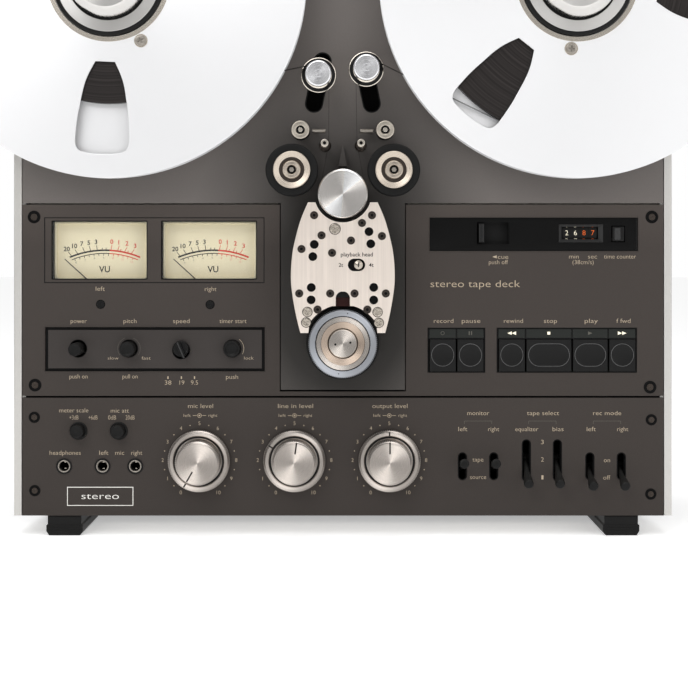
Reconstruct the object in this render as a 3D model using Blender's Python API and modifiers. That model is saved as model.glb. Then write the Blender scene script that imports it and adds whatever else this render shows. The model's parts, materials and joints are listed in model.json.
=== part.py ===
"""Two-reel studio tape deck with a closed-loop tape drive.

The deck stands upright. X runs to the right, Y to the back and Z up, in metres. The origin is under
the middle of the deck, on the surface that it stands on. Depths are given as heights ahead of the
front panel's face, so a negative height lies behind the panel.
"""

import math

import bmesh
import bpy

# Cabinet
CABINET_WIDTH = 0.456
CABINET_TOP = 0.446
CABINET_BOTTOM = 0.014
FULL_DEPTH = 0.258
FRONT_REACH = 0.050
SIDE_RAIL = 0.0055
TOP_RAIL = 0.0040
CHASSIS_DEPTH = 0.060
CHASSIS_WALL = 0.0040
COVER_WALL = 0.0020
COVER_INSET = 0.0020
FOOT_WIDTH = 0.0254
FOOT_CENTRE = 0.1932
FOOT_LENGTH = 0.195

# Front panels
PANEL_THICKNESS = 0.0030
PANEL_GAP = 0.0010
CLEARANCE = 0.0003
CONTROL_TOP = 0.2296
CONTROL_BOTTOM = 0.0970
CENTRE_PLATE_WIDTH = 0.0862
CENTRE_PLATE_BOTTOM = 0.1011
LOWER_TOP = 0.0957
RECESS_DEPTH = 0.0015

# Reels
REEL_X = 0.1580
REEL_Z = 0.3800
REEL_RADIUS = 0.13335
REEL_BORE = 0.0381
REEL_HUB_RADIUS = 0.0530
FLANGE_THICKNESS = 0.0012
FLANGE_SPACING = 0.0080
REEL_FRONT = 0.0330
WINDOW_INNER = 0.0550
WINDOW_OUTER = 0.1160
WINDOW_INNER_WIDTH = 0.0128
WINDOW_OUTER_WIDTH = 0.0365
SUPPLY_WINDOW_DEG = -92.3
TAKEUP_WINDOW_DEG = -128.5
SUPPLY_PACK_RADIUS = 0.0830
TAKEUP_PACK_RADIUS = 0.1075
TAPE_WIDTH = 0.0063
TURNTABLE_RADIUS = 0.0450
SPINDLE_RADIUS = 0.0040

# Tape path
TENSION_ARM_LENGTH = 0.0700
TENSION_SLOT_TOP = (0.0140, 0.3289)
TENSION_SLOT_BOTTOM = (0.0200, 0.2995)
TENSION_SLOT_RADIUS = 0.0057
SUPPLY_TENSION_REST = 0.0028
TAKEUP_TENSION_REST = 0.0069
TENSION_FLANGE_RADIUS = 0.0121
TENSION_CAP_RADIUS = 0.0090
ROLLER_FRONT = 0.0340
TENSION_ROLLER_FRONT = 0.0360
ROLLER_POST_RADIUS = 0.0025
GUIDE_X = 0.0286
GUIDE_Z = 0.2791
GUIDE_RADIUS = 0.0064
GUIDE_POST_RADIUS = 0.0018
TAPE_POST_X = 0.0123
TAPE_POST_Z = 0.2702
TAPE_POST_RADIUS = 0.0026
PEG_X = 0.0165
PEG_Z = 0.2799
PEG_LENGTH = 0.0092
PEG_RADIUS = 0.0015
PEG_HEIGHT = 0.0110
WEDGE_TOP = 0.2693
WEDGE_BOTTOM = 0.2555
WEDGE_WIDTH = 0.0062
WEDGE_HEIGHT = 0.0120
PINCH_RADIUS = 0.0178
PINCH_GAP = 0.0034569
PINCH_DEG = 25.28935
PINCH_ARM_LENGTH = 0.0350
PINCH_TRAVEL = 0.0036
CAPSTAN_Z = 0.2359
CAPSTAN_RADIUS = 0.0169
REVERSING_Z = 0.1349
REVERSING_RADIUS = 0.0229
REVERSING_BACK_RADIUS = 0.0250
TRANSPORT_PLATE_TOP = 0.2910
TRANSPORT_PLATE_BOTTOM = 0.1060
HEAD_COVER_FRONT = 0.0360
HEAD_COVER_THICKNESS = 0.0020
HEAD_BLOCK_WIDTH = 0.0440
HEAD_BLOCK_TOP = 0.2100
HEAD_BLOCK_BOTTOM = 0.1660
SELECTOR_X = 0.0092
SELECTOR_Z = 0.1880

# Motors
REEL_MOTOR_RADIUS = 0.0430
CAPSTAN_MOTOR_RADIUS = 0.0380
MOTOR_LENGTH = 0.0550
MOTOR_PLATE_FRONT = -0.0160
MOTOR_PLATE_THICKNESS = 0.0030
MOTOR_PLATE_BOTTOM = 0.2300
MOTOR_PLATE_TOP = 0.4350

# Meters
METER_LEFT = -0.2068
METER_RIGHT = -0.0545
METER_TOP = 0.2206
METER_BOTTOM = 0.1754
METER_PIVOTS = (-0.1687, -0.0928)
METER_PIVOT_Z = 0.1688
METER_WINDOW_HALF = 0.0332
METER_WINDOW_TOP = 0.2185
METER_WINDOW_BOTTOM = 0.1776
METER_DEPTH = 0.0300
NEEDLE_LENGTH = 0.0342
NEEDLE_REST_DEG = 137.7

# Switch row under the meters
SWITCH_ROW = (-0.2063, 0.1141, -0.0542, 0.1446)
SWITCH_Z = 0.1298
POWER_X = -0.1836
PITCH_X = -0.1483
SPEED_X = -0.1121
TIMER_X = -0.0767
POWER_RADIUS = 0.0045
PITCH_RADIUS = 0.0052
SPEED_RADIUS = 0.0056
TIMER_RADIUS = 0.0057

# Counter row
COUNTER_ROW = (0.0602, 0.1975, 0.2044, 0.2205)
CUE_SLOT = (0.0934, 0.2027, 0.1149, 0.2171)
CUE_WIDTH = 0.0045
COUNTER_WINDOW = (0.1519, 0.2056, 0.1773, 0.2142)
COUNTER_DRUM_RADIUS = 0.0090
RESET_BUTTON = (0.1864, 0.2039, 0.1952, 0.2147)

# Transport keys
KEY_BOTTOM = 0.1138
KEY_TOP = 0.1363
KEY_HEIGHT = 0.0010
KEY_LENGTH = 0.0100
KEY_GAP = 0.0004
KEY_STRIP_TOP = 0.1440
RECORD_GROUP = (0.0590, 0.0984)
PLAY_GROUP = (0.1069, 0.2036)
KEYS = (
    ("record_key", 0.0600, 0.0783),
    ("pause_key", 0.0792, 0.0976),
    ("rewind_key", 0.1079, 0.1262),
    ("stop_key", 0.1271, 0.1584),
    ("play_key", 0.1593, 0.1835),
    ("fast_forward_key", 0.1844, 0.2028),
)

# Lower panel
LEVEL_KNOBS = (("mic", -0.0994), ("line", -0.0335), ("output", 0.0322))
LEVEL_Z = 0.0524
OUTER_KNOB_RADIUS = 0.0214
OUTER_KNOB_HEIGHT = 0.0080
INNER_KNOB_RADIUS = 0.0153
INNER_KNOB_HEIGHT = 0.0200
KNOB_SLEEVE_RADIUS = 0.0060
KNOB_SHAFT_RADIUS = 0.0034
PUSH_BUTTONS = (("meter_scale_button", -0.1832), ("mic_attenuator_button", -0.1553))
PUSH_BUTTON_Z = 0.0728
PUSH_BUTTON_RADIUS = 0.0047
JACKS_X = (-0.1932, -0.1666, -0.1439)
JACK_Z = 0.0483
JACK_RADIUS = 0.0054
JACK_BORE = 0.0032
JACK_DEPTH = 0.0250
LEVER_SLOT_WIDTH = 0.0053
SHORT_SLOT = (0.0391, 0.0574)
LONG_SLOT = (0.0382, 0.0664)
SHORT_LEVER_PIVOT_Z = 0.0470
LONG_LEVER_PIVOT_Z = 0.0523
LEVER_PIVOT_HEIGHT = -0.0140
LEVER_LENGTH = 0.0350
LEVER_TIP_RADIUS = 0.0034
LEVERS = (
    ("monitor_left_lever", 0.0829, SHORT_SLOT, SHORT_LEVER_PIVOT_Z, 9.0),
    ("monitor_right_lever", 0.1046, SHORT_SLOT, SHORT_LEVER_PIVOT_Z, 9.0),
    ("equalizer_lever", 0.1272, LONG_SLOT, LONG_LEVER_PIVOT_Z, -25.5),
    ("bias_lever", 0.1487, LONG_SLOT, LONG_LEVER_PIVOT_Z, -25.5),
    ("record_left_lever", 0.1712, SHORT_SLOT, SHORT_LEVER_PIVOT_Z, -18.0),
    ("record_right_lever", 0.1930, SHORT_SLOT, SHORT_LEVER_PIVOT_Z, -18.0),
)

# Places that follow from the sizes above
PANEL_FACE_Y = FRONT_REACH - FULL_DEPTH / 2
PANEL_HALF = CABINET_WIDTH / 2 - SIDE_RAIL - CLEARANCE
PANEL_BACK = -PANEL_THICKNESS
CHASSIS_FRONT = PANEL_BACK - CLEARANCE
CHASSIS_BACK = CHASSIS_FRONT - CHASSIS_DEPTH
COVER_FRONT = CHASSIS_BACK - CLEARANCE
COVER_BACK = FRONT_REACH - FULL_DEPTH
REEL_BACK = REEL_FRONT - FLANGE_SPACING - 2 * FLANGE_THICKNESS
MOTOR_FRONT = MOTOR_PLATE_FRONT - MOTOR_PLATE_THICKNESS
TRANSPORT_FRONT = PANEL_BACK - 0.0006
TRANSPORT_BACK = TRANSPORT_FRONT - 0.0034
TENSION_ARM_FRONT = PANEL_BACK - 0.0010
PINCH_ARM_FRONT = TRANSPORT_BACK - 0.0010
ARM_THICKNESS = 0.0030
PINCH_DISTANCE = CAPSTAN_RADIUS + PINCH_RADIUS + PINCH_GAP
PINCH_X = PINCH_DISTANCE * math.cos(math.radians(PINCH_DEG))
PINCH_Z = CAPSTAN_Z + PINCH_DISTANCE * math.sin(math.radians(PINCH_DEG))

# Colour, roughness and metallic value of each material
FINISHES = {
    "grey_paint": ((0.075, 0.069, 0.066), 0.62, 0.0),
    "black_steel": ((0.020, 0.020, 0.022), 0.50, 0.3),
    "cast_frame": ((0.420, 0.415, 0.400), 0.42, 0.9),
    "zinc_steel": ((0.480, 0.470, 0.440), 0.40, 0.9),
    "satin_aluminium": ((0.780, 0.780, 0.760), 0.32, 1.0),
    "brushed_plate": ((0.640, 0.600, 0.540), 0.36, 1.0),
    "chromed_steel": ((0.700, 0.700, 0.700), 0.12, 1.0),
    "magnetic_tape": ((0.045, 0.030, 0.024), 0.35, 0.0),
    "roller_rubber": ((0.025, 0.024, 0.024), 0.70, 0.0),
    "black_plastic": ((0.015, 0.015, 0.016), 0.35, 0.0),
    "dial_cream": ((0.740, 0.680, 0.440), 0.60, 0.0),
    "knob_black": ((0.016, 0.016, 0.017), 0.40, 0.0),
}


def outline_circle(x, z, radius, count=24):
    steps = (math.tau * index / count for index in range(count))
    return [(x + radius * math.cos(angle), z + radius * math.sin(angle)) for angle in steps]


def outline_box(left, bottom, right, top):
    return [(left, bottom), (right, bottom), (right, top), (left, top)]


def outline_capsule(start, end, radius, count=8):
    """The outline of a bar with round ends, between two centres."""
    heading = math.atan2(end[1] - start[1], end[0] - start[0])
    points = []
    for centre, first in ((end, heading - math.pi / 2), (start, heading + math.pi / 2)):
        for index in range(count + 1):
            angle = first + math.pi * index / count
            points.append((centre[0] + radius * math.cos(angle), centre[1] + radius * math.sin(angle)))
    return points


def polar(x, z, radius, degrees):
    angle = math.radians(degrees)
    return (x + radius * math.cos(angle), z + radius * math.sin(angle))


def ahead(height):
    """The Y of a point at this height ahead of the panel's face."""
    return PANEL_FACE_Y - height


def tension_pivot(side):
    """The centre that a tension arm swings about, so that its roller follows the slot."""
    top, bottom = TENSION_SLOT_TOP, TENSION_SLOT_BOTTOM
    middle = ((top[0] + bottom[0]) / 2, (top[1] + bottom[1]) / 2)
    along = (top[0] - bottom[0], top[1] - bottom[1])
    scale = TENSION_ARM_LENGTH / math.hypot(*along)
    return side * (middle[0] - along[1] * scale * -1), middle[1] + along[0] * scale * -1


def tension_rest(side):
    """Where a tension roller stands at rest, by how far up its slot it is from the middle."""
    pivot = tension_pivot(side)
    rise = TAKEUP_TENSION_REST if side > 0 else SUPPLY_TENSION_REST
    middle_x = side * (TENSION_SLOT_TOP[0] + TENSION_SLOT_BOTTOM[0]) / 2
    middle_z = (TENSION_SLOT_TOP[1] + TENSION_SLOT_BOTTOM[1]) / 2
    angle = math.atan2(middle_z - pivot[1], middle_x - pivot[0]) - side * rise / TENSION_ARM_LENGTH
    return polar(pivot[0], pivot[1], TENSION_ARM_LENGTH, math.degrees(angle))


def pinch_pivot(side):
    """The centre that a pinch arm swings about, square to the line from its roller to the capstan."""
    reach_x, reach_z = -PINCH_X, CAPSTAN_Z - PINCH_Z
    scale = PINCH_ARM_LENGTH / math.hypot(reach_x, reach_z)
    return side * (PINCH_X + reach_z * scale), PINCH_Z - reach_x * scale


def new_object(name, mesh, finish, helper):
    obj = bpy.data.objects.new(name, mesh)
    home = "Cutters" if helper else "Tape_deck"
    bpy.data.collections[home].objects.link(obj)
    if helper:
        obj.hide_render = True
        obj.display_type = "WIRE"
    else:
        mesh.materials.append(bpy.data.materials[finish])
    return obj


def plate(name, loops, back, front, finish=None, origin=(0.0, 0.0), helper=False):
    """A flat piece between two heights, from closed outlines in X and Z. Inner outlines are holes."""
    curve = bpy.data.curves.new(name, "CURVE")
    curve.dimensions = "2D"
    curve.fill_mode = "BOTH"
    curve.extrude = (front - back) / 2
    for points in loops:
        spline = curve.splines.new("POLY")
        spline.points.add(len(points) - 1)
        for corner, (x, z) in zip(spline.points, points):
            corner.co = (x - origin[0], z - origin[1], 0.0, 1.0)
        spline.use_cyclic_u = True
    sketch = bpy.data.objects.new(name + "_sketch", curve)
    bpy.context.scene.collection.objects.link(sketch)
    sketch.rotation_euler = (math.pi / 2, 0.0, 0.0)
    sketch.location = (origin[0], ahead((front + back) / 2), origin[1])
    bpy.context.view_layer.update()
    graph = bpy.context.evaluated_depsgraph_get()
    mesh = bpy.data.meshes.new_from_object(sketch.evaluated_get(graph))
    shape = bmesh.new()
    shape.from_mesh(mesh)
    bmesh.ops.remove_doubles(shape, verts=shape.verts, dist=0.000001)
    bmesh.ops.recalc_face_normals(shape, faces=shape.faces)
    shape.to_mesh(mesh)
    shape.free()
    mesh.name = name
    mesh.materials.clear()
    obj = new_object(name, mesh, finish, helper)
    obj.matrix_world = sketch.matrix_world.copy()
    bpy.data.objects.remove(sketch)
    bpy.data.curves.remove(curve)
    return obj


def turned(name, profile, x, z, steps, finish=None, helper=False):
    """A turned piece about an axis that points forward, from (radius, height) down its outer side."""
    mesh = bpy.data.meshes.new(name)
    edges = [(index, index + 1) for index in range(len(profile) - 1)]
    if profile[0][0] > 0.0:
        edges.append((len(profile) - 1, 0))
    mesh.from_pydata([(radius, 0.0, height) for radius, height in profile], edges, [])
    obj = new_object(name, mesh, finish, helper)
    screw = obj.modifiers.new("Turn", "SCREW")
    screw.steps = steps
    screw.render_steps = steps
    screw.use_merge_vertices = True
    screw.merge_threshold = 0.00001
    obj.location = (x, ahead(0.0), z)
    obj.rotation_euler = (math.pi / 2, 0.0, 0.0)
    return obj


def block(name, area, back, front, finish=None, bevel=0.0, helper=False):
    """A box over an area (left, bottom, right, top), between two heights, with its origin in its middle."""
    left, bottom, right, top = area
    mesh = bpy.data.meshes.new(name)
    shape = bmesh.new()
    bmesh.ops.create_cube(shape, size=1.0)
    bmesh.ops.scale(shape, verts=shape.verts, vec=(right - left, front - back, top - bottom))
    shape.to_mesh(mesh)
    shape.free()
    obj = new_object(name, mesh, finish, helper)
    obj.location = ((left + right) / 2, ahead((front + back) / 2), (bottom + top) / 2)
    if bevel:
        edge = obj.modifiers.new("Edge", "BEVEL")
        edge.width = bevel
        edge.segments = 1
    return obj


def combine(obj, tool, operation):
    """Joins the tool to the piece, or cuts it away."""
    modifier = obj.modifiers.new(tool.name, "BOOLEAN")
    modifier.operation = operation
    modifier.solver = "EXACT"
    modifier.object = tool


def grown(area, margin):
    left, bottom, right, top = area
    return (left - margin, bottom - margin, right + margin, top + margin)


def build_chassis():
    half = CABINET_WIDTH / 2
    ring = [
        outline_box(-half, CABINET_BOTTOM, half, CABINET_TOP),
        outline_box(
            -half + 2 * CHASSIS_WALL,
            CABINET_BOTTOM + CHASSIS_WALL,
            half - 2 * CHASSIS_WALL,
            CABINET_TOP - 1.5 * CHASSIS_WALL,
        ),
    ]
    frame = plate("chassis_frame", ring, CHASSIS_BACK, CHASSIS_FRONT, "cast_frame")
    inner = half - SIDE_RAIL
    rail = [
        (-half, CABINET_BOTTOM),
        (-inner, CABINET_BOTTOM),
        (-inner, CABINET_TOP - TOP_RAIL),
        (inner, CABINET_TOP - TOP_RAIL),
        (inner, CABINET_BOTTOM),
        (half, CABINET_BOTTOM),
        (half, CABINET_TOP),
        (-half, CABINET_TOP),
    ]
    trim = plate("front_rail", [rail], CHASSIS_FRONT - CHASSIS_WALL, 0.0, helper=True)
    combine(frame, trim, "UNION")


def build_rear_cover():
    half = CABINET_WIDTH / 2 - COVER_INSET
    outer = (-half, CABINET_BOTTOM + COVER_INSET, half, CABINET_TOP - COVER_INSET)
    cover = block("rear_cover", outer, COVER_BACK, COVER_FRONT, "black_steel")
    inside = grown(outer, -COVER_WALL)
    hollow = block("cover_hollow", inside, COVER_BACK + COVER_WALL, COVER_FRONT + 0.01, helper=True)
    combine(cover, hollow, "DIFFERENCE")
    for index in range(6):
        bottom = 0.300 + 0.018 * index
        area = (-0.150, bottom, 0.150, bottom + 0.005)
        slot = block(f"vent_{index}", area, COVER_BACK - 0.01, COVER_BACK + 0.01, helper=True)
        combine(cover, slot, "DIFFERENCE")
    inlet = block("inlet_hole", (0.150, 0.050, 0.178, 0.070), COVER_BACK - 0.01, COVER_BACK + 0.01, helper=True)
    combine(cover, inlet, "DIFFERENCE")
    for index in range(4):
        x = -0.170 + 0.022 * (index % 2)
        z = 0.060 + 0.024 * (index // 2)
        hole = plate(
            f"phono_hole_{index}",
            [outline_circle(x, z, 0.0048, 16)],
            COVER_BACK - 0.01,
            COVER_BACK + 0.01,
            helper=True,
        )
        combine(cover, hole, "DIFFERENCE")


def build_feet():
    top = CABINET_BOTTOM - CLEARANCE
    for name, side in (("foot_left", -1), ("foot_right", 1)):
        left = side * FOOT_CENTRE - FOOT_WIDTH / 2
        right = left + FOOT_WIDTH
        section = [
            (left + 0.002, 0.0),
            (right - 0.002, 0.0),
            (right, 0.003),
            (right, 0.007),
            (right - 0.001, 0.008),
            (right - 0.001, top),
            (left + 0.001, top),
            (left + 0.001, 0.008),
            (left, 0.007),
            (left, 0.003),
        ]
        front = CHASSIS_FRONT + 0.002
        plate(name, [section], front - FOOT_LENGTH, front, "black_plastic")


def build_motor_plate():
    half = CABINET_WIDTH / 2 - 2 * CHASSIS_WALL - CLEARANCE
    upper = (-half, MOTOR_PLATE_BOTTOM, half, MOTOR_PLATE_TOP)
    body = block("motor_plate", upper, MOTOR_FRONT, MOTOR_PLATE_FRONT, "zinc_steel")
    half_tongue = CAPSTAN_MOTOR_RADIUS + 0.007
    lower = (-half_tongue, CAPSTAN_Z - half_tongue, half_tongue, MOTOR_PLATE_BOTTOM + 0.010)
    tongue = block("motor_tongue", lower, MOTOR_FRONT, MOTOR_PLATE_FRONT, helper=True)
    combine(body, tongue, "UNION")
    motors = (
        ("supply_motor", -REEL_X, REEL_Z, REEL_MOTOR_RADIUS),
        ("takeup_motor", REEL_X, REEL_Z, REEL_MOTOR_RADIUS),
        ("capstan_motor", 0.0, CAPSTAN_Z, CAPSTAN_MOTOR_RADIUS),
    )
    for name, x, z, radius in motors:
        can = [
            (0.0, MOTOR_FRONT + 0.001),
            (radius, MOTOR_FRONT + 0.001),
            (radius, MOTOR_FRONT - MOTOR_LENGTH),
            (0.0, MOTOR_FRONT - MOTOR_LENGTH),
        ]
        combine(body, turned(name, can, x, z, 28, helper=True), "UNION")
    for name, x, z, _ in motors:
        bore = [
            (0.0, MOTOR_PLATE_FRONT + 0.002),
            (SPINDLE_RADIUS + CLEARANCE, MOTOR_PLATE_FRONT + 0.002),
            (SPINDLE_RADIUS + CLEARANCE, MOTOR_FRONT - MOTOR_LENGTH / 2),
            (0.0, MOTOR_FRONT - MOTOR_LENGTH / 2),
        ]
        combine(body, turned(name + "_bore", bore, x, z, 16, helper=True), "DIFFERENCE")


def build_deck_plate():
    """The upper front plate, with the tongue that carries the tape path down the middle."""
    half = CENTRE_PLATE_WIDTH / 2
    top = CABINET_TOP - TOP_RAIL - CLEARANCE
    shoulder = CONTROL_TOP + PANEL_GAP
    outer = [
        (-half, CENTRE_PLATE_BOTTOM),
        (half, CENTRE_PLATE_BOTTOM),
        (half, shoulder),
        (PANEL_HALF, shoulder),
        (PANEL_HALF, top),
        (-PANEL_HALF, top),
        (-PANEL_HALF, shoulder),
        (-half, shoulder),
    ]
    loops = [outer]
    for side in (-1, 1):
        start = (side * TENSION_SLOT_TOP[0], TENSION_SLOT_TOP[1])
        end = (side * TENSION_SLOT_BOTTOM[0], TENSION_SLOT_BOTTOM[1])
        loops.append(outline_capsule(start, end, TENSION_SLOT_RADIUS, 6))
        loops.append(outline_circle(side * REEL_X, REEL_Z, 0.0125, 20))
        loops.append(outline_circle(side * GUIDE_X, GUIDE_Z, GUIDE_POST_RADIUS + 0.0005, 12))
        loops.append(outline_circle(side * TAPE_POST_X, TAPE_POST_Z, TAPE_POST_RADIUS + 0.0014, 16))
        loops.append(pinch_slot(side))
    loops.append(outline_circle(0.0, CAPSTAN_Z, SPINDLE_RADIUS + 0.0040, 16))
    loops.append(outline_circle(0.0, REVERSING_Z, SPINDLE_RADIUS + 0.0008, 16))
    loops.append(outline_box(*grown(head_block_area(), 0.0008)))
    deck = plate("deck_plate", loops, PANEL_BACK, 0.0, "grey_paint")
    for name, side in (("supply_peg", -1), ("takeup_peg", 1)):
        left = side * PEG_X - PEG_LENGTH / 2
        area = (left, PEG_Z - PEG_RADIUS, left + PEG_LENGTH, PEG_Z + PEG_RADIUS)
        combine(deck, block(name, area, PANEL_BACK / 2, PEG_HEIGHT, helper=True), "UNION")
    half = WEDGE_WIDTH / 2
    wedge = [(-half, WEDGE_BOTTOM), (half, WEDGE_BOTTOM), (0.0002, WEDGE_TOP), (-0.0002, WEDGE_TOP)]
    combine(deck, plate("deck_wedge", [wedge], PANEL_BACK / 2, WEDGE_HEIGHT, helper=True), "UNION")


def pinch_slot(side):
    """The opening that a pinch roller's post passes through and moves in."""
    start = (side * PINCH_X, PINCH_Z)
    towards = (-side * PINCH_X, CAPSTAN_Z - PINCH_Z)
    scale = PINCH_TRAVEL / math.hypot(*towards)
    end = (start[0] + towards[0] * scale, start[1] + towards[1] * scale)
    return outline_capsule(start, end, ROLLER_POST_RADIUS + 0.0010, 6)


def head_block_area():
    return (-HEAD_BLOCK_WIDTH / 2, HEAD_BLOCK_BOTTOM, HEAD_BLOCK_WIDTH / 2, HEAD_BLOCK_TOP)


def build_transport_base():
    """The casting behind the deck plate that carries the heads, shafts, posts and pegs."""
    half = CENTRE_PLATE_WIDTH / 2 + 0.002
    loops = [outline_box(-half, TRANSPORT_PLATE_BOTTOM, half, TRANSPORT_PLATE_TOP)]
    loops.append(outline_circle(0.0, CAPSTAN_Z, SPINDLE_RADIUS + 0.0040, 16))
    loops += [pinch_slot(side) for side in (-1, 1)]
    base = plate("transport_base", loops, TRANSPORT_BACK, TRANSPORT_FRONT, "cast_frame")
    heads = block("head_block", head_block_area(), TRANSPORT_BACK + 0.001, HEAD_COVER_FRONT - 0.004, helper=True)
    combine(base, heads, "UNION")
    shafts = [("reversing_shaft", 0.0, REVERSING_Z, SPINDLE_RADIUS, ROLLER_FRONT - 0.004)]
    for name, side in (("supply", -1), ("takeup", 1)):
        shafts.append((name + "_guide_shaft", side * GUIDE_X, GUIDE_Z, GUIDE_POST_RADIUS, ROLLER_FRONT - 0.004))
        shafts.append((name + "_tape_post", side * TAPE_POST_X, TAPE_POST_Z, TAPE_POST_RADIUS, ROLLER_FRONT))
        bulge_x = side * (HEAD_BLOCK_WIDTH / 2 + 0.004)
        bulge = block(
            name + "_head",
            (bulge_x - 0.009, 0.1720, bulge_x + 0.009, 0.1870),
            0.012,
            HEAD_COVER_FRONT - 0.005,
            helper=True,
        )
        combine(base, bulge, "UNION")
    for name, x, z, radius, front in shafts:
        profile = [(0.0, front), (radius, front), (radius, TRANSPORT_BACK + 0.001), (0.0, TRANSPORT_BACK + 0.001)]
        combine(base, turned(name, profile, x, z, 16, helper=True), "UNION")
    for name, side in (("supply", -1), ("takeup", 1)):
        x, z = pinch_pivot(side)
        back = PINCH_ARM_FRONT - ARM_THICKNESS - 0.001
        profile = [(0.0, TRANSPORT_BACK + 0.001), (ROLLER_POST_RADIUS, TRANSPORT_BACK + 0.001)]
        profile += [(ROLLER_POST_RADIUS, back), (0.0, back)]
        combine(base, turned(name + "_pinch_stud", profile, x, z, 12, helper=True), "UNION")


def cover_outline():
    """The head cover's right edge from top to bottom, mirrored to its left edge."""
    right = [(0.0184, 0.2302), (0.0231, 0.2302), (0.0347, 0.1840), (0.0347, 0.1755), (0.0283, 0.1424), (0.0235, 0.1424)]
    lower = []
    for index in range(9):
        lower.append(polar(0.0, REVERSING_Z, REVERSING_RADIUS + 0.0033, 22 + (80 - 22) * index / 8))
    notch = [(0.0047, lower[-1][1]), (0.0047, 0.1651)]
    upper = []
    for index in range(9):
        upper.append(polar(0.0, CAPSTAN_Z, CAPSTAN_RADIUS + 0.0053, -90 + (90 - 20) * index / 8))
    half = upper + right + lower[1:-1] + notch
    return half + [(-x, z) for x, z in reversed(half) if x > 0.0001]


def build_head_cover():
    selector = outline_capsule((SELECTOR_X - 0.0016, SELECTOR_Z), (SELECTOR_X + 0.0016, SELECTOR_Z), 0.0042)
    back = HEAD_COVER_FRONT - HEAD_COVER_THICKNESS
    plate("head_cover", [cover_outline(), selector], back, HEAD_COVER_FRONT, "brushed_plate")
    profile = [(0.0, HEAD_COVER_FRONT + 0.0015), (0.0031, HEAD_COVER_FRONT + 0.0010)]
    profile += [(0.0031, back + 0.0002), (0.0, back + 0.0002)]
    turned("head_selector", profile, SELECTOR_X + 0.0013, SELECTOR_Z, 16, "satin_aluminium")


def window_outline(x, z, degrees):
    """A reel flange's window: narrow by the hub, wide by the rim, with bulged sides and round corners."""
    direction = math.radians(degrees)
    inner, outer = WINDOW_INNER_WIDTH / 2, WINDOW_OUTER_WIDTH / 2
    local = [(WINDOW_INNER, 0.0), (WINDOW_INNER + 0.0010, inner * 0.8), (WINDOW_INNER + 0.0050, inner * 1.3)]
    middle = (WINDOW_INNER + WINDOW_OUTER) / 2
    local += [(middle, (inner + outer) * 0.56), (WINDOW_OUTER - 0.0100, outer), (WINDOW_OUTER - 0.0050, outer * 0.96)]
    local += [(WINDOW_OUTER - 0.0015, outer * 0.75), (WINDOW_OUTER, 0.0)]
    local += [(along, -across) for along, across in reversed(local[1:-1])]
    points = []
    for along, across in local:
        points.append(
            (
                x + along * math.cos(direction) - across * math.sin(direction),
                z + along * math.sin(direction) + across * math.cos(direction),
            )
        )
    return points


def build_reel(name, side, window_deg, pack_radius):
    x = side * REEL_X
    front_inner = REEL_FRONT - FLANGE_THICKNESS
    back_inner = REEL_BACK + FLANGE_THICKNESS
    profile = [
        (REEL_BORE, REEL_FRONT),
        (REEL_RADIUS, REEL_FRONT),
        (REEL_RADIUS, front_inner),
        (REEL_HUB_RADIUS, front_inner),
        (REEL_HUB_RADIUS, back_inner),
        (REEL_RADIUS, back_inner),
        (REEL_RADIUS, REEL_BACK),
        (REEL_BORE, REEL_BACK),
    ]
    reel = turned(name + "_reel", profile, x, REEL_Z, 54, "satin_aluminium")
    for index in range(3):
        loop = window_outline(x, REEL_Z, window_deg + 120 * index)
        cutter = plate(
            f"{name}_window_{index}", [loop], front_inner - 0.001, REEL_FRONT + 0.001, origin=(x, REEL_Z), helper=True
        )
        combine(reel, cutter, "DIFFERENCE")
    middle = (REEL_FRONT + REEL_BACK) / 2
    hub = REEL_HUB_RADIUS + CLEARANCE
    tape = [(hub, middle + TAPE_WIDTH / 2), (pack_radius, middle + TAPE_WIDTH / 2)]
    tape += [(pack_radius, middle - TAPE_WIDTH / 2), (hub, middle - TAPE_WIDTH / 2)]
    turned(name + "_tape", tape, x, REEL_Z, 36, "magnetic_tape")
    grip = REEL_BORE - CLEARANCE
    table = REEL_BACK - CLEARANCE
    spindle_end = MOTOR_FRONT - MOTOR_LENGTH / 2 + 0.001
    hub_profile = [
        (0.0, FRONT_REACH),
        (0.0220, FRONT_REACH),
        (0.0260, FRONT_REACH - 0.0040),
        (0.0260, REEL_FRONT + 0.0040),
        (grip, REEL_FRONT + 0.0030),
        (grip, table),
        (TURNTABLE_RADIUS, table),
        (TURNTABLE_RADIUS, table - 0.0080),
        (0.0110, table - 0.0080),
        (0.0110, 0.0010),
        (SPINDLE_RADIUS, 0.0010),
        (SPINDLE_RADIUS, spindle_end),
        (0.0, spindle_end),
    ]
    turned(name + "_turntable", hub_profile, x, REEL_Z, 24, "satin_aluminium")


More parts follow.
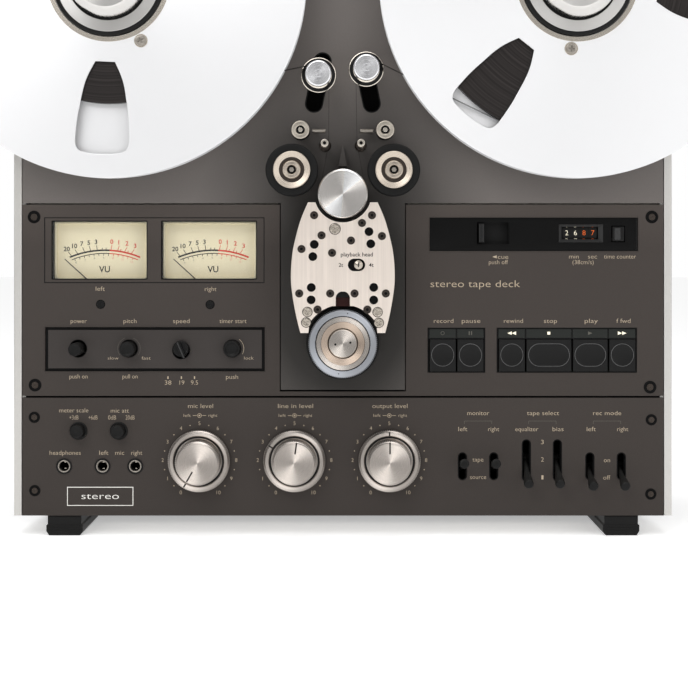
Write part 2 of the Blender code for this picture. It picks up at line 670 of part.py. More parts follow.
def build_tension_arm(name, side):
    pivot = tension_pivot(side)
    rest = tension_rest(side)
    back = TENSION_ARM_FRONT - ARM_THICKNESS
    arm = plate(
        name + "_tension_arm",
        [outline_capsule(pivot, rest, 0.0045)],
        back,
        TENSION_ARM_FRONT,
        "zinc_steel",
        origin=pivot,
    )
    top = TENSION_ROLLER_FRONT - 0.0025
    profile = [(0.0, top), (ROLLER_POST_RADIUS, top), (ROLLER_POST_RADIUS, back + 0.001), (0.0, back + 0.001)]
    combine(arm, turned(name + "_tension_post", profile, rest[0], rest[1], 16, helper=True), "UNION")
    bore = ROLLER_POST_RADIUS + CLEARANCE
    roller = [
        (0.0, TENSION_ROLLER_FRONT),
        (TENSION_CAP_RADIUS, TENSION_ROLLER_FRONT),
        (TENSION_CAP_RADIUS, 0.0325),
        (0.0072, 0.0315),
        (0.0072, 0.0240),
        (TENSION_FLANGE_RADIUS, 0.0230),
        (TENSION_FLANGE_RADIUS, 0.0215),
        (0.0080, 0.0190),
        (0.0070, 0.0030),
        (bore, 0.0030),
        (bore, top + CLEARANCE),
        (0.0, top + CLEARANCE),
    ]
    turned(name + "_tension_roller", roller, rest[0], rest[1], 20, "satin_aluminium")


def build_guide_roller(name, side):
    bore = GUIDE_POST_RADIUS + CLEARANCE
    profile = [
        (0.0, ROLLER_FRONT),
        (GUIDE_RADIUS, ROLLER_FRONT),
        (GUIDE_RADIUS, ROLLER_FRONT - 0.0020),
        (GUIDE_RADIUS - 0.0008, ROLLER_FRONT - 0.0025),
        (GUIDE_RADIUS - 0.0008, 0.0240),
        (GUIDE_RADIUS, 0.0230),
        (GUIDE_RADIUS - 0.0015, 0.0200),
        (GUIDE_RADIUS - 0.0015, 0.0020),
        (bore, 0.0020),
        (bore, ROLLER_FRONT - 0.0037),
        (0.0, ROLLER_FRONT - 0.0037),
    ]
    turned(name + "_guide_roller", profile, side * GUIDE_X, GUIDE_Z, 16, "satin_aluminium")


def build_pinch_arm(name, side):
    pivot = pinch_pivot(side)
    back = PINCH_ARM_FRONT - ARM_THICKNESS
    roller_at = (side * PINCH_X, PINCH_Z)
    arm = plate(
        name + "_pinch_arm",
        [
            outline_capsule(pivot, roller_at, 0.0055),
            outline_circle(pivot[0], pivot[1], ROLLER_POST_RADIUS + CLEARANCE, 12),
        ],
        back,
        PINCH_ARM_FRONT,
        "zinc_steel",
        origin=pivot,
    )
    top = ROLLER_FRONT - 0.0040
    profile = [(0.0, top), (ROLLER_POST_RADIUS, top), (ROLLER_POST_RADIUS, back + 0.001), (0.0, back + 0.001)]
    combine(arm, turned(name + "_pinch_post", profile, roller_at[0], roller_at[1], 16, helper=True), "UNION")
    bore = ROLLER_POST_RADIUS + CLEARANCE
    roller = [
        (0.0, ROLLER_FRONT + 0.0015),
        (0.0060, ROLLER_FRONT + 0.0015),
        (0.0060, ROLLER_FRONT),
        (0.0126, ROLLER_FRONT),
        (0.0126, ROLLER_FRONT - 0.0020),
        (PINCH_RADIUS, ROLLER_FRONT - 0.0020),
        (PINCH_RADIUS, 0.0200),
        (0.0070, 0.0200),
        (0.0070, 0.0020),
        (bore, 0.0020),
        (bore, top + CLEARANCE),
        (0.0, top + CLEARANCE),
    ]
    turned(name + "_pinch_roller", roller, roller_at[0], roller_at[1], 24, "roller_rubber")


def build_capstan():
    end = MOTOR_FRONT - MOTOR_LENGTH / 2 + 0.001
    profile = [
        (0.0, ROLLER_FRONT),
        (CAPSTAN_RADIUS - 0.0006, ROLLER_FRONT),
        (CAPSTAN_RADIUS, ROLLER_FRONT - 0.0006),
        (CAPSTAN_RADIUS, 0.0060),
        (SPINDLE_RADIUS, 0.0060),
        (SPINDLE_RADIUS, end),
        (0.0, end),
    ]
    turned("capstan", profile, 0.0, CAPSTAN_Z, 32, "chromed_steel")


def build_reversing_roller():
    bore = SPINDLE_RADIUS + CLEARANCE
    profile = [
        (0.0, ROLLER_FRONT),
        (REVERSING_RADIUS - 0.0005, ROLLER_FRONT),
        (REVERSING_RADIUS, ROLLER_FRONT - 0.0005),
        (REVERSING_RADIUS, 0.0235),
        (REVERSING_BACK_RADIUS, 0.0220),
        (REVERSING_BACK_RADIUS, 0.0030),
        (bore, 0.0030),
        (bore, ROLLER_FRONT - 0.0037),
        (0.0, ROLLER_FRONT - 0.0037),
    ]
    turned("reversing_roller", profile, 0.0, REVERSING_Z, 32, "satin_aluminium")


def build_control_panel():
    """The U-shaped panel: a wing with the meters, a wing with the keys, and a strip that joins them."""
    inner = CENTRE_PLATE_WIDTH / 2 + PANEL_GAP / 2
    strip_top = CENTRE_PLATE_BOTTOM - PANEL_GAP
    outer = [
        (-PANEL_HALF, CONTROL_BOTTOM),
        (PANEL_HALF, CONTROL_BOTTOM),
        (PANEL_HALF, CONTROL_TOP),
        (inner, CONTROL_TOP),
        (inner, strip_top),
        (-inner, strip_top),
        (-inner, CONTROL_TOP),
        (-PANEL_HALF, CONTROL_TOP),
    ]
    loops = [outer, outline_box(METER_LEFT, METER_BOTTOM, METER_RIGHT, METER_TOP)]
    for x, radius in ((POWER_X, POWER_RADIUS), (PITCH_X, PITCH_RADIUS), (SPEED_X, SPEED_RADIUS), (TIMER_X, TIMER_RADIUS)):
        loops.append(outline_circle(x, SWITCH_Z, radius + 0.0006, 16))
    loops.append(outline_box(*CUE_SLOT))
    loops.append(outline_box(*COUNTER_WINDOW))
    loops.append(outline_box(*RESET_BUTTON))
    panel = plate("control_panel", loops, PANEL_BACK, 0.0, "grey_paint")
    low, high, edge = KEY_BOTTOM - KEY_GAP, KEY_TOP + KEY_GAP, KEY_GAP / 2
    groups = (RECORD_GROUP, PLAY_GROUP)
    openings = [(left, low, right, high) for left, right in groups]
    strips = [(left - edge, low + edge, right + edge, KEY_STRIP_TOP) for left, right in groups]
    for index, area in enumerate([SWITCH_ROW, COUNTER_ROW, *strips]):
        recess = block(f"panel_recess_{index}", area, -RECESS_DEPTH, 0.005, helper=True)
        combine(panel, recess, "DIFFERENCE")
    for index, area in enumerate(openings):
        opening = block(f"key_opening_{index}", area, PANEL_BACK - 0.005, 0.005, helper=True)
        combine(panel, opening, "DIFFERENCE")


def build_meters():
    bezel = grown((METER_LEFT, METER_BOTTOM, METER_RIGHT, METER_TOP), -CLEARANCE)
    case = block("meter_case", bezel, -METER_DEPTH, 0.0, "black_plastic")
    rear = (METER_LEFT - 0.003, METER_PIVOT_Z - 0.0090, METER_RIGHT + 0.003, METER_TOP + 0.003)
    combine(case, block("meter_rear", rear, -METER_DEPTH, CHASSIS_FRONT, helper=True), "UNION")
    for name, x in zip(("left", "right"), METER_PIVOTS):
        left, right = x - METER_WINDOW_HALF, x + METER_WINDOW_HALF
        window = (left, METER_WINDOW_BOTTOM, right, METER_WINDOW_TOP)
        combine(case, block(f"{name}_window", window, -0.012, 0.005, helper=True), "DIFFERENCE")
        chamber = (left - 0.0005, METER_PIVOT_Z - 0.0060, right + 0.0005, METER_WINDOW_TOP + 0.0005)
        combine(case, block(f"{name}_chamber", chamber, -0.0125, -0.0050, helper=True), "DIFFERENCE")
        build_needle(name, x)


def build_needle(name, x):
    """A needle: a thin tapered pointer on a round hub, at rest against its left stop."""
    hub = [(0.0, -0.0070), (0.0040, -0.0070), (0.0040, -0.0105), (0.0, -0.0105)]
    needle = turned(f"{name}_meter_needle", hub, x, METER_PIVOT_Z, 20, "black_plastic")
    tip = polar(x, METER_PIVOT_Z, NEEDLE_LENGTH, NEEDLE_REST_DEG)
    across = polar(0.0, 0.0, 0.0006, NEEDLE_REST_DEG + 90)
    blade = [
        (x + across[0], METER_PIVOT_Z + across[1]),
        (x - across[0], METER_PIVOT_Z - across[1]),
        (tip[0] - across[0] / 2, tip[1] - across[1] / 2),
        (tip[0] + across[0] / 2, tip[1] + across[1] / 2),
    ]
    pointer = plate(f"{name}_pointer", [blade], -0.0085, -0.0078, origin=(x, METER_PIVOT_Z), helper=True)
    combine(needle, pointer, "UNION")


def build_switches():
    for name, x, radius, height in (
        ("power_button", POWER_X, POWER_RADIUS, 0.0160),
        ("pitch_knob", PITCH_X, PITCH_RADIUS, 0.0120),
        ("timer_knob", TIMER_X, TIMER_RADIUS, 0.0070),
    ):
        profile = [(0.0, height), (radius - 0.0005, height), (radius, height - 0.0005), (radius, -0.0120), (0.0, -0.0120)]
        turned(name, profile, x, SWITCH_Z, 20, "knob_black")
    profile = [(0.0, 0.0040), (SPEED_RADIUS, 0.0040), (SPEED_RADIUS, -0.0120), (0.0, -0.0120)]
    selector = turned("speed_selector", profile, SPEED_X, SWITCH_Z, 20, "knob_black")
    end = polar(SPEED_X, SWITCH_Z, SPEED_RADIUS + 0.0015, -67)
    start = polar(SPEED_X, SWITCH_Z, SPEED_RADIUS - 0.0010, 113)
    bar = outline_capsule(start, end, 0.0015, 4)
    pointer = plate("selector_bar", [bar], 0.0020, 0.0080, origin=(SPEED_X, SWITCH_Z), helper=True)
    combine(selector, pointer, "UNION")


def build_counter_row():
    left, bottom, _, top = grown(CUE_SLOT, -CLEARANCE)
    block("cue_lever", (left, bottom, left + CUE_WIDTH, top), -0.0080, 0.0030, "black_plastic", 0.0004)
    block("reset_button", grown(RESET_BUTTON, -CLEARANCE), -0.0080, 0.0012, "black_plastic", 0.0004)
    left, bottom, right, top = COUNTER_WINDOW
    mesh_length = right - left - 4 * CLEARANCE
    profile = [(0.0, mesh_length / 2), (COUNTER_DRUM_RADIUS, mesh_length / 2)]
    profile += [(COUNTER_DRUM_RADIUS, -mesh_length / 2), (0.0, -mesh_length / 2)]
    drum = turned("counter_drum", profile, (left + right) / 2, (bottom + top) / 2, 20, "black_plastic")
    drum.rotation_euler = (0.0, math.pi / 2, 0.0)
    drum.location.y = ahead(PANEL_BACK - CLEARANCE - COUNTER_DRUM_RADIUS)


def build_keys():
    for name, left, right in KEYS:
        block(name, (left, KEY_BOTTOM, right, KEY_TOP), KEY_HEIGHT - KEY_LENGTH, KEY_HEIGHT, "black_plastic", 0.0005)


def build_lower_panel():
    loops = [outline_box(-PANEL_HALF, CABINET_BOTTOM, PANEL_HALF, LOWER_TOP)]
    for _, x in PUSH_BUTTONS:
        loops.append(outline_circle(x, PUSH_BUTTON_Z, PUSH_BUTTON_RADIUS + 0.0006, 16))
    for x in JACKS_X:
        loops.append(outline_circle(x, JACK_Z, JACK_RADIUS + 2 * CLEARANCE, 16))
    for _, x in LEVEL_KNOBS:
        loops.append(outline_circle(x, LEVEL_Z, KNOB_SLEEVE_RADIUS + 0.0005, 16))
    for _, x, slot, _, _ in LEVERS:
        low = (x, slot[0] + LEVER_SLOT_WIDTH / 2)
        high = (x, slot[1] - LEVER_SLOT_WIDTH / 2)
        loops.append(outline_capsule(low, high, LEVER_SLOT_WIDTH / 2, 4))
    plate("lower_panel", loops, PANEL_BACK, 0.0, "grey_paint")


def build_level_knobs():
    for name, x in LEVEL_KNOBS:
        rim = INNER_KNOB_RADIUS + 0.0007
        bore = KNOB_SHAFT_RADIUS + CLEARANCE
        ring = [
            (rim, OUTER_KNOB_HEIGHT - 0.0010),
            (OUTER_KNOB_RADIUS - 0.0025, OUTER_KNOB_HEIGHT - 0.0010),
            (OUTER_KNOB_RADIUS - 0.0023, OUTER_KNOB_HEIGHT),
            (OUTER_KNOB_RADIUS - 0.0004, OUTER_KNOB_HEIGHT),
            (OUTER_KNOB_RADIUS, OUTER_KNOB_HEIGHT - 0.0004),
            (OUTER_KNOB_RADIUS, 0.0006),
            (KNOB_SLEEVE_RADIUS, 0.0006),
            (KNOB_SLEEVE_RADIUS, -0.0100),
            (bore, -0.0100),
            (bore, 0.0030),
            (rim, 0.0030),
        ]
        turned(name + "_outer_knob", ring, x, LEVEL_Z, 24, "satin_aluminium")
        knob = [
            (0.0, INNER_KNOB_HEIGHT),
            (INNER_KNOB_RADIUS - 0.0005, INNER_KNOB_HEIGHT),
            (INNER_KNOB_RADIUS, INNER_KNOB_HEIGHT - 0.0005),
            (INNER_KNOB_RADIUS, 0.0036),
            (KNOB_SHAFT_RADIUS, 0.0036),
            (KNOB_SHAFT_RADIUS, -0.0150),
            (0.0, -0.0150),
        ]
        turned(name + "_inner_knob", knob, x, LEVEL_Z, 24, "satin_aluminium")


def build_push_buttons():
    for name, x in PUSH_BUTTONS:
        radius = PUSH_BUTTON_RADIUS
        profile = [(0.0, 0.0100), (radius - 0.0004, 0.0100), (radius, 0.0096), (radius, -0.0100), (0.0, -0.0100)]
        turned(name, profile, x, PUSH_BUTTON_Z, 20, "knob_black")


def build_jacks():
    area = (JACKS_X[0] - 0.011, JACK_Z - 0.011, JACKS_X[-1] + 0.011, JACK_Z + 0.011)
    board = block("jack_board", area, -0.0120, -0.0060, "black_plastic")
    for index, x in enumerate(JACKS_X):
        barrel = [(0.0, 0.0008), (JACK_RADIUS, 0.0008), (JACK_RADIUS, -JACK_DEPTH - 0.003), (0.0, -JACK_DEPTH - 0.003)]
        combine(board, turned(f"jack_barrel_{index}", barrel, x, JACK_Z, 16, helper=True), "UNION")
    for index, x in enumerate(JACKS_X):
        bore = [(0.0, 0.0020), (JACK_BORE, 0.0020), (JACK_BORE, -JACK_DEPTH), (0.0, -JACK_DEPTH)]
        combine(board, turned(f"jack_bore_{index}", bore, x, JACK_Z, 16, helper=True), "DIFFERENCE")


def build_levers():
    """Bat-handle levers. Each one turns about a crosswise axis behind its slot."""
    for name, x, _, pivot_z, tilt in LEVERS:
        ball = [polar(0.0, 0.0, 0.0040, degrees) for degrees in (55, 0, -55)]
        profile = [(0.0, LEVER_LENGTH), (LEVER_TIP_RADIUS - 0.0004, LEVER_LENGTH)]
        profile += [(LEVER_TIP_RADIUS, LEVER_LENGTH - 0.0004), (0.0018, 0.0180)]
        profile += [*ball, (0.0, -0.0040)]
        lever = turned(name, profile, x, pivot_z, 12, "knob_black")
        lever.location.y = ahead(LEVER_PIVOT_HEIGHT)
        lever.rotation_euler = (math.pi / 2 - math.radians(tilt), 0.0, 0.0)


def start_scene():
    for obj in list(bpy.data.objects):
        bpy.data.objects.remove(obj)
    for name in ("Tape_deck", "Cutters"):
        bpy.context.scene.collection.children.link(bpy.data.collections.new(name))
    for name, (colour, roughness, metallic) in FINISHES.items():
        material = bpy.data.materials.new(name)
        material.use_nodes = True
        shader = material.node_tree.nodes["Principled BSDF"]
        shader.inputs["Base Color"].default_value = (*colour, 1.0)
        shader.inputs["Roughness"].default_value = roughness
        shader.inputs["Metallic"].default_value = metallic


def shade_round_pieces():
    for obj in bpy.data.collections["Tape_deck"].objects:
        obj.data.shade_smooth()
        obj.data.set_sharp_from_angle(angle=math.radians(35))


def main():
    start_scene()
    build_chassis()
    build_rear_cover()
    build_feet()
    build_motor_plate()
    build_deck_plate()
    build_transport_base()
    build_head_cover()
    build_reel("supply", -1, SUPPLY_WINDOW_DEG, SUPPLY_PACK_RADIUS)
    build_reel("takeup", 1, TAKEUP_WINDOW_DEG, TAKEUP_PACK_RADIUS)
    for name, side in (("supply", -1), ("takeup", 1)):
        build_tension_arm(name, side)
        build_guide_roller(name, side)
        build_pinch_arm(name, side)
    build_capstan()
    build_reversing_roller()
    build_control_panel()
    build_meters()
    build_switches()
    build_counter_row()
    build_keys()
    build_lower_panel()
    build_level_knobs()
    build_push_buttons()
    build_jacks()
    build_levers()
    shade_round_pieces()


if __name__ == "__main__":
    main()
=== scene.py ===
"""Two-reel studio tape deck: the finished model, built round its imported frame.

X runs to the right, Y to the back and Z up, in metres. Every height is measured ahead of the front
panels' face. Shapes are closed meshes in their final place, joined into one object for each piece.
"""

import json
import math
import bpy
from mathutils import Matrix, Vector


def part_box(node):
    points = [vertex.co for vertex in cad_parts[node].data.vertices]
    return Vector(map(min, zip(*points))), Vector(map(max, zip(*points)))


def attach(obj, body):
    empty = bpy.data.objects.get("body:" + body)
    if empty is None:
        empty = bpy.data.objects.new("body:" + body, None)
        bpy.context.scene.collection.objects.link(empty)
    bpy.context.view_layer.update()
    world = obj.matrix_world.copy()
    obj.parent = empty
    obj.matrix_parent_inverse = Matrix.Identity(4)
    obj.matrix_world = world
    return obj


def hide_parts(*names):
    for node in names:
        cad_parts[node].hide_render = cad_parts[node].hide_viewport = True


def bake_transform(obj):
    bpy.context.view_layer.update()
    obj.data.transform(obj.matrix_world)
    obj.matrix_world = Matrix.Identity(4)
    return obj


bl_info = {
    "name": "Tape Deck Builder",
    "version": (1, 0, 0),
    "blender": (4, 5, 0),
    "location": "View3D > Sidebar > Tape Deck",
    "description": "Builds the detailed pieces and finishes of an upright open-reel tape deck",
    "category": "Add Mesh",
}

import bmesh
import bpy
from mathutils import Matrix, Vector

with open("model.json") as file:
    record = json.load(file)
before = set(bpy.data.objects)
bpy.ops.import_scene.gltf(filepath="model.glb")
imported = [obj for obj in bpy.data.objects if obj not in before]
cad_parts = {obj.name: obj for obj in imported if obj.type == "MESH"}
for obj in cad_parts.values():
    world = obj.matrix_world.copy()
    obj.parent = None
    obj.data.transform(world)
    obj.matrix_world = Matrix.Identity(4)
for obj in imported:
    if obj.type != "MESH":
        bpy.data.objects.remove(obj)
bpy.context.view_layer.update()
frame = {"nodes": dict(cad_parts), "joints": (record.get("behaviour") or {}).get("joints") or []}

MM = 0.001
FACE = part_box("lower_panel")[0].y
SIDES = (("supply", -1), ("takeup", 1))


def tone(red, green, blue):
    """A colour given as it shows on a screen, 0 to 255, in the linear values that shaders use."""
    return tuple((c / 255 / 12.92) if c < 11 else ((c / 255 + 0.055) / 1.055) ** 2.4
        for c in (red, green, blue))


def ahead(height):
    return FACE - height


def middle(node):
    """X and Z of a node's middle at rest."""
    low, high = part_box(node)
    return (low.x + high.x) / 2, (low.z + high.z) / 2


def front_of(node):
    """How far ahead of the panels' face a node reaches."""
    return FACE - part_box(node)[0].y


def back_of(node):
    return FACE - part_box(node)[1].y


def spot(x, z, radius, degrees):
    angle = math.radians(degrees)
    return x + radius * math.cos(angle), z + radius * math.sin(angle)


# ---------------------------------------------------------------- sizes and colours


class DeckSizes(bpy.types.PropertyGroup):
    """Sizes that a user would change."""

    panel_edge: bpy.props.FloatProperty(
        name="Panel edge", description="Rounding of the front panels' edges", default=0.0005, unit="LENGTH"
    )
    joint: bpy.props.FloatProperty(
        name="Panel joint", description="Depth of the dark line round a panel", default=0.0025,
        unit="LENGTH"
    )
    print_depth: bpy.props.FloatProperty(
        name="Print thickness", description="Thickness of printed words and lines", default=0.00006,
        unit="LENGTH"
    )
    label_size: bpy.props.FloatProperty(
        name="Label size", description="Height of the letters on the panels", default=0.0043, unit="LENGTH"
    )
    tape_thickness: bpy.props.FloatProperty(
        name="Tape thickness", description="Thickness of the loose tape", default=0.00018, unit="LENGTH"
    )
    knurl_count: bpy.props.IntProperty(
        name="Knurl ribs", description="Ribs round a level knob's rim", default=100, min=24
    )
    camera_distance: bpy.props.FloatProperty(
        name="Camera distance", description="From the camera to the panels' face", default=1.2,
        unit="LENGTH"
    )
    lens: bpy.props.FloatProperty(name="Lens", description="Focal length in millimetres", default=90.6)


def colour_property(name, description, default):
    return bpy.props.FloatVectorProperty(
        name=name, description=description, subtype="COLOR", size=3, min=0.0, max=1.0, default=default
    )


class DeckColours(bpy.types.PropertyGroup):
    """Colours that a user would change."""

    deck: colour_property("Deck paint", "Upper plate round the tape path", tone(107, 102, 99))
    # The centre colour is partly a darker paint and partly painted shade round the head cover.
    tongue: colour_property("Centre paint", "Lower end of the deck plate", tone(50, 48, 46))
    panel: colour_property("Panel paint", "Control panel and lower panel", tone(56, 51, 48))
    recess: colour_property("Recess paint", "Floor of the switch row", tone(58, 54, 52))
    words: colour_property("Lettering", "Words on the panels", tone(178, 163, 142))
    reel: colour_property("Reels", "Satin reel flanges", tone(232, 232, 233))
    cover: colour_property("Head cover", "Brushed plate over the heads", tone(226, 215, 205))
    knob: colour_property("Level knobs", "Spun aluminium", tone(186, 178, 171))
    dial: colour_property("Meter dial", "Paper behind the needles", tone(226, 216, 184))
    black: colour_property("Black parts", "Levers, buttons and small knobs", tone(18, 18, 18))
    keys: colour_property("Keys", "Transport keys", tone(23, 23, 23))


# ---------------------------------------------------------------- shapes


def outward(mesh):
    """Closes seams and turns every face outwards."""
    shape = bmesh.new()
    shape.from_mesh(mesh)
    bmesh.ops.remove_doubles(shape, verts=shape.verts, dist=1e-7)
    bmesh.ops.recalc_face_normals(shape, faces=shape.faces)
    shape.to_mesh(mesh)
    shape.free()
    return mesh


def softened(profile, ring, steps=4):
    """A profile of (radius, height) points, where a third value rounds that corner."""
    points = []
    count = len(profile)
    for index, corner in enumerate(profile):
        here = Vector(corner[:2])
        fillet = corner[2] if len(corner) > 2 else 0.0
        if not fillet or (not ring and index in (0, count - 1)):
            points.append(here)
            continue
        before = Vector(profile[index - 1][:2]) - here
        after = Vector(profile[(index + 1) % count][:2]) - here
        reach = min(fillet, before.length * 0.45, after.length * 0.45)
        start = here + before.normalized() * reach
        end = here + after.normalized() * reach
        for step in range(steps + 1):
            t = step / steps
            points.append(start * (1 - t) ** 2 + here * 2 * t * (1 - t) + end * t * t)
    return points


def turned(profile, x=0.0, z=0.0, steps=96, wave=None):
    """A closed turned shape about an axis that points forward. A profile off the axis closes as a ring."""
    ring = profile[0][0] > 1e-7
    points = softened(profile, ring)
    corners, faces, rows = [], [], []
    for radius, height in points:
        if radius < 1e-7:
            rows.append([len(corners)])
            corners.append((x, ahead(height), z))
            continue
        rows.append(list(range(len(corners), len(corners) + steps)))
        for step in range(steps):
            angle = math.tau * step / steps
            reach = radius + (wave(angle, radius, height) if wave else 0.0)
            corners.append((x + reach * math.cos(angle), ahead(height), z + reach * math.sin(angle)))
    pairs = list(zip(rows, rows[1:])) + ([(rows[-1], rows[0])] if ring else [])
    for first, second in pairs:
        for step in range(steps):
            after = (step + 1) % steps
            if len(first) == 1:
                faces.append((first[0], second[step], second[after]))
            elif len(second) == 1:
                faces.append((first[step], second[0], first[after]))
            else:
                faces.append((first[step], second[step], second[after], first[after]))
    mesh = bpy.data.meshes.new("turned")
    mesh.from_pydata(corners, [], faces)
    return outward(mesh)


def mesh_of(sketch):
    """The evaluated mesh of a curve or text, which is then removed."""
    obj = bpy.data.objects.new("sketch", sketch)
    bpy.context.scene.collection.objects.link(obj)
    bpy.context.view_layer.update()
    graph = bpy.context.evaluated_depsgraph_get()
    mesh = bpy.data.meshes.new_from_object(obj.evaluated_get(graph))
    bpy.data.objects.remove(obj)
    bpy.data.curves.remove(sketch)
    mesh.materials.clear()
    return mesh


def slab(loops, back, front, edge=0.0, segments=2):
    """A flat piece between two heights, from closed outlines in X and Z. Inner outlines are holes."""
    curve = bpy.data.curves.new("outline", "CURVE")
    curve.dimensions = "2D"
    curve.fill_mode = "BOTH"
    curve.extrude = (front - back) / 2 - edge
    curve.bevel_depth = edge
    curve.bevel_resolution = segments - 1
    curve.offset = -edge
    for points in loops:
        spline = curve.splines.new("POLY")
        spline.points.add(len(points) - 1)
        for corner, (x, z) in zip(spline.points, points):
            corner.co = (x, z, 0.0, 1.0)
        spline.use_cyclic_u = True
    mesh = mesh_of(curve)
    mesh.transform(Matrix.Translation((0, ahead((front + back) / 2), 0))
        @ Matrix.Rotation(math.pi / 2, 4, "X"))
    return outward(mesh)


def brick(area, back, front, edge=0.0003, segments=2):
    """A box over an area (left, bottom, right, top), between two heights, with rounded edges."""
    left, bottom, right, top = area
    shape = bmesh.new()
    bmesh.ops.create_cube(shape, size=1.0)
    bmesh.ops.scale(shape, verts=shape.verts, vec=(right - left, front - back, top - bottom))
    centre = ((left + right) / 2, ahead((front + back) / 2), (bottom + top) / 2)
    bmesh.ops.translate(shape, verts=shape.verts, vec=centre)
    if edge:
        bmesh.ops.bevel(
            shape, geom=shape.edges[:], offset=edge, segments=segments, profile=0.5, affect="EDGES",
            clamp_overlap=True
        )
    mesh = bpy.data.meshes.new("brick")
    shape.to_mesh(mesh)
    shape.free()
    return outward(mesh)


def words(text, x, z, height, size, width=0.0, align="CENTER", weight=-0.011):
    """A printed word whose middle is at X and Z. A width stretches it; weight thickens its strokes."""
    curve = bpy.data.curves.new("words", "FONT")
    curve.body = text
    curve.size = size
    curve.align_x = align
    curve.align_y = "CENTER"
    curve.resolution_u = 3
    curve.extrude = bpy.context.scene.deck_sizes.print_depth / 2
    curve.offset = size * weight
    mesh = mesh_of(curve)
    xs = [corner.co.x for corner in mesh.vertices]
    stretch = width / (max(xs) - min(xs)) if width and xs else 1.0
    place = Matrix.Translation((x, ahead(height + bpy.context.scene.deck_sizes.print_depth / 2), z))
    mesh.transform(place @ Matrix.Rotation(math.pi / 2, 4, "X") @ Matrix.Diagonal((stretch, 1, 1, 1)))
    return outward(mesh)


def circle(x, z, radius, count=48):
    return [spot(x, z, radius, 360 * index / count) for index in range(count)]


def box_outline(left, bottom, right, top, corner=0.0):
    if not corner:
        return [(left, bottom), (right, bottom), (right, top), (left, top)]
    points = []
    corners = ((right, bottom, -1, 1, -90), (right, top, -1, -1, 0), (left, top, 1, -1, 90),
        (left, bottom, 1, 1, 180))
    for x, z, across, up, first in corners:
        for index in range(6):
            points.append(spot(x + across * corner, z + up * corner, corner, first + 18 * index))
    return points


def capsule(start, end, radius, count=12):
    """The outline of a bar with round ends, between two centres."""
    heading = math.degrees(math.atan2(end[1] - start[1], end[0] - start[0]))
    points = []
    for centre, first in ((end, heading - 90), (start, heading + 90)):
        for index in range(count + 1):
            points.append(spot(*centre, radius, first + 180 * index / count))
    return points


def arc_band(x, z, radius, width, first, last, count=32):
    """The outline of a thin arc, with both angles in degrees."""
    outer = [spot(x, z, radius + width / 2, first + (last - first) * i / count) for i in range(count + 1)]
    inner = [spot(x, z, radius - width / 2, first + (last - first) * i / count) for i in range(count + 1)]
    return outer + inner[::-1]


def stroke(start, end, width):
    """The outline of a straight printed line."""
    along = Vector((end[0] - start[0], end[1] - start[1])).normalized() * width / 2
    across = Vector((-along.y, along.x))
    corners = ((start, -1), (end, -1), (end, 1), (start, 1))
    return [(point[0] + side * across.x, point[1] + side * across.y) for point, side in corners]


def smooth_loop(corners, steps=6, sharp=()):
    """A closed outline through the corners, curved between them except at the sharp ones."""
    count = len(corners)
    points = []
    for index in range(count):
        p0, p1, p2, p3 = (Vector(corners[(index + shift) % count]) for shift in (-1, 0, 1, 2))
        start = (p2 - p1) if index in sharp else (p2 - p0) / 2
        end = (p2 - p1) if (index + 1) % count in sharp else (p3 - p1) / 2
        for step in range(steps):
            t = step / steps
            a = 2 * t**3 - 3 * t**2 + 1
            b = t**3 - 2 * t**2 + t
            c = -2 * t**3 + 3 * t**2
            d = t**3 - t**2
            points.append(tuple(p1 * a + start * b + p2 * c + end * d))
    return points


def grown(area, margin):
    left, bottom, right, top = area
    return (left - margin, bottom - margin, right + margin, top + margin)


def frame_lines(area, width):
    """Two outlines that make a thin rectangular frame inside an area."""
    return [box_outline(*area), box_outline(*grown(area, -width))]


def ribbon(points, back, front, thickness):
    """A strip of tape on edge that follows points in X and Z."""
    left, right = [], []
    for index, point in enumerate(points):
        before = Vector(points[max(index - 1, 0)])
        after = Vector(points[min(index + 1, len(points) - 1)])
        along = (after - before).normalized()
        across = Vector((-along.y, along.x)) * thickness / 2
        left.append((point[0] + across.x, point[1] + across.y))
        right.append((point[0] - across.x, point[1] - across.y))
    corners = []
    for row in (left, right):
        for x, z in row:
            corners += [(x, ahead(back), z), (x, ahead(front), z)]
    count = len(points)
    faces = []
    for index in range(count - 1):
        a, b = 2 * index, 2 * (count + index)
        faces += [(a, a + 1, a + 3, a + 2), (b, b + 2, b + 3, b + 1)]
        faces += [(a + 1, b + 1, b + 3, a + 3), (a, a + 2, b + 2, b)]
    last, far = 2 * (count - 1), 2 * (2 * count - 1)
    faces += [(0, 2 * count, 2 * count + 1, 1), (last, last + 1, far + 1, far)]
    mesh = bpy.data.meshes.new("ribbon")
    mesh.from_pydata(corners, [], faces)
    return outward(mesh)


def finish_of(name):
    return bpy.data.materials[name + "_finish"]


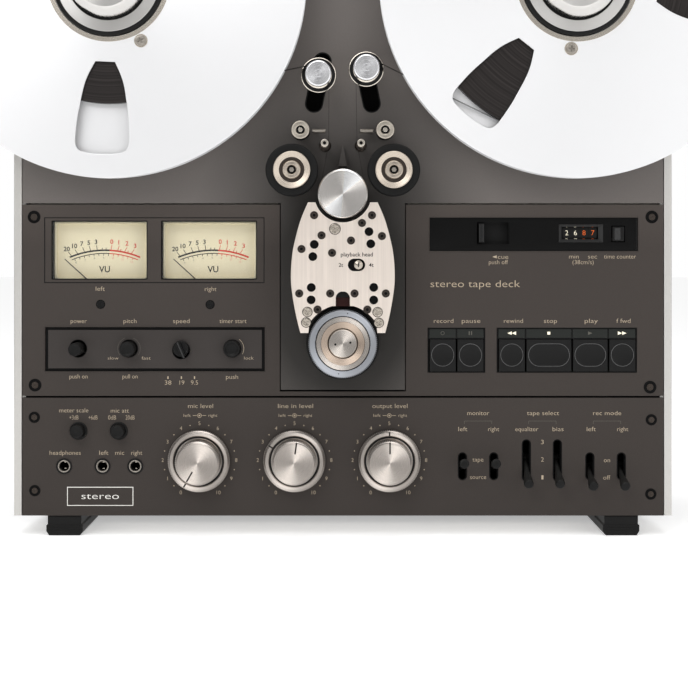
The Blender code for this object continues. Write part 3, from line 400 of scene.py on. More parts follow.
class Piece:
    """Gathers closed shapes, each with its finish, and makes them one object at the origin."""

    def __init__(self, name):
        self.name = name
        self.shape = bmesh.new()
        self.finishes = []

    def add(self, finish, *meshes):
        if finish not in self.finishes:
            self.finishes.append(finish)
        for mesh in meshes:
            start = len(self.shape.faces)
            self.shape.from_mesh(mesh)
            self.shape.faces.ensure_lookup_table()
            for face in self.shape.faces[start:]:
                face.material_index = self.finishes.index(finish)
            bpy.data.meshes.remove(mesh)

    def make(self, body=None, nodes=(), blend=None, sharp=32.0):
        """Shades the piece, gives it its finishes and ties it to its body; a piece given a blend is left
        untied in place.
        """
        mesh = bpy.data.meshes.new(self.name)
        self.shape.to_mesh(mesh)
        self.shape.free()
        for finish in self.finishes:
            mesh.materials.append(finish_of(finish))
        mesh.shade_smooth()
        mesh.set_sharp_from_angle(angle=math.radians(sharp))
        obj = bpy.data.objects.new(self.name, mesh)
        bpy.context.scene.collection.objects.link(obj)
        evening = obj.modifiers.new("Even shading", "WEIGHTED_NORMAL")
        evening.keep_sharp = True
        evening.weight = 100
        bpy.context.view_layer.update()
        graph = bpy.context.evaluated_depsgraph_get()
        final = bpy.data.meshes.new_from_object(obj.evaluated_get(graph))
        obj.modifiers.clear()
        obj.data = final
        bpy.data.meshes.remove(mesh)
        final.name = self.name
        if blend:
            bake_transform(obj)
        else:
            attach(obj, body)
        if nodes:
            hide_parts(*nodes)
        return obj


# ---------------------------------------------------------------- repeated shapes


def new_tree(name, sockets):
    """An empty Geometry Nodes tree with its input and output nodes."""
    tree = bpy.data.node_groups.new(name, "GeometryNodeTree")
    tree.interface.new_socket("Geometry", in_out="INPUT", socket_type="NodeSocketGeometry")
    for label, kind, default in sockets:
        socket = tree.interface.new_socket(label, in_out="INPUT", socket_type=kind)
        if default is not None:
            socket.default_value = default
    tree.interface.new_socket("Geometry", in_out="OUTPUT", socket_type="NodeSocketGeometry")
    return tree, tree.nodes.new("NodeGroupInput"), tree.nodes.new("NodeGroupOutput")


def node_of(tree, kind, inputs=None, **settings):
    """Adds a node, sets its properties, and fills or links its inputs by name or number."""
    made = tree.nodes.new(kind)
    for key, value in settings.items():
        setattr(made, key, value)
    for key, value in (inputs or {}).items():
        if isinstance(value, bpy.types.NodeSocket):
            tree.links.new(value, made.inputs[key])
        else:
            made.inputs[key].default_value = value
    return made


def sum_of(tree, operation, first, second=0.0):
    return node_of(tree, "ShaderNodeMath", {0: first, 1: second}, operation=operation).outputs[0]


def finish_copies(tree, points, rotation, scale, start, end):
    """Ends a tree: the shape on every point, made real, with its finish."""
    shape = node_of(tree, "GeometryNodeObjectInfo", {"Object": start.outputs["Shape"]})
    placed = node_of(
        tree,
        "GeometryNodeInstanceOnPoints",
        {"Points": points, "Instance": shape.outputs["Geometry"], "Rotation": rotation, "Scale": scale},
    )
    real = node_of(tree, "GeometryNodeRealizeInstances", {"Geometry": placed.outputs["Instances"]})
    coat = node_of(
        tree, "GeometryNodeSetMaterial", {"Geometry": real.outputs[0], "Material": start.outputs["Finish"]}
    )
    tree.links.new(coat.outputs[0], end.inputs["Geometry"])


def scatter_tree():
    """The shape on each point of the host mesh, each turned by its own angle."""
    sockets = [("Shape", "NodeSocketObject", None), ("Finish", "NodeSocketMaterial", None)]
    sockets += [("Size", "NodeSocketFloat", 1.0), ("Spread", "NodeSocketFloat", 0.0),
        ("Seed", "NodeSocketInt", 7)]
    tree, start, end = new_tree("Copies on points", sockets)
    turn = node_of(tree, "FunctionNodeRandomValue", {"Seed": start.outputs["Seed"]}, data_type="FLOAT")
    tree.links.new(start.outputs["Spread"], turn.inputs[3])
    angles = node_of(tree, "ShaderNodeCombineXYZ", {"Y": turn.outputs[1]})
    rotation = node_of(tree, "FunctionNodeEulerToRotation", {0: angles.outputs[0]})
    size = node_of(tree, "ShaderNodeCombineXYZ", {key: start.outputs["Size"] for key in "XYZ"})
    points = node_of(tree, "GeometryNodeMeshToPoints", {"Mesh": start.outputs["Geometry"]})
    finish_copies(tree, points.outputs[0], rotation.outputs[0], size.outputs[0], start, end)


def ring_tree():
    """The shape round a circle, facing outwards."""
    sockets = [("Shape", "NodeSocketObject", None), ("Finish", "NodeSocketMaterial", None)]
    sockets += [("Count", "NodeSocketInt", 12), ("Radius", "NodeSocketFloat", 0.01)]
    sockets += [("First angle", "NodeSocketFloat", 0.0), ("Step", "NodeSocketFloat", 0.5)]
    sockets += [("Centre", "NodeSocketVector", None)]
    tree, start, end = new_tree("Copies in a ring", sockets)
    index = node_of(tree, "GeometryNodeInputIndex").outputs[0]
    along = sum_of(tree, "MULTIPLY", index, start.outputs["Step"])
    angle = sum_of(tree, "ADD", along, start.outputs["First angle"])
    across = sum_of(tree, "MULTIPLY", sum_of(tree, "COSINE", angle), start.outputs["Radius"])
    rise = sum_of(tree, "MULTIPLY", sum_of(tree, "SINE", angle), start.outputs["Radius"])
    offset = node_of(tree, "ShaderNodeCombineXYZ", {"X": across, "Z": rise}).outputs[0]
    place = node_of(
        tree, "ShaderNodeVectorMath", {0: offset, 1: start.outputs["Centre"]}, operation="ADD"
    ).outputs[0]
    points = node_of(tree, "GeometryNodePoints", {"Count": start.outputs["Count"], "Position": place})
    turn = node_of(tree, "ShaderNodeCombineXYZ", {"Y": sum_of(tree, "MULTIPLY", angle, -1.0)})
    keep = node_of(tree, "GeometryNodeStoreNamedAttribute", {"Geometry": points.outputs[0], "Name": "turn"})
    keep.data_type = "FLOAT_VECTOR"
    tree.links.new(turn.outputs[0], keep.inputs["Value"])
    read = node_of(tree, "GeometryNodeInputNamedAttribute", {"Name": "turn"}, data_type="FLOAT_VECTOR")
    rotation = node_of(tree, "FunctionNodeEulerToRotation", {0: read.outputs[0]})
    finish_copies(tree, keep.outputs[0], rotation.outputs[0], (1.0, 1.0, 1.0), start, end)


def row_tree():
    """The shape along a straight row."""
    sockets = [("Shape", "NodeSocketObject", None), ("Finish", "NodeSocketMaterial", None)]
    sockets += [("Count", "NodeSocketInt", 6), ("First", "NodeSocketVector", None),
        ("Step", "NodeSocketVector", None)]
    tree, start, end = new_tree("Copies in a row", sockets)
    line = node_of(tree, "GeometryNodeMeshLine", {"Count": start.outputs["Count"]})
    tree.links.new(start.outputs["First"], line.inputs["Start Location"])
    tree.links.new(start.outputs["Step"], line.inputs["Offset"])
    points = node_of(tree, "GeometryNodeMeshToPoints", {"Mesh": line.outputs[0]})
    finish_copies(tree, points.outputs[0], (0.0, 0.0, 0.0), (1.0, 1.0, 1.0), start, end)


def copies(tree, shape, finish, points=(), **values):
    """Runs a tree on a host mesh of points and returns the plain mesh. The shape is drawn at the origin."""
    host_mesh = bpy.data.meshes.new("points")
    host_mesh.from_pydata([tuple(point) for point in points], [], [])
    host = bpy.data.objects.new("host", host_mesh)
    pattern = bpy.data.objects.new("pattern", shape)
    for obj in (host, pattern):
        bpy.context.scene.collection.objects.link(obj)
    modifier = host.modifiers.new("Copies", "NODES")
    modifier.node_group = bpy.data.node_groups[tree]
    wanted = {"Shape": pattern, "Finish": finish_of(finish)}
    wanted.update({key.replace("_", " "): value for key, value in values.items()})
    for socket in modifier.node_group.interface.items_tree:
        if socket.in_out == "INPUT" and socket.name in wanted:
            modifier[socket.identifier] = wanted[socket.name]
    bpy.context.view_layer.update()
    graph = bpy.context.evaluated_depsgraph_get()
    mesh = bpy.data.meshes.new_from_object(host.evaluated_get(graph))
    for obj in (host, pattern):
        bpy.data.objects.remove(obj)
    bpy.data.meshes.remove(host_mesh)
    bpy.data.meshes.remove(shape)
    if not mesh.polygons:
        raise RuntimeError(f"the tree {tree} made no faces")
    return mesh


def at_origin(mesh):
    mesh.transform(Matrix.Translation((0, -FACE, 0)))
    return mesh


def joined(*meshes):
    """Several meshes as one."""
    shape = bmesh.new()
    for mesh in meshes:
        shape.from_mesh(mesh)
        bpy.data.meshes.remove(mesh)
    whole = bpy.data.meshes.new("joined")
    shape.to_mesh(whole)
    shape.free()
    return whole


def cross_screw(radius, dome=0.0005):
    """A screw head with a cross recess, drawn at the origin."""
    arm, half = radius * 0.56, radius * 0.13
    cross = [(half, half), (arm, half), (arm, -half), (half, -half), (half, -arm), (-half, -arm)]
    cross += [(-half, -half), (-arm, -half), (-arm, half), (-half, half), (-half, arm), (half, arm)]
    head = slab([circle(0, 0, radius, 28), cross], 0.0, dome + 0.0004, dome * 0.5)
    return at_origin(joined(head,
        turned([(0, 0.0001), (radius * 0.9, 0.0001), (radius * 0.9, -0.0006), (0, -0.0006)], steps=24)))


def hex_screw(radius, height=0.0006):
    """A cap screw with a hexagon socket, drawn at the origin."""
    socket = circle(0, 0, radius * 0.42, 6)
    head = slab([circle(0, 0, radius, 28), socket], 0.0, height, 0.00012)
    return at_origin(joined(head,
        turned([(0, 0.0001), (radius * 0.9, 0.0001), (radius * 0.9, -0.0005), (0, -0.0005)], steps=24)))


def slot_screw(radius, height=0.0006):
    slit = box_outline(-radius * 0.82, -radius * 0.14, radius * 0.82, radius * 0.14)
    head = slab([circle(0, 0, radius, 28), slit], 0.0, height, 0.0001)
    return at_origin(joined(head,
        turned([(0, 0.0001), (radius * 0.9, 0.0001), (radius * 0.9, -0.0004), (0, -0.0004)], steps=24)))


def screws_at(shape, finish, places, height, spread=3.0, seed=7):
    points = [(x, ahead(height), z) for x, z in places]
    return copies("Copies on points", shape, finish, points, Spread=spread, Seed=seed)


# ---------------------------------------------------------------- finishes


def new_effect(name, sockets, outputs):
    """An empty shader node group with named inputs and outputs."""
    group = bpy.data.node_groups.new(name, "ShaderNodeTree")
    for label, kind, default in sockets:
        socket = group.interface.new_socket(label, in_out="INPUT", socket_type="NodeSocket" + kind)
        if default is not None:
            socket.default_value = default
    for label, kind in outputs:
        group.interface.new_socket(label, in_out="OUTPUT", socket_type="NodeSocket" + kind)
    return group, group.nodes.new("NodeGroupInput").outputs, group.nodes.new("NodeGroupOutput").inputs


SURFACE_OUT = (("Colour", "Color"), ("Roughness", "Float"), ("Height", "Float"))


def noise(tree, vector, scale, detail=2.0, dimensions="3D"):
    made = node_of(tree, "ShaderNodeTexNoise", {"Detail": detail, "Roughness": 0.55},
        noise_dimensions=dimensions)
    for key, value in (("W" if dimensions == "1D" else "Vector", vector), ("Scale", scale)):
        if isinstance(value, bpy.types.NodeSocket):
            tree.links.new(value, made.inputs[key])
        else:
            made.inputs[key].default_value = value
    return made.outputs["Fac"]


def shaded(tree, colour, amount, share):
    """A colour made lighter or darker where a 0 to 1 amount leaves its middle."""
    swing = sum_of(tree, "MULTIPLY", sum_of(tree, "SUBTRACT", amount, 0.5), share)
    factor = sum_of(tree, "ADD", swing, 1.0)
    return node_of(tree, "ShaderNodeVectorMath", {0: colour, "Scale": factor}, operation="SCALE").outputs[0]


def varied(tree, roughness, amount, share):
    swing = sum_of(tree, "MULTIPLY", sum_of(tree, "SUBTRACT", amount, 0.5), share)
    return sum_of(tree, "ADD", roughness, swing)


def fine_grain_effect():
    """The fine even grain of sprayed paint and moulded plastic, with soft sheen and a little dust."""
    sockets = (("Vector", "Vector", None), ("Colour", "Color", None), ("Roughness", "Float", 0.5))
    sockets += (("Grain", "Float", 2600.0), ("Speckle", "Float", 0.2), ("Patches", "Float", 0.08))
    sockets += (("Dust", "Float", 0.04),)
    tree, start, end = new_effect("Fine grain", sockets, SURFACE_OUT)
    grain = noise(tree, start["Vector"], start["Grain"], 1.0)
    patch = noise(tree, start["Vector"], 14.0, 3.0)
    specks = noise(tree, start["Vector"], 900.0, 2.0)
    colour = shaded(tree, start["Colour"], grain, start["Speckle"])
    colour = shaded(tree, colour, patch, start["Patches"])
    up = node_of(tree, "ShaderNodeSeparateXYZ",
        {0: node_of(tree, "ShaderNodeNewGeometry").outputs["Normal"]})
    facing = sum_of(tree, "MAXIMUM", up.outputs["Z"], 0.15)
    settled = sum_of(tree, "MULTIPLY", sum_of(tree, "MULTIPLY", facing, specks), start["Dust"])
    dusty = node_of(
        tree, "ShaderNodeMix", {0: settled, 6: colour, 7: (0.55, 0.52, 0.48, 1.0)}, data_type="RGBA"
    ).outputs[2]
    tree.links.new(dusty, end["Colour"])
    tree.links.new(varied(tree, varied(tree, start["Roughness"], patch, 0.10), specks, 0.08),
        end["Roughness"])
    tree.links.new(grain, end["Height"])


def brushed_effect():
    """Straight brushed lines. Stretch is small along the lines and large across them."""
    sockets = (("Vector", "Vector", None), ("Colour", "Color", None), ("Roughness", "Float", 0.35))
    sockets += (("Stretch", "Vector", (1.0, 1.0, 1.0)), ("Contrast", "Float", 0.2))
    tree, start, end = new_effect("Brushed lines", sockets, SURFACE_OUT)
    lines = node_of(
        tree, "ShaderNodeVectorMath", {0: start["Vector"], 1: start["Stretch"]}, operation="MULTIPLY"
    ).outputs[0]
    fine = noise(tree, lines, 1.0, 3.0)
    broad = noise(tree, lines, 0.23, 2.0)
    colour = shaded(tree, shaded(tree, start["Colour"], fine, start["Contrast"]), broad, start["Contrast"])
    tree.links.new(colour, end["Colour"])
    tree.links.new(varied(tree, start["Roughness"], fine, 0.22), end["Roughness"])
    tree.links.new(fine, end["Height"])


def spun_effect():
    """Fine rings left by a lathe, with fans of painted highlight and painted shade about the axis."""
    sockets = (("Vector", "Vector", None), ("Colour", "Color", None), ("Roughness", "Float", 0.3))
    sockets += (("Rings", "Float", 6000.0), ("Contrast", "Float", 0.15), ("Highlight fans", "Float", 0.0))
    sockets += (("Fan angle", "Float", 0.0),)
    tree, start, end = new_effect("Spun rings", sockets, SURFACE_OUT)
    parts = node_of(tree, "ShaderNodeSeparateXYZ", {0: start["Vector"]}).outputs
    flat = node_of(tree, "ShaderNodeCombineXYZ", {"X": parts["X"], "Y": parts["Z"]}).outputs[0]
    radius = node_of(tree, "ShaderNodeVectorMath", {0: flat}, operation="LENGTH").outputs["Value"]
    rings = noise(tree, radius, start["Rings"], 3.0, "1D")
    angle = sum_of(tree, "ARCTAN2", parts["Z"], parts["X"])
    turn = sum_of(tree, "SUBTRACT", angle, start["Fan angle"])
    # Painted highlight and shade: the colour brightens and darkens in fans round the axis.
    fans = sum_of(tree, "MULTIPLY_ADD", sum_of(tree, "COSINE", sum_of(tree, "MULTIPLY", turn, 2.0)), 0.5)
    tree.nodes[-1].inputs[2].default_value = 0.5
    fans = sum_of(tree, "POWER", fans, 3.0)
    colour = shaded(tree, start["Colour"], rings, start["Contrast"])
    colour = shaded(tree, colour, fans, start["Highlight fans"])
    tree.links.new(colour, end["Colour"])
    tree.links.new(varied(tree, start["Roughness"], rings, 0.16), end["Roughness"])
    tree.links.new(rings, end["Height"])


def wound_effect():
    """The edges of wound tape: hundreds of turns, a few of which stand proud in soft wavy bands."""
    sockets = (("Vector", "Vector", None), ("Colour", "Color", None), ("Roughness", "Float", 0.35))
    sockets += (("Turns", "Float", 9000.0), ("Bands", "Float", 2.0))
    tree, start, end = new_effect("Wound tape", sockets, SURFACE_OUT)
    parts = node_of(tree, "ShaderNodeSeparateXYZ", {0: start["Vector"]}).outputs
    flat = node_of(tree, "ShaderNodeCombineXYZ", {"X": parts["X"], "Y": parts["Z"]}).outputs[0]
    radius = node_of(tree, "ShaderNodeVectorMath", {0: flat}, operation="LENGTH").outputs["Value"]
    drift = sum_of(tree, "MULTIPLY", noise(tree, start["Vector"], 18.0, 2.0), 0.002)
    wavy = sum_of(tree, "ADD", radius, drift)
    turns = noise(tree, wavy, start["Turns"], 2.0, "1D")
    bands = sum_of(tree, "POWER", noise(tree, wavy, 620.0, 3.0, "1D"), 3.0)
    colour = shaded(tree, start["Colour"], turns, 0.7)
    lit = sum_of(tree, "MULTIPLY_ADD", bands, start["Bands"])
    tree.nodes[-1].inputs[2].default_value = 0.75
    colour = node_of(tree, "ShaderNodeVectorMath", {0: colour, "Scale": lit}, operation="SCALE").outputs[0]
    tree.links.new(colour, end["Colour"])
    tree.links.new(varied(tree, start["Roughness"], turns, 0.25), end["Roughness"])
    tree.links.new(turns, end["Height"])


def surface(name, effect, colour, roughness, values=None, metallic=0.0, bump=0.1, centre=None, radial=0.0,
    **shader):
    """A material: one effect group feeds the shader's colour, roughness and bump."""
    material = bpy.data.materials.new(name + "_finish")
    material.use_nodes = True
    tree = material.node_tree
    principled = tree.nodes["Principled BSDF"]
    vector = node_of(tree, "ShaderNodeTexCoord").outputs["Object"]
    if centre:
        move = node_of(tree, "ShaderNodeMapping", {"Vector": vector})
        move.inputs["Location"].default_value = (-centre[0], 0.0, -centre[1])
        vector = move.outputs[0]
    group = node_of(tree, "ShaderNodeGroup", node_tree=bpy.data.node_groups[effect])
    tree.links.new(vector, group.inputs["Vector"])
    group.inputs["Colour"].default_value = (*colour, 1.0)
    group.inputs["Roughness"].default_value = roughness
    for key, value in (values or {}).items():
        group.inputs[key].default_value = value
    raised = node_of(tree, "ShaderNodeBump",
        {"Strength": bump, "Distance": 0.0002, "Height": group.outputs["Height"]})
    tree.links.new(group.outputs["Colour"], principled.inputs["Base Color"])
    tree.links.new(group.outputs["Roughness"], principled.inputs["Roughness"])
    tree.links.new(raised.outputs[0], principled.inputs["Normal"])
    principled.inputs["Metallic"].default_value = metallic
    principled.inputs["Specular IOR Level"].default_value = 0.5 if metallic > 0.5 else 0.12
    if radial:
        lathe = node_of(tree, "ShaderNodeTangent", direction_type="RADIAL", axis="Y")
        tree.links.new(lathe.outputs[0], principled.inputs["Tangent"])
        principled.inputs["Anisotropic"].default_value = radial
    for key, value in shader.items():
        principled.inputs[key.replace("_", " ")].default_value = value
    return material


# The fans value paints fans of highlight and shade into the colour.
def spun(name, colour, roughness, centre, rings=6000.0, contrast=0.14, radial=0.75, fans=0.0, **more):
    values = {"Rings": rings, "Contrast": contrast, "Highlight fans": fans, "Fan angle": math.radians(62.0)}
    return surface(name, "Spun rings", colour, roughness, values, 1.0, 0.06, centre, radial, **more)


def glow(name, colour, strength):
    """A mark that glows: the key marks are lamps lit from behind, while on the counter's white figures the
    glow is painted light.
    """
    made = surface(name, "Fine grain", colour, 0.4, {"Speckle": 0.1}, bump=0.02)
    shader = made.node_tree.nodes["Principled BSDF"]
    shader.inputs["Emission Color"].default_value = (*colour, 1.0)
    shader.inputs["Emission Strength"].default_value = strength


class DECK_OT_finishes(bpy.types.Operator):
    """Builds the shared effects and every finish"""

    bl_idname = "deck.finishes"
    bl_label = "Finishes"

    def execute(self, context):
        colours = context.scene.deck_colours
        fine_grain_effect()
        brushed_effect()
        spun_effect()
        wound_effect()
        scatter_tree()
        ring_tree()
        row_tree()
        self.painted(colours)
        self.metals(colours)
        self.prints(colours)
        return {"FINISHED"}

    def painted(self, colours):
        deck = surface("deck_paint", "Fine grain", colours.deck, 0.42, {"Speckle": 0.22}, bump=0.12)
        self.darken_centre(deck, colours)
        panel = surface("panel_paint", "Fine grain", colours.panel, 0.50, {"Speckle": 0.26}, bump=0.14)
        self.grade_panel(panel, colours)
        surface("recess_paint", "Fine grain", colours.recess, 0.52, {"Speckle": 0.24}, bump=0.12)
        # Near black: real dark joints, and painted shade in holes, bores, gaps and behind openings.
        surface("dark_joint_and_shade", "Fine grain", tone(9, 9, 9), 0.75, {"Speckle": 0.2, "Dust": 0.0}, bump=0.05)
        surface("satin_black", "Fine grain", colours.black, 0.38, {"Speckle": 0.15}, bump=0.05)
        surface("matte_black", "Fine grain", tone(24, 24, 24), 0.62, {"Speckle": 0.25}, bump=0.12)
        surface("gloss_black", "Fine grain", tone(13, 13, 13), 0.14,
            {"Grain": 300.0, "Speckle": 0.1, "Dust": 0.02}, bump=0.01)
        surface("key_black", "Fine grain", colours.keys, 0.36, {"Speckle": 0.15, "Dust": 0.02}, bump=0.05)
        surface("key_strip", "Fine grain", tone(37, 39, 37), 0.22, {"Speckle": 0.1, "Dust": 0.01},
            bump=0.02)
        surface("foot_black", "Fine grain", tone(20, 20, 20), 0.48, {"Speckle": 0.2, "Dust": 0.06},
            bump=0.15)
        surface("roller_rubber", "Fine grain", tone(22, 22, 22), 0.78, {"Grain": 1800.0, "Speckle": 0.3},
            bump=0.2)
        surface("cover_steel", "Fine grain", tone(34, 34, 35), 0.52,
            {"Grain": 1400.0, "Speckle": 0.3, "Dust": 0.08}, bump=0.3)
        surface("tape_band", "Fine grain", tone(26, 24, 23), 0.22, {"Speckle": 0.1, "Dust": 0.0}, bump=0.02)
        surface("jack_plastic", "Fine grain", tone(20, 20, 20), 0.45, {"Speckle": 0.2}, bump=0.06)
        surface("socket_red", "Fine grain", tone(150, 24, 20), 0.4, {"Speckle": 0.15}, bump=0.05)
        surface("socket_white", "Fine grain", tone(214, 210, 200), 0.4, {"Speckle": 0.15}, bump=0.05)
        surface("notch_red", "Fine grain", tone(40, 13, 11), 0.5, {"Speckle": 0.2}, bump=0.05)

    def darken_centre(self, material, colours):
        """Mixes the darker centre colour in round the head cover, fading to the deck paint towards the reels:
        partly a darker paint on the centre, partly painted shade round the cover and its rollers.
        """
        tree = material.node_tree
        group = next(node for node in tree.nodes if node.type == "GROUP")
        place = node_of(tree, "ShaderNodeTexCoord").outputs["Object"]
        low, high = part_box("head_cover")
        centre = (0.0, 0.0, low.z + 0.3 * (high.z - low.z))
        gap = node_of(tree, "ShaderNodeVectorMath", {0: place, 1: centre}, operation="SUBTRACT").outputs[0]
        flat = node_of(tree, "ShaderNodeVectorMath", {0: gap, 1: (1.4, 0.0, 1.0)},
            operation="MULTIPLY").outputs[0]
        reach = node_of(tree, "ShaderNodeVectorMath", {0: flat}, operation="LENGTH").outputs["Value"]
        share = node_of(tree, "ShaderNodeMapRange",
            {0: reach, 1: 0.066, 2: 0.158, 3: 0.0, 4: 1.0}).outputs[0]
        mixed = node_of(
            tree, "ShaderNodeMix", {0: share, 6: (*colours.tongue, 1.0), 7: (*colours.deck, 1.0)},
            data_type="RGBA"
        )
        tree.links.new(mixed.outputs[2], group.inputs["Colour"])

    def grade_panel(self, material, colours):
        """Painted light: the paint is made lighter towards the top, and lighter still near the top edge,
        where the light from above falls.
        """
        tree = material.node_tree
        group = next(node for node in tree.nodes if node.type == "GROUP")
        place = node_of(tree, "ShaderNodeTexCoord").outputs["Object"]
        height = node_of(tree, "ShaderNodeSeparateXYZ", {0: place}).outputs["Z"]
        low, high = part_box("lower_panel")[0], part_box("control_panel")[1]
        share = node_of(tree, "ShaderNodeMapRange",
            {0: height, 1: low.z, 2: high.z, 3: 0.0, 4: 1.0}).outputs[0]
        upper = tuple(value * 1.3 for value in colours.panel)
        mixed = node_of(
            tree, "ShaderNodeMix", {0: share, 6: (*colours.panel, 1.0), 7: (*upper, 1.0)}, data_type="RGBA"
        )
        # Painted light near the top edge.
        top = node_of(tree, "ShaderNodeMapRange",
            {0: height, 1: high.z - 0.03, 2: high.z, 3: 1.0, 4: 1.35}).outputs[0]
        lit = node_of(tree, "ShaderNodeVectorMath", {0: mixed.outputs[2], "Scale": top},
            operation="SCALE").outputs[0]
        tree.links.new(lit, group.inputs["Colour"])

    def metals(self, colours):
        upright = {"Stretch": (1500.0, 1500.0, 20.0), "Contrast": 0.20}
        level = {"Stretch": (60.0, 4000.0, 4000.0), "Contrast": 0.12}
        surface("head_cover", "Brushed lines", colours.cover, 0.40, upright, 1.0, 0.05, Anisotropic=0.5)
        surface("cast_frame", "Fine grain", tone(196, 194, 190), 0.36, {"Grain": 1500.0, "Speckle": 0.1},
            0.9, 0.1)
        surface("zinc_steel", "Brushed lines", tone(184, 180, 170), 0.42, level, 0.9, 0.08)
        surface("screw_dark", "Fine grain", tone(60, 53, 48), 0.40, {"Grain": 3000.0, "Speckle": 0.3}, 0.8,
            0.1)
        surface("screw_bright", "Fine grain", tone(172, 164, 153), 0.26, {"Grain": 3000.0, "Speckle": 0.1},
            1.0, 0.04)
        surface("screw_black", "Fine grain", tone(30, 29, 29), 0.36, {"Grain": 3000.0, "Speckle": 0.2}, 0.3,
            0.06)
        surface("nickel", "Fine grain", tone(214, 206, 194), 0.22,
            {"Grain": 3000.0, "Speckle": 0.06, "Dust": 0.0}, 1.0, 0.03)
        surface("small_metal", "Fine grain", tone(150, 144, 136), 0.34, {"Grain": 3000.0, "Speckle": 0.1},
            0.9, 0.04)
        for name, _ in SIDES:
            reel, table = middle(f"{name}_reel"), middle(f"{name}_turntable")
            spun(f"{name}_reel_metal", colours.reel, 0.46, reel, 2600.0, 0.03, 0.35)
            spun(f"{name}_hub_metal", tone(205, 203, 200), 0.32, table, 4000.0)
            wound = {"Turns": 9000.0, "Bands": 3.2}
            surface(f"{name}_tape_edges", "Wound tape", tone(34, 31, 30), 0.42, wound, bump=0.25,
                centre=reel)
            spun(f"{name}_tension_metal", tone(222, 222, 224), 0.24, middle(f"{name}_tension_roller"),
                1500.0, 0.1, 0.8)
            spun(f"{name}_guide_metal", tone(186, 178, 166), 0.28, middle(f"{name}_guide_roller"), 1800.0,
                0.2)
            spun(f"{name}_pinch_metal", tone(184, 173, 160), 0.28, middle(f"{name}_pinch_roller"), 1600.0,
                0.22, 0.85)
        # The capstan and the large roller get painted highlight fans: the last number.
        spun("capstan_metal", tone(250, 245, 240), 0.22, middle("capstan"), 1500.0, 0.18, 0.9, 1.0)
        ring = middle("reversing_roller")
        spun("reversing_ring", tone(166, 169, 175), 0.30, ring, 1400.0, 0.14, 0.9, 0.5)
        spun("reversing_silver", tone(190, 183, 176), 0.26, ring, 1500.0, 0.2, 0.9, 0.9)
        spun("reversing_bronze", tone(168, 152, 138), 0.28, ring, 1500.0, 0.25, 0.85, 0.5)
        for name in ("mic", "line", "output"):
            centre = middle(f"{name}_inner_knob")
            # The knob faces get painted highlight fans: the last number.
            spun(f"{name}_knob_metal", colours.knob, 0.26, centre, 1700.0, 0.26, 0.9, 0.75)
            spun(f"{name}_rim_metal", colours.knob, 0.34, centre, 5200.0, 0.12, 0.5)

    def prints(self, colours):
        flat = {"Speckle": 0.1, "Dust": 0.0, "Patches": 0.03}
        surface("words_beige", "Fine grain", colours.words, 0.5, flat, bump=0.0)
        surface("words_black", "Fine grain", tone(28, 26, 24), 0.5, flat, bump=0.0)
        surface("words_red", "Fine grain", tone(206, 62, 44), 0.5, flat, bump=0.0)
        surface("words_faint", "Fine grain", tone(92, 88, 82), 0.5, flat, bump=0.0)
        surface("words_orange", "Fine grain", tone(232, 106, 44), 0.5, flat, bump=0.0)
        surface("badge_white", "Fine grain", tone(232, 230, 224), 0.35, flat, bump=0.02)
        surface("dial_paper", "Fine grain", colours.dial, 0.6,
            {"Grain": 1600.0, "Speckle": 0.04, "Patches": 0.04, "Dust": 0.0}, bump=0.02)
        # A pale grey for the rims of the key pads: a painted highlight.
        surface("pad_rim_highlight", "Fine grain", tone(112, 112, 112), 0.4, {"Speckle": 0.15, "Dust": 0.0},
            bump=0.03)
        # A lighter grey on the ridges, ribs and sloped sides of black parts: a painted highlight.
        surface("ridge_highlight_grey", "Fine grain", tone(56, 56, 56), 0.4, {"Speckle": 0.15, "Dust": 0.0}, bump=0.03)
        # The white lamp finish also makes the counter's white figures glow: there the glow is painted light.
        glow("lamp_and_painted_glow_white", tone(240, 232, 208), 0.25)
        glow("lamp_dim", tone(88, 86, 80), 0.05)
        clear = surface("clear_lens", "Fine grain", tone(250, 250, 250), 0.04,
            {"Speckle": 0.0, "Dust": 0.0}, bump=0.0)
        clear.node_tree.nodes["Principled BSDF"].inputs["Alpha"].default_value = 0.02


# ---------------------------------------------------------------- cabinet


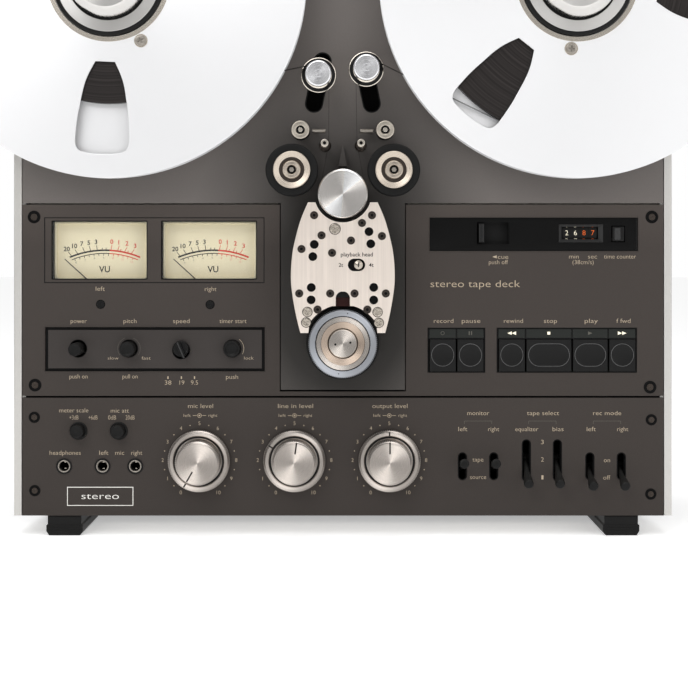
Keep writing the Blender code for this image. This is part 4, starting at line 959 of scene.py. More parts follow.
class DECK_OT_cabinet(bpy.types.Operator):
    """Builds the cast frame with its rails, the rear cover with its sockets, and the skids"""

    bl_idname = "deck.cabinet"
    bl_label = "Cabinet"

    def execute(self, context):
        self.cast_frame()
        self.rear_cover()
        for side in ("left", "right"):
            self.skid(side)
        motors = frame["nodes"]["motor_plate"]
        motors.data.materials.clear()
        motors.data.materials.append(finish_of("zinc_steel"))
        return {"FINISHED"}

    def cast_frame(self):
        low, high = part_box("chassis_frame")
        panel_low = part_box("lower_panel")[0]
        front, back = front_of("chassis_frame"), back_of("chassis_frame")
        rail = panel_low.x - low.x - 0.3 * MM
        top_rail = high.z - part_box("deck_plate")[1].z - 0.3 * MM
        outer = box_outline(low.x, low.z, high.x, high.z)
        inner = box_outline(low.x + 8 * MM, low.z + 4 * MM, high.x - 8 * MM, high.z - 6 * MM)
        piece = Piece("cast_frame")
        piece.add("cast_frame", slab([outer, inner], back, back_of("lower_panel") - 0.3 * MM, 0.6 * MM, 3))
        trim = [(low.x, low.z), (low.x + rail, low.z), (low.x + rail, high.z - top_rail)]
        trim += [(high.x - rail, high.z - top_rail), (high.x - rail, low.z), (high.x, low.z)]
        trim += [(high.x, high.z), (low.x, high.z)]
        piece.add("cast_frame", slab([trim], back_of("lower_panel") - 1 * MM, front, 0.8 * MM, 3))
        for side in (-1, 1):
            for z in (0.060, 0.400):
                piece.add("screw_black", self.side_screw(side * high.x, z, (front + back) / 2))
            groove = (high.x - 0.2 * MM) * side
            area = (min(groove, groove + side * 0.2 * MM), low.z + 20 * MM,
                max(groove, groove + side * 0.2 * MM), high.z - 20 * MM)
            piece.add("dark_joint_and_shade", brick(area, back + 14 * MM, back + 15 * MM, 0.0))
        piece.make("deck", ["chassis_frame"])

    def side_screw(self, x, z, height):
        """A pan screw whose axis runs across, set into the frame's side."""
        mesh = cross_screw(3.4 * MM, 0.6 * MM)
        turn = Matrix.Rotation(math.pi / 2 * (1 if x > 0 else -1), 4, "Z")
        inset = x - math.copysign(0.7 * MM, x)
        mesh.transform(Matrix.Translation((inset, ahead(height), z)) @ turn)
        return outward(mesh)

    def rear_cover(self):
        low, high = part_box("rear_cover")
        front, back = front_of("rear_cover"), back_of("rear_cover")
        outline = box_outline(low.x, low.z, high.x, high.z, 3 * MM)
        inside = box_outline(low.x + 2 * MM, low.z + 2 * MM, high.x - 2 * MM, high.z - 2 * MM, 2 * MM)
        piece = Piece("rear_housing")
        piece.add("cover_steel", slab([outline, inside], back + 1 * MM, front, 0.4 * MM))
        vents = [box_outline(-0.150, 0.300 + 0.018 * i, 0.150, 0.305 + 0.018 * i, 1 * MM) for i in range(6)]
        inlet = box_outline(0.150, 0.050, 0.178, 0.070, 1.5 * MM)
        sockets = [(-0.170 + 0.022 * (i % 2), 0.060 + 0.024 * (i // 2)) for i in range(4)]
        holes = vents + [inlet] + [circle(x, z, 4.8 * MM, 32) for x, z in sockets]
        piece.add("cover_steel", slab([outline, *holes], back, back + 2 * MM, 0.5 * MM, 3))
        louvre = brick((-0.150, -0.4 * MM, 0.150, 0.4 * MM), 0.0, 5 * MM, 0.2 * MM)
        louvre = at_origin(louvre)
        louvre.transform(Matrix.Rotation(math.radians(24), 4, "X"))
        row = copies(
            "Copies in a row",
            louvre,
            "cover_steel",
            Count=6,
            First=(0.0, ahead(back + 7 * MM), 0.3045),
            Step=(0.0, 0.0, 0.018),
        )
        piece.add("cover_steel", row)
        piece.add("matte_black", brick((-0.152, 0.292, 0.152, 0.400), back + 11 * MM, back + 12 * MM, 0.0))
        self.inlet(piece, back)
        self.phono(piece, back, sockets)
        places = [(x, z) for x in (-0.214, 0.0, 0.214) for z in (0.028, 0.432)]
        places += [(x, 0.230) for x in (-0.214, 0.214)]
        screws = screws_at(cross_screw(3.2 * MM, 0.9 * MM), "screw_black", places, 0.0)
        screws.transform(Matrix.Translation((0, ahead(back) - ahead(0), 0)) @ self.flip())
        piece.add("screw_black", outward(screws))
        piece.make("deck", ["rear_cover"])

    def flip(self):
        """Turns what faces forward to face back, about the panels' face."""
        shift = Matrix.Translation((0, FACE, 0))
        return shift @ Matrix.Diagonal((1, -1, 1, 1)) @ shift.inverted()

    def inlet(self, piece, back):
        body = [box_outline(0.1515, 0.0515, 0.1765, 0.0685, 2 * MM),
            box_outline(0.1545, 0.0545, 0.1735, 0.0655, 2 * MM)]
        piece.add("jack_plastic", slab(body, back + 0.4 * MM, back + 14 * MM, 0.3 * MM))
        piece.add("jack_plastic",
            brick((0.153, 0.053, 0.175, 0.067), back + 13 * MM, back + 15 * MM, 0.2 * MM))
        for x in (0.1600, 0.1680):
            piece.add("nickel", brick((x - 1.2 * MM, 0.0575, x + 1.2 * MM, 0.0625), back + 3 * MM,
                back + 14 * MM, 0.4 * MM))
        plate = box_outline(0.146, 0.084, 0.182, 0.104, 1 * MM)
        piece.add("zinc_steel", slab([plate], back - 0.0 * MM, back + 0.4 * MM, 0.1 * MM))
        piece.add("words_faint", self.back_words("mains", 0.164, 0.0455, back))

    def phono(self, piece, back, sockets):
        board = box_outline(-0.186, 0.044, -0.132, 0.100, 2 * MM)
        holes = [circle(x, z, 4.6 * MM, 32) for x, z in sockets]
        piece.add("jack_plastic", slab([board, *holes], back + 2.2 * MM, back + 4 * MM, 0.2 * MM))
        for index, (x, z) in enumerate(sockets):
            collar = [(3.1 * MM, back + 0.3 * MM), (4.2 * MM, back + 0.3 * MM), (4.2 * MM, back + 9 * MM),
                (3.1 * MM, back + 9 * MM)]
            piece.add("nickel", turned(collar, x, z, 32))
            ring = [(1.4 * MM, back + 2.0 * MM), (3.1 * MM, back + 2.0 * MM), (3.1 * MM, back + 8 * MM),
                (1.4 * MM, back + 8 * MM)]
            piece.add("socket_red" if index % 2 else "socket_white", turned(ring, x, z, 32))
        for text, x, z in (("line in", -0.159, 0.0525), ("line out", -0.159, 0.0925)):
            piece.add("words_beige", self.back_words(text, x, z, back))

    def back_words(self, text, x, z, back):
        """Words that are read from behind."""
        mesh = words(text, -x, z, 0.0, 4.2 * MM)
        turn = Matrix.Rotation(math.pi, 4, "Z")
        mesh.transform(Matrix.Translation((0, ahead(back) + FACE, 0)) @ turn)
        return outward(mesh)

    def skid(self, side):
        node = f"foot_{side}"
        low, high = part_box(node)
        front, back = front_of(node), back_of(node)
        centre = (low.x + high.x) / 2
        half = (high.x - low.x) / 2
        piece = Piece(f"skid_{side}")
        section = [(-half + 2 * MM, 0.0), (half - 2 * MM, 0.0), (half, 3 * MM), (half, 7 * MM),
            (half - 1 * MM, 8 * MM)]
        section += [(half - 1 * MM, high.z), (-half + 1 * MM, high.z), (-half + 1 * MM, 8 * MM),
            (-half, 7 * MM), (-half, 3 * MM)]
        outline = [(centre + x, z) for x, z in section]
        piece.add("foot_black", slab([outline], back, front, 0.8 * MM, 3))
        rib = at_origin(brick((-half + 1.5 * MM, -0.35 * MM, half - 1.5 * MM, 0.35 * MM), 0.0, 0.5 * MM,
            0.15 * MM))
        ribs = copies(
            "Copies in a row",
            rib,
            "foot_black",
            Count=3,
            First=(centre, ahead(front) + 0.1 * MM, 3.0 * MM),
            Step=(0.0, 0.0, 2.2 * MM),
        )
        piece.add("foot_black", ribs)
        piece.make("deck", [node])


# ---------------------------------------------------------------- deck plate and tape path


class DECK_OT_deck_plate(bpy.types.Operator):
    """Builds the upper plate with its tongue, pegs and wedge, and the transport casting behind it"""

    bl_idname = "deck.deck_plate"
    bl_label = "Deck plate"

    def execute(self, context):
        sizes = context.scene.deck_sizes
        low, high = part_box("deck_plate")
        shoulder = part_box("control_panel")[1].z + 1 * MM
        half = 0.0431
        outer = [(-half, low.z), (half, low.z), (half, shoulder), (high.x, shoulder), (high.x, high.z)]
        outer += [(low.x, high.z), (low.x, shoulder), (-half, shoulder)]
        loops = [outer]
        for name, side in SIDES:
            loops.append(capsule((side * 14.0 * MM, 0.3289), (side * 20.0 * MM, 0.2995), 5.7 * MM))
            loops.append(circle(*middle(f"{name}_turntable"), 12.5 * MM))
            loops.append(circle(*middle(f"{name}_guide_roller"), 2.3 * MM, 20))
            loops.append(circle(side * 12.3 * MM, 0.2702, 4.0 * MM, 24))
            x, z = middle(f"{name}_pinch_roller")
            loops.append(capsule((x, z), (x - side * 3.26 * MM, z - 1.54 * MM), 3.5 * MM, 8))
        loops.append(circle(*middle("capstan"), 8.0 * MM, 32))
        loops.append(circle(*middle("reversing_roller"), 4.8 * MM, 24))
        loops.append(box_outline(-0.0228, 0.1652, 0.0228, 0.2108))
        piece = Piece("deck_face")
        piece.add("deck_paint", slab(loops, -3 * MM, 0.0, sizes.panel_edge))
        self.pegs(piece)
        self.slot_rims(piece)
        piece.make("deck", ["deck_plate"], sharp=28)
        self.transport()
        return {"FINISHED"}

    def pegs(self, piece):
        for _, side in SIDES:
            x, z, half, radius = side * 16.5 * MM, 0.2799, 4.6 * MM, 1.5 * MM
            profile = [(0, half), (radius, half, 0.5 * MM), (radius, -half, 0.5 * MM), (0, -half)]
            peg = at_origin(turned(profile, steps=24))
            peg.transform(Matrix.Translation((x, ahead(9.3 * MM), z))
                @ Matrix.Rotation(math.pi / 2, 4, "Z"))
            piece.add("small_metal", peg)
            stem = [(0, 9.0 * MM), (1.0 * MM, 9.0 * MM), (1.0 * MM, -1 * MM), (0, -1 * MM)]
            piece.add("screw_dark", turned(stem, x + side * 2.5 * MM, z, 20))
        wedge = [(-3.1 * MM, 0.2555), (3.1 * MM, 0.2555), (0.5 * MM, 0.2690), (0.0, 0.2696),
            (-0.5 * MM, 0.2690)]
        piece.add("deck_paint", slab([wedge], -1 * MM, 12 * MM, 0.4 * MM, 2))

    def slot_rims(self, piece):
        for _, side in SIDES:
            rim = [
                capsule((side * 14.0 * MM, 0.3289), (side * 20.0 * MM, 0.2995), 6.3 * MM),
                capsule((side * 14.0 * MM, 0.3289), (side * 20.0 * MM, 0.2995), 5.5 * MM),
            ]
            piece.add("matte_black", slab(rim, -2.6 * MM, 0.35 * MM, 0.15 * MM))
            # A dark plate behind each arm slot: painted shade.
            middle_x = side * 17 * MM
            shade = (middle_x - 13 * MM, 0.2860, middle_x + 13 * MM, 0.3430)
            piece.add("dark_joint_and_shade", brick(shade, -15.9 * MM, -15.4 * MM, 0.1 * MM, 1))

    def transport(self):
        low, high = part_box("transport_base")
        back = -3.6 * MM
        loops = [box_outline(low.x, low.z, high.x, high.z, 3 * MM), circle(*middle("capstan"), 8 * MM, 32)]
        for name, side in SIDES:
            x, z = middle(f"{name}_pinch_roller")
            loops.append(capsule((x, z), (x - side * 3.26 * MM, z - 1.54 * MM), 3.5 * MM, 8))
        piece = Piece("transport_base_parts")
        piece.add("matte_black", slab(loops, back - 3.4 * MM, back, 0.3 * MM))
        shaft_x, shaft_z = middle("reversing_roller")
        piece.add("nickel", turned([(0, 0.030), (4 * MM, 0.030), (4 * MM, back), (0, back)], shaft_x,
            shaft_z, 32))
        for name, side in SIDES:
            x, z = middle(f"{name}_guide_roller")
            piece.add("nickel", turned([(0, 0.030), (1.8 * MM, 0.030), (1.8 * MM, back), (0, back)], x, z,
                24))
            self.tape_post(piece, side * 12.3 * MM, 0.2702)
            lobe = (side * 26 * MM - 9 * MM, 0.1720, side * 26 * MM + 9 * MM, 0.1870)
            piece.add("gloss_black", brick(lobe, 12 * MM, 31 * MM, 3 * MM, 4))
            x, z = side * 19.548 * MM, 0.28385
            piece.add("nickel", turned([(0, back), (2.5 * MM, back), (2.5 * MM, -12.6 * MM),
                (0, -12.6 * MM)], x, z, 24))
        piece.add("matte_black", brick((-0.0220, 0.1660, 0.0220, 0.2100), back, 32 * MM, 1 * MM, 2))
        piece.make("deck", ["transport_base"])

    def tape_post(self, piece, x, z):
        base = [(0, 1.2 * MM), (3.0 * MM, 1.2 * MM), (4.0 * MM, 0.4 * MM), (4.0 * MM, -3.6 * MM),
            (0, -3.6 * MM)]
        piece.add("screw_dark", turned(base, x, z, 40))
        stem = [(0, 30 * MM), (1.9 * MM, 30 * MM), (1.9 * MM, 1 * MM), (0, 1 * MM)]
        piece.add("small_metal", turned(stem, x, z, 32))
        cap = [(1.15 * MM, 34 * MM), (2.6 * MM, 34 * MM, 0.3 * MM), (2.6 * MM, 31.4 * MM),
            (1.15 * MM, 31.4 * MM)]
        piece.add("nickel", turned(cap, x, z, 40))
        # A dark hexagon in the cap's bore: painted shade.
        piece.add("dark_joint_and_shade", slab([circle(x, z, 1.2 * MM, 6)], 31.4 * MM, 33 * MM))
        collar = [(1.9 * MM, 24.2 * MM), (2.6 * MM, 24.2 * MM), (2.6 * MM, 23.2 * MM),
            (1.9 * MM, 23.2 * MM)]
        piece.add("nickel", turned(collar, x, z, 40))


class DECK_OT_head_cover(bpy.types.Operator):
    """Builds the brushed plate over the heads, with its screws, holes and head selector"""

    bl_idname = "deck.head_cover"
    bl_label = "Head cover"

    def execute(self, context):
        front = front_of("head_cover")
        back = front - 2 * MM
        selector_x, selector_z = middle("head_selector")
        slot = capsule((selector_x - 2.9 * MM, selector_z), (selector_x + 0.3 * MM, selector_z), 4.2 * MM)
        holes = [(-19.2, 201.8), (-20.2, 193.6), (17.6, 210.4), (18.8, 202.2)]
        holes += [(-21.2, 172.8), (-21.3, 164.5), (20.8, 172.9), (20.8, 164.4)]
        piece = Piece("head_plate")
        openings = [circle(x * MM, z * MM, 2.95 * MM, 32) for x, z in holes]
        piece.add("head_cover", slab([self.outline(), slot, *openings], back, front, 0.25 * MM, 2))
        hexes = [(-19.3, 221.4), (19.6, 221.4), (12.9, 216.2), (-14.3, 207.9), (26.3, 207.4), (5.5, 204.4)]
        hexes += [(-27.8, 198.7), (-7.2, 196.1), (-29.3, 168.8), (-8.5, 168.8), (7.9, 168.8), (28.9, 168.8)]
        hexes += [(-17.0, 158.0), (16.5, 158.0)]
        places = [(x * MM, z * MM) for x, z in hexes]
        piece.add("screw_dark", screws_at(hex_screw(2.75 * MM, 0.5 * MM), "screw_dark", places, front))
        for x, z in places:
            # A dark hexagon in each socket: painted shade in the recess.
            piece.add("dark_joint_and_shade", slab([circle(x, z, 1.25 * MM, 6)], front, front + 0.12 * MM))
            # A dark ring on each head stands for its groove: painted shade.
            groove = [(1.75 * MM, front), (1.75 * MM, front + 0.52 * MM), (2.0 * MM, front + 0.52 * MM),
                (2.0 * MM, front)]
            piece.add("screw_black", turned(groove, x, z, 28))
        crosses = [(-5.3, 212.2, 3.5), (-23.8, 156.4, 3.1), (-24.6, 149.3, 3.1), (23.4, 156.3, 3.1),
            (24.2, 149.1, 3.1)]
        for index, (x, z, radius) in enumerate(crosses):
            at = [(x * MM, z * MM)]
            # A dark disc just wider than each head: painted shade round it.
            piece.add("dark_joint_and_shade", slab([circle(*at[0], (radius + 0.4) * MM, 32)], front - 0.2 * MM,
                front + 0.06 * MM))
            piece.add("screw_bright",
                screws_at(cross_screw(radius * MM, 0.6 * MM), "screw_bright", at, front, 3.0, index))
        # Dark discs behind the holes and the selector's slot: painted shade.
        shade = [circle(x * MM, z * MM, 3.05 * MM, 24) for x,
            z in holes] + [grown_slot(selector_x, selector_z)]
        for loop in shade:
            piece.add("dark_joint_and_shade", slab([loop], back - 1.2 * MM, back - 0.1 * MM))
        notch = box_outline(-4.9 * MM, 0.160, 4.9 * MM, 0.1662)
        piece.add("notch_red", slab([notch], back - 4 * MM, back - 3 * MM))
        size = 3.3 * MM
        piece.add("words_black", words("playback head", 9.4 * MM, 0.1949, front, size * 1.15, 21.5 * MM,
            weight=0.012))
        piece.add("words_black", words("2t", -1.3 * MM, 0.1878, front, size * 1.1, weight=0.012))
        piece.add("words_black", words("4t", 19.1 * MM, 0.1878, front, size * 1.1, weight=0.012))
        piece.make("deck", ["head_cover"], sharp=28)
        self.selector()
        return {"FINISHED"}

    def outline(self):
        """The plate's outline, mirrored about the middle, with arcs clear of the capstan and large roller."""
        right = [(23.4, 230.1), (26.1, 224.1), (28.9, 216.8), (31.5, 207.4), (33.6, 197.8), (34.7, 187.8),
            (34.9, 177.0)]
        right += [(33.9, 167.6), (32.3, 158.2), (30.4, 149.4), (28.5, 142.2)]
        capstan, ring = middle("capstan"), middle("reversing_roller")
        upper = [spot(*capstan, 19.3 * MM, -90 + 7.0 * index) for index in range(11)]
        lower = [spot(*ring, 26.4 * MM, 20 + 6.0 * index) for index in range(11)]
        lower = [point for point in lower if point[0] > 4.8 * MM and point[0] < 23.6 * MM]
        curve = [Vector(corner) * MM for corner in right]
        side = []
        for index, (here, after) in enumerate(zip(curve, curve[1:])):
            before = curve[max(index - 1, 0)]
            beyond = curve[min(index + 2, len(curve) - 1)]
            for step in range(5):
                t = step / 5
                a, b, c, d = 2 * t**3 - 3 * t**2 + 1, t**3 - 2 * t**2 + t, -2 * t**3 + 3 * t**2, t**3 - t**2
                side.append(tuple(here * a + (after - before) / 2 * b + after * c + (beyond - here) / 2
                    * d))
        side.append(tuple(curve[-1]))
        upper = [point for point in upper if point[0] < 18.15 * MM]
        half = upper + [(18.3 * MM, 0.2301)] + side + [(23.2 * MM, 0.1422)] + lower
        top = [spot(0, 0.1655, 4.75 * MM, 10 + 16 * index) for index in range(6)]
        half += [(4.75 * MM, half[-1][1])] + [point for point in top if point[0] > 0.1 * MM]
        return half + [(-x, z) for x, z in reversed(half) if x > 0.05 * MM]

    def selector(self):
        x, z = middle("head_selector")
        front = front_of("head_selector")
        piece = Piece("head_selector_button")
        profile = [(0, front), (1.0 * MM, front), (1.4 * MM, front - 0.25 * MM),
            (2.9 * MM, front - 0.5 * MM, 0.3 * MM)]
        profile += [(3.1 * MM, front - 1.2 * MM), (3.1 * MM, front - 3.2 * MM), (0, front - 3.2 * MM)]
        piece.add("screw_bright", turned(profile, x, z, 40))
        # A dark slit across the button: painted shade in its slot.
        piece.add("dark_joint_and_shade", brick((x - 0.3 * MM, z - 1.5 * MM, x + 0.3 * MM, z + 1.5 * MM),
            front - 0.3 * MM, front + 0.02 * MM, 0.0))
        piece.make("head_selector", ["head_selector"])


def grown_slot(x, z):
    return capsule((x - 3.0 * MM, z), (x + 0.4 * MM, z), 4.4 * MM)


# ---------------------------------------------------------------- reels and rollers


class DECK_OT_reels(bpy.types.Operator):
    """Builds both reels with their windows, screws, wound tape, turntables and hub adaptors"""

    bl_idname = "deck.reels"
    bl_label = "Reels"

    def execute(self, context):
        for name, first_window, first_screw in (("supply", -92.3, -61.8), ("takeup", -128.5, -95.0)):
            self.flanges(name, first_window, first_screw)
            self.pack(name)
            self.adaptor(name)
        return {"FINISHED"}

    def window(self, x, z, degrees):
        """One window: narrow with sharp corners by the hub, wide and rounded by the rim, sides bulged."""
        side = [(55.0, 6.6), (64.0, 11.0), (71.9, 13.6), (82.6, 15.6), (93.2, 17.3), (104.4, 18.1)]
        side += [(110.6, 18.0), (114.4, 16.3), (116.1, 13.0), (117.3, 5.0)]
        corners = side + [(along, -across) for along, across in reversed(side)]
        turn = math.radians(degrees)
        placed = []
        for along, across in smooth_loop(corners, 5, sharp=(0, len(corners) - 1)):
            a, b = along * MM, across * MM
            placed.append((x + a * math.cos(turn) - b * math.sin(turn),
                z + a * math.sin(turn) + b * math.cos(turn)))
        return placed

    def flanges(self, name, first_window, first_screw):
        node = f"{name}_reel"
        x, z = middle(node)
        low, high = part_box(node)
        radius = (high.x - low.x) / 2
        front, back = front_of(node), back_of(node)
        metal = f"{name}_reel_metal"
        windows = [self.window(x, z, first_window + 120 * index) for index in range(3)]
        piece = Piece(f"{name}_reel_wheel")
        loops = [circle(x, z, radius, 160), circle(x, z, 38.1 * MM, 64), *windows]
        piece.add(metal, slab(loops, front - 1.2 * MM, front, 0.3 * MM, 2))
        piece.add(metal, slab([circle(x, z, radius, 160), circle(x, z, 38.1 * MM, 64)], back,
            back + 1.2 * MM, 0.3 * MM, 2))
        hub = [(38.1 * MM, back + 1 * MM), (53 * MM, back + 1 * MM), (53 * MM, front - 1 * MM),
            (38.1 * MM, front - 1 * MM)]
        piece.add("cast_frame", turned(hub, x, z, 96))
        ring = [(38.3 * MM, front - 0.1 * MM), (38.3 * MM, front + 0.25 * MM, 0.1 * MM)]
        ring += [(41.5 * MM, front + 0.25 * MM, 0.1 * MM), (41.5 * MM, front - 0.1 * MM)]
        piece.add("nickel", turned(ring, x, z, 96))
        washer = at_origin(turned([(2.6 * MM, 0.0), (2.6 * MM, 0.5 * MM), (4.6 * MM, 0.5 * MM, 0.15 * MM),
            (4.6 * MM, 0.0)], steps=36))
        head = cross_screw(3.5 * MM, 1.0 * MM)
        head.transform(Matrix.Translation((0, -0.4 * MM, 0)))
        for shape, finish in ((washer, "nickel"), (head, "small_metal")):
            placed = copies(
                "Copies in a ring",
                shape,
                finish,
                Count=3,
                Radius=46.4 * MM,
                First_angle=math.radians(first_screw),
                Step=math.tau / 3,
                Centre=(x, ahead(front), z),
            )
            piece.add(finish, placed)
        piece.make(f"{name}_reel_set", [node], sharp=28)

    def pack(self, name):
        node = f"{name}_tape"
        x, z = middle(node)
        low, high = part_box(node)
        radius = (high.x - low.x) / 2
        front, back = front_of(node), back_of(node)
        profile = [(53.1 * MM, back)]
        profile += [(radius, back, 0.1 * MM), (radius, front, 0.1 * MM)]
        for step in range(7, -1, -1):
            share = step / 8
            lift = 0.00006 * (1 if step % 2 else -1)
            profile.append((53.1 * MM + (radius - 53.1 * MM) * share, front + lift))
        piece = Piece(f"{name}_wound_tape")
        piece.add(f"{name}_tape_edges", turned(profile, x, z, 128))
        piece.make(f"{name}_reel_set", [node])

    def adaptor(self, name):
        """The turntable behind the reel and the hub adaptor in its bore, with three grips."""
        node = f"{name}_turntable"
        x, z = middle(node)
        front, back = front_of(node), back_of(node)
        table = back_of(f"{name}_reel") - 0.3 * MM
        metal = f"{name}_hub_metal"
        piece = Piece(f"{name}_hub_adaptor")
        disc = [(0, table), (45 * MM, table, 0.6 * MM), (45 * MM, table - 8 * MM, 1 * MM),
            (11 * MM, table - 8 * MM, 1 * MM)]
        disc += [(11 * MM, 1 * MM), (4 * MM, 1 * MM), (4 * MM, back), (0, back)]
        piece.add("cast_frame", turned(disc, x, z, 96))
        collar = [(0, 35 * MM), (24 * MM, 35.5 * MM), (34.0 * MM, 36 * MM, 0.8 * MM),
            (37.7 * MM, 35.2 * MM, 1.0 * MM)]
        collar += [(37.7 * MM, table - 0.1 * MM), (0, table - 0.1 * MM)]
        piece.add("satin_black", turned(collar, x, z, 96))
        bright = [(27.5 * MM, 35.4 * MM), (27.5 * MM, 36.6 * MM, 0.3 * MM),
            (35.0 * MM, 36.4 * MM, 0.3 * MM), (35.0 * MM, 35.4 * MM)]
        piece.add(metal, turned(bright, x, z, 96))
        cap = [(0, front - 2.2 * MM), (9 * MM, front - 2.2 * MM), (9.6 * MM, front, 0.4 * MM),
            (20.5 * MM, front, 0.8 * MM)]
        cap += [(22 * MM, front - 1.2 * MM, 0.5 * MM), (26 * MM, front - 5 * MM, 0.8 * MM),
            (26 * MM, 36.2 * MM, 0.6 * MM)]
        cap += [(25 * MM, 35 * MM), (0, 35 * MM)]

        def lobes(angle, radius, height):
            return -0.8 * MM * (0.5 + 0.5 * math.cos(3 * angle)) ** 6 if radius > 21 * MM else 0.0

        piece.add(metal, turned(cap, x, z, 120, lobes))
        rib = at_origin(brick((-0.45 * MM, -0.35 * MM, 0.45 * MM, 0.35 * MM), 37.4 * MM, 43.6 * MM,
            0.2 * MM, 1))
        placed = copies(
            "Copies in a ring",
            rib,
            "satin_black",
            Count=60,
            Radius=25.7 * MM,
            First_angle=0.0,
            Step=math.tau / 60,
            Centre=(x, FACE, z),
        )
        piece.add("satin_black", placed)
        piece.add("screw_dark", turned([(0, front - 1.9 * MM), (4 * MM, front - 1.9 * MM, 0.3 * MM),
            (4 * MM, front - 3 * MM), (0, front - 3 * MM)], x, z, 40))
        piece.make(f"{name}_reel_set", [node])


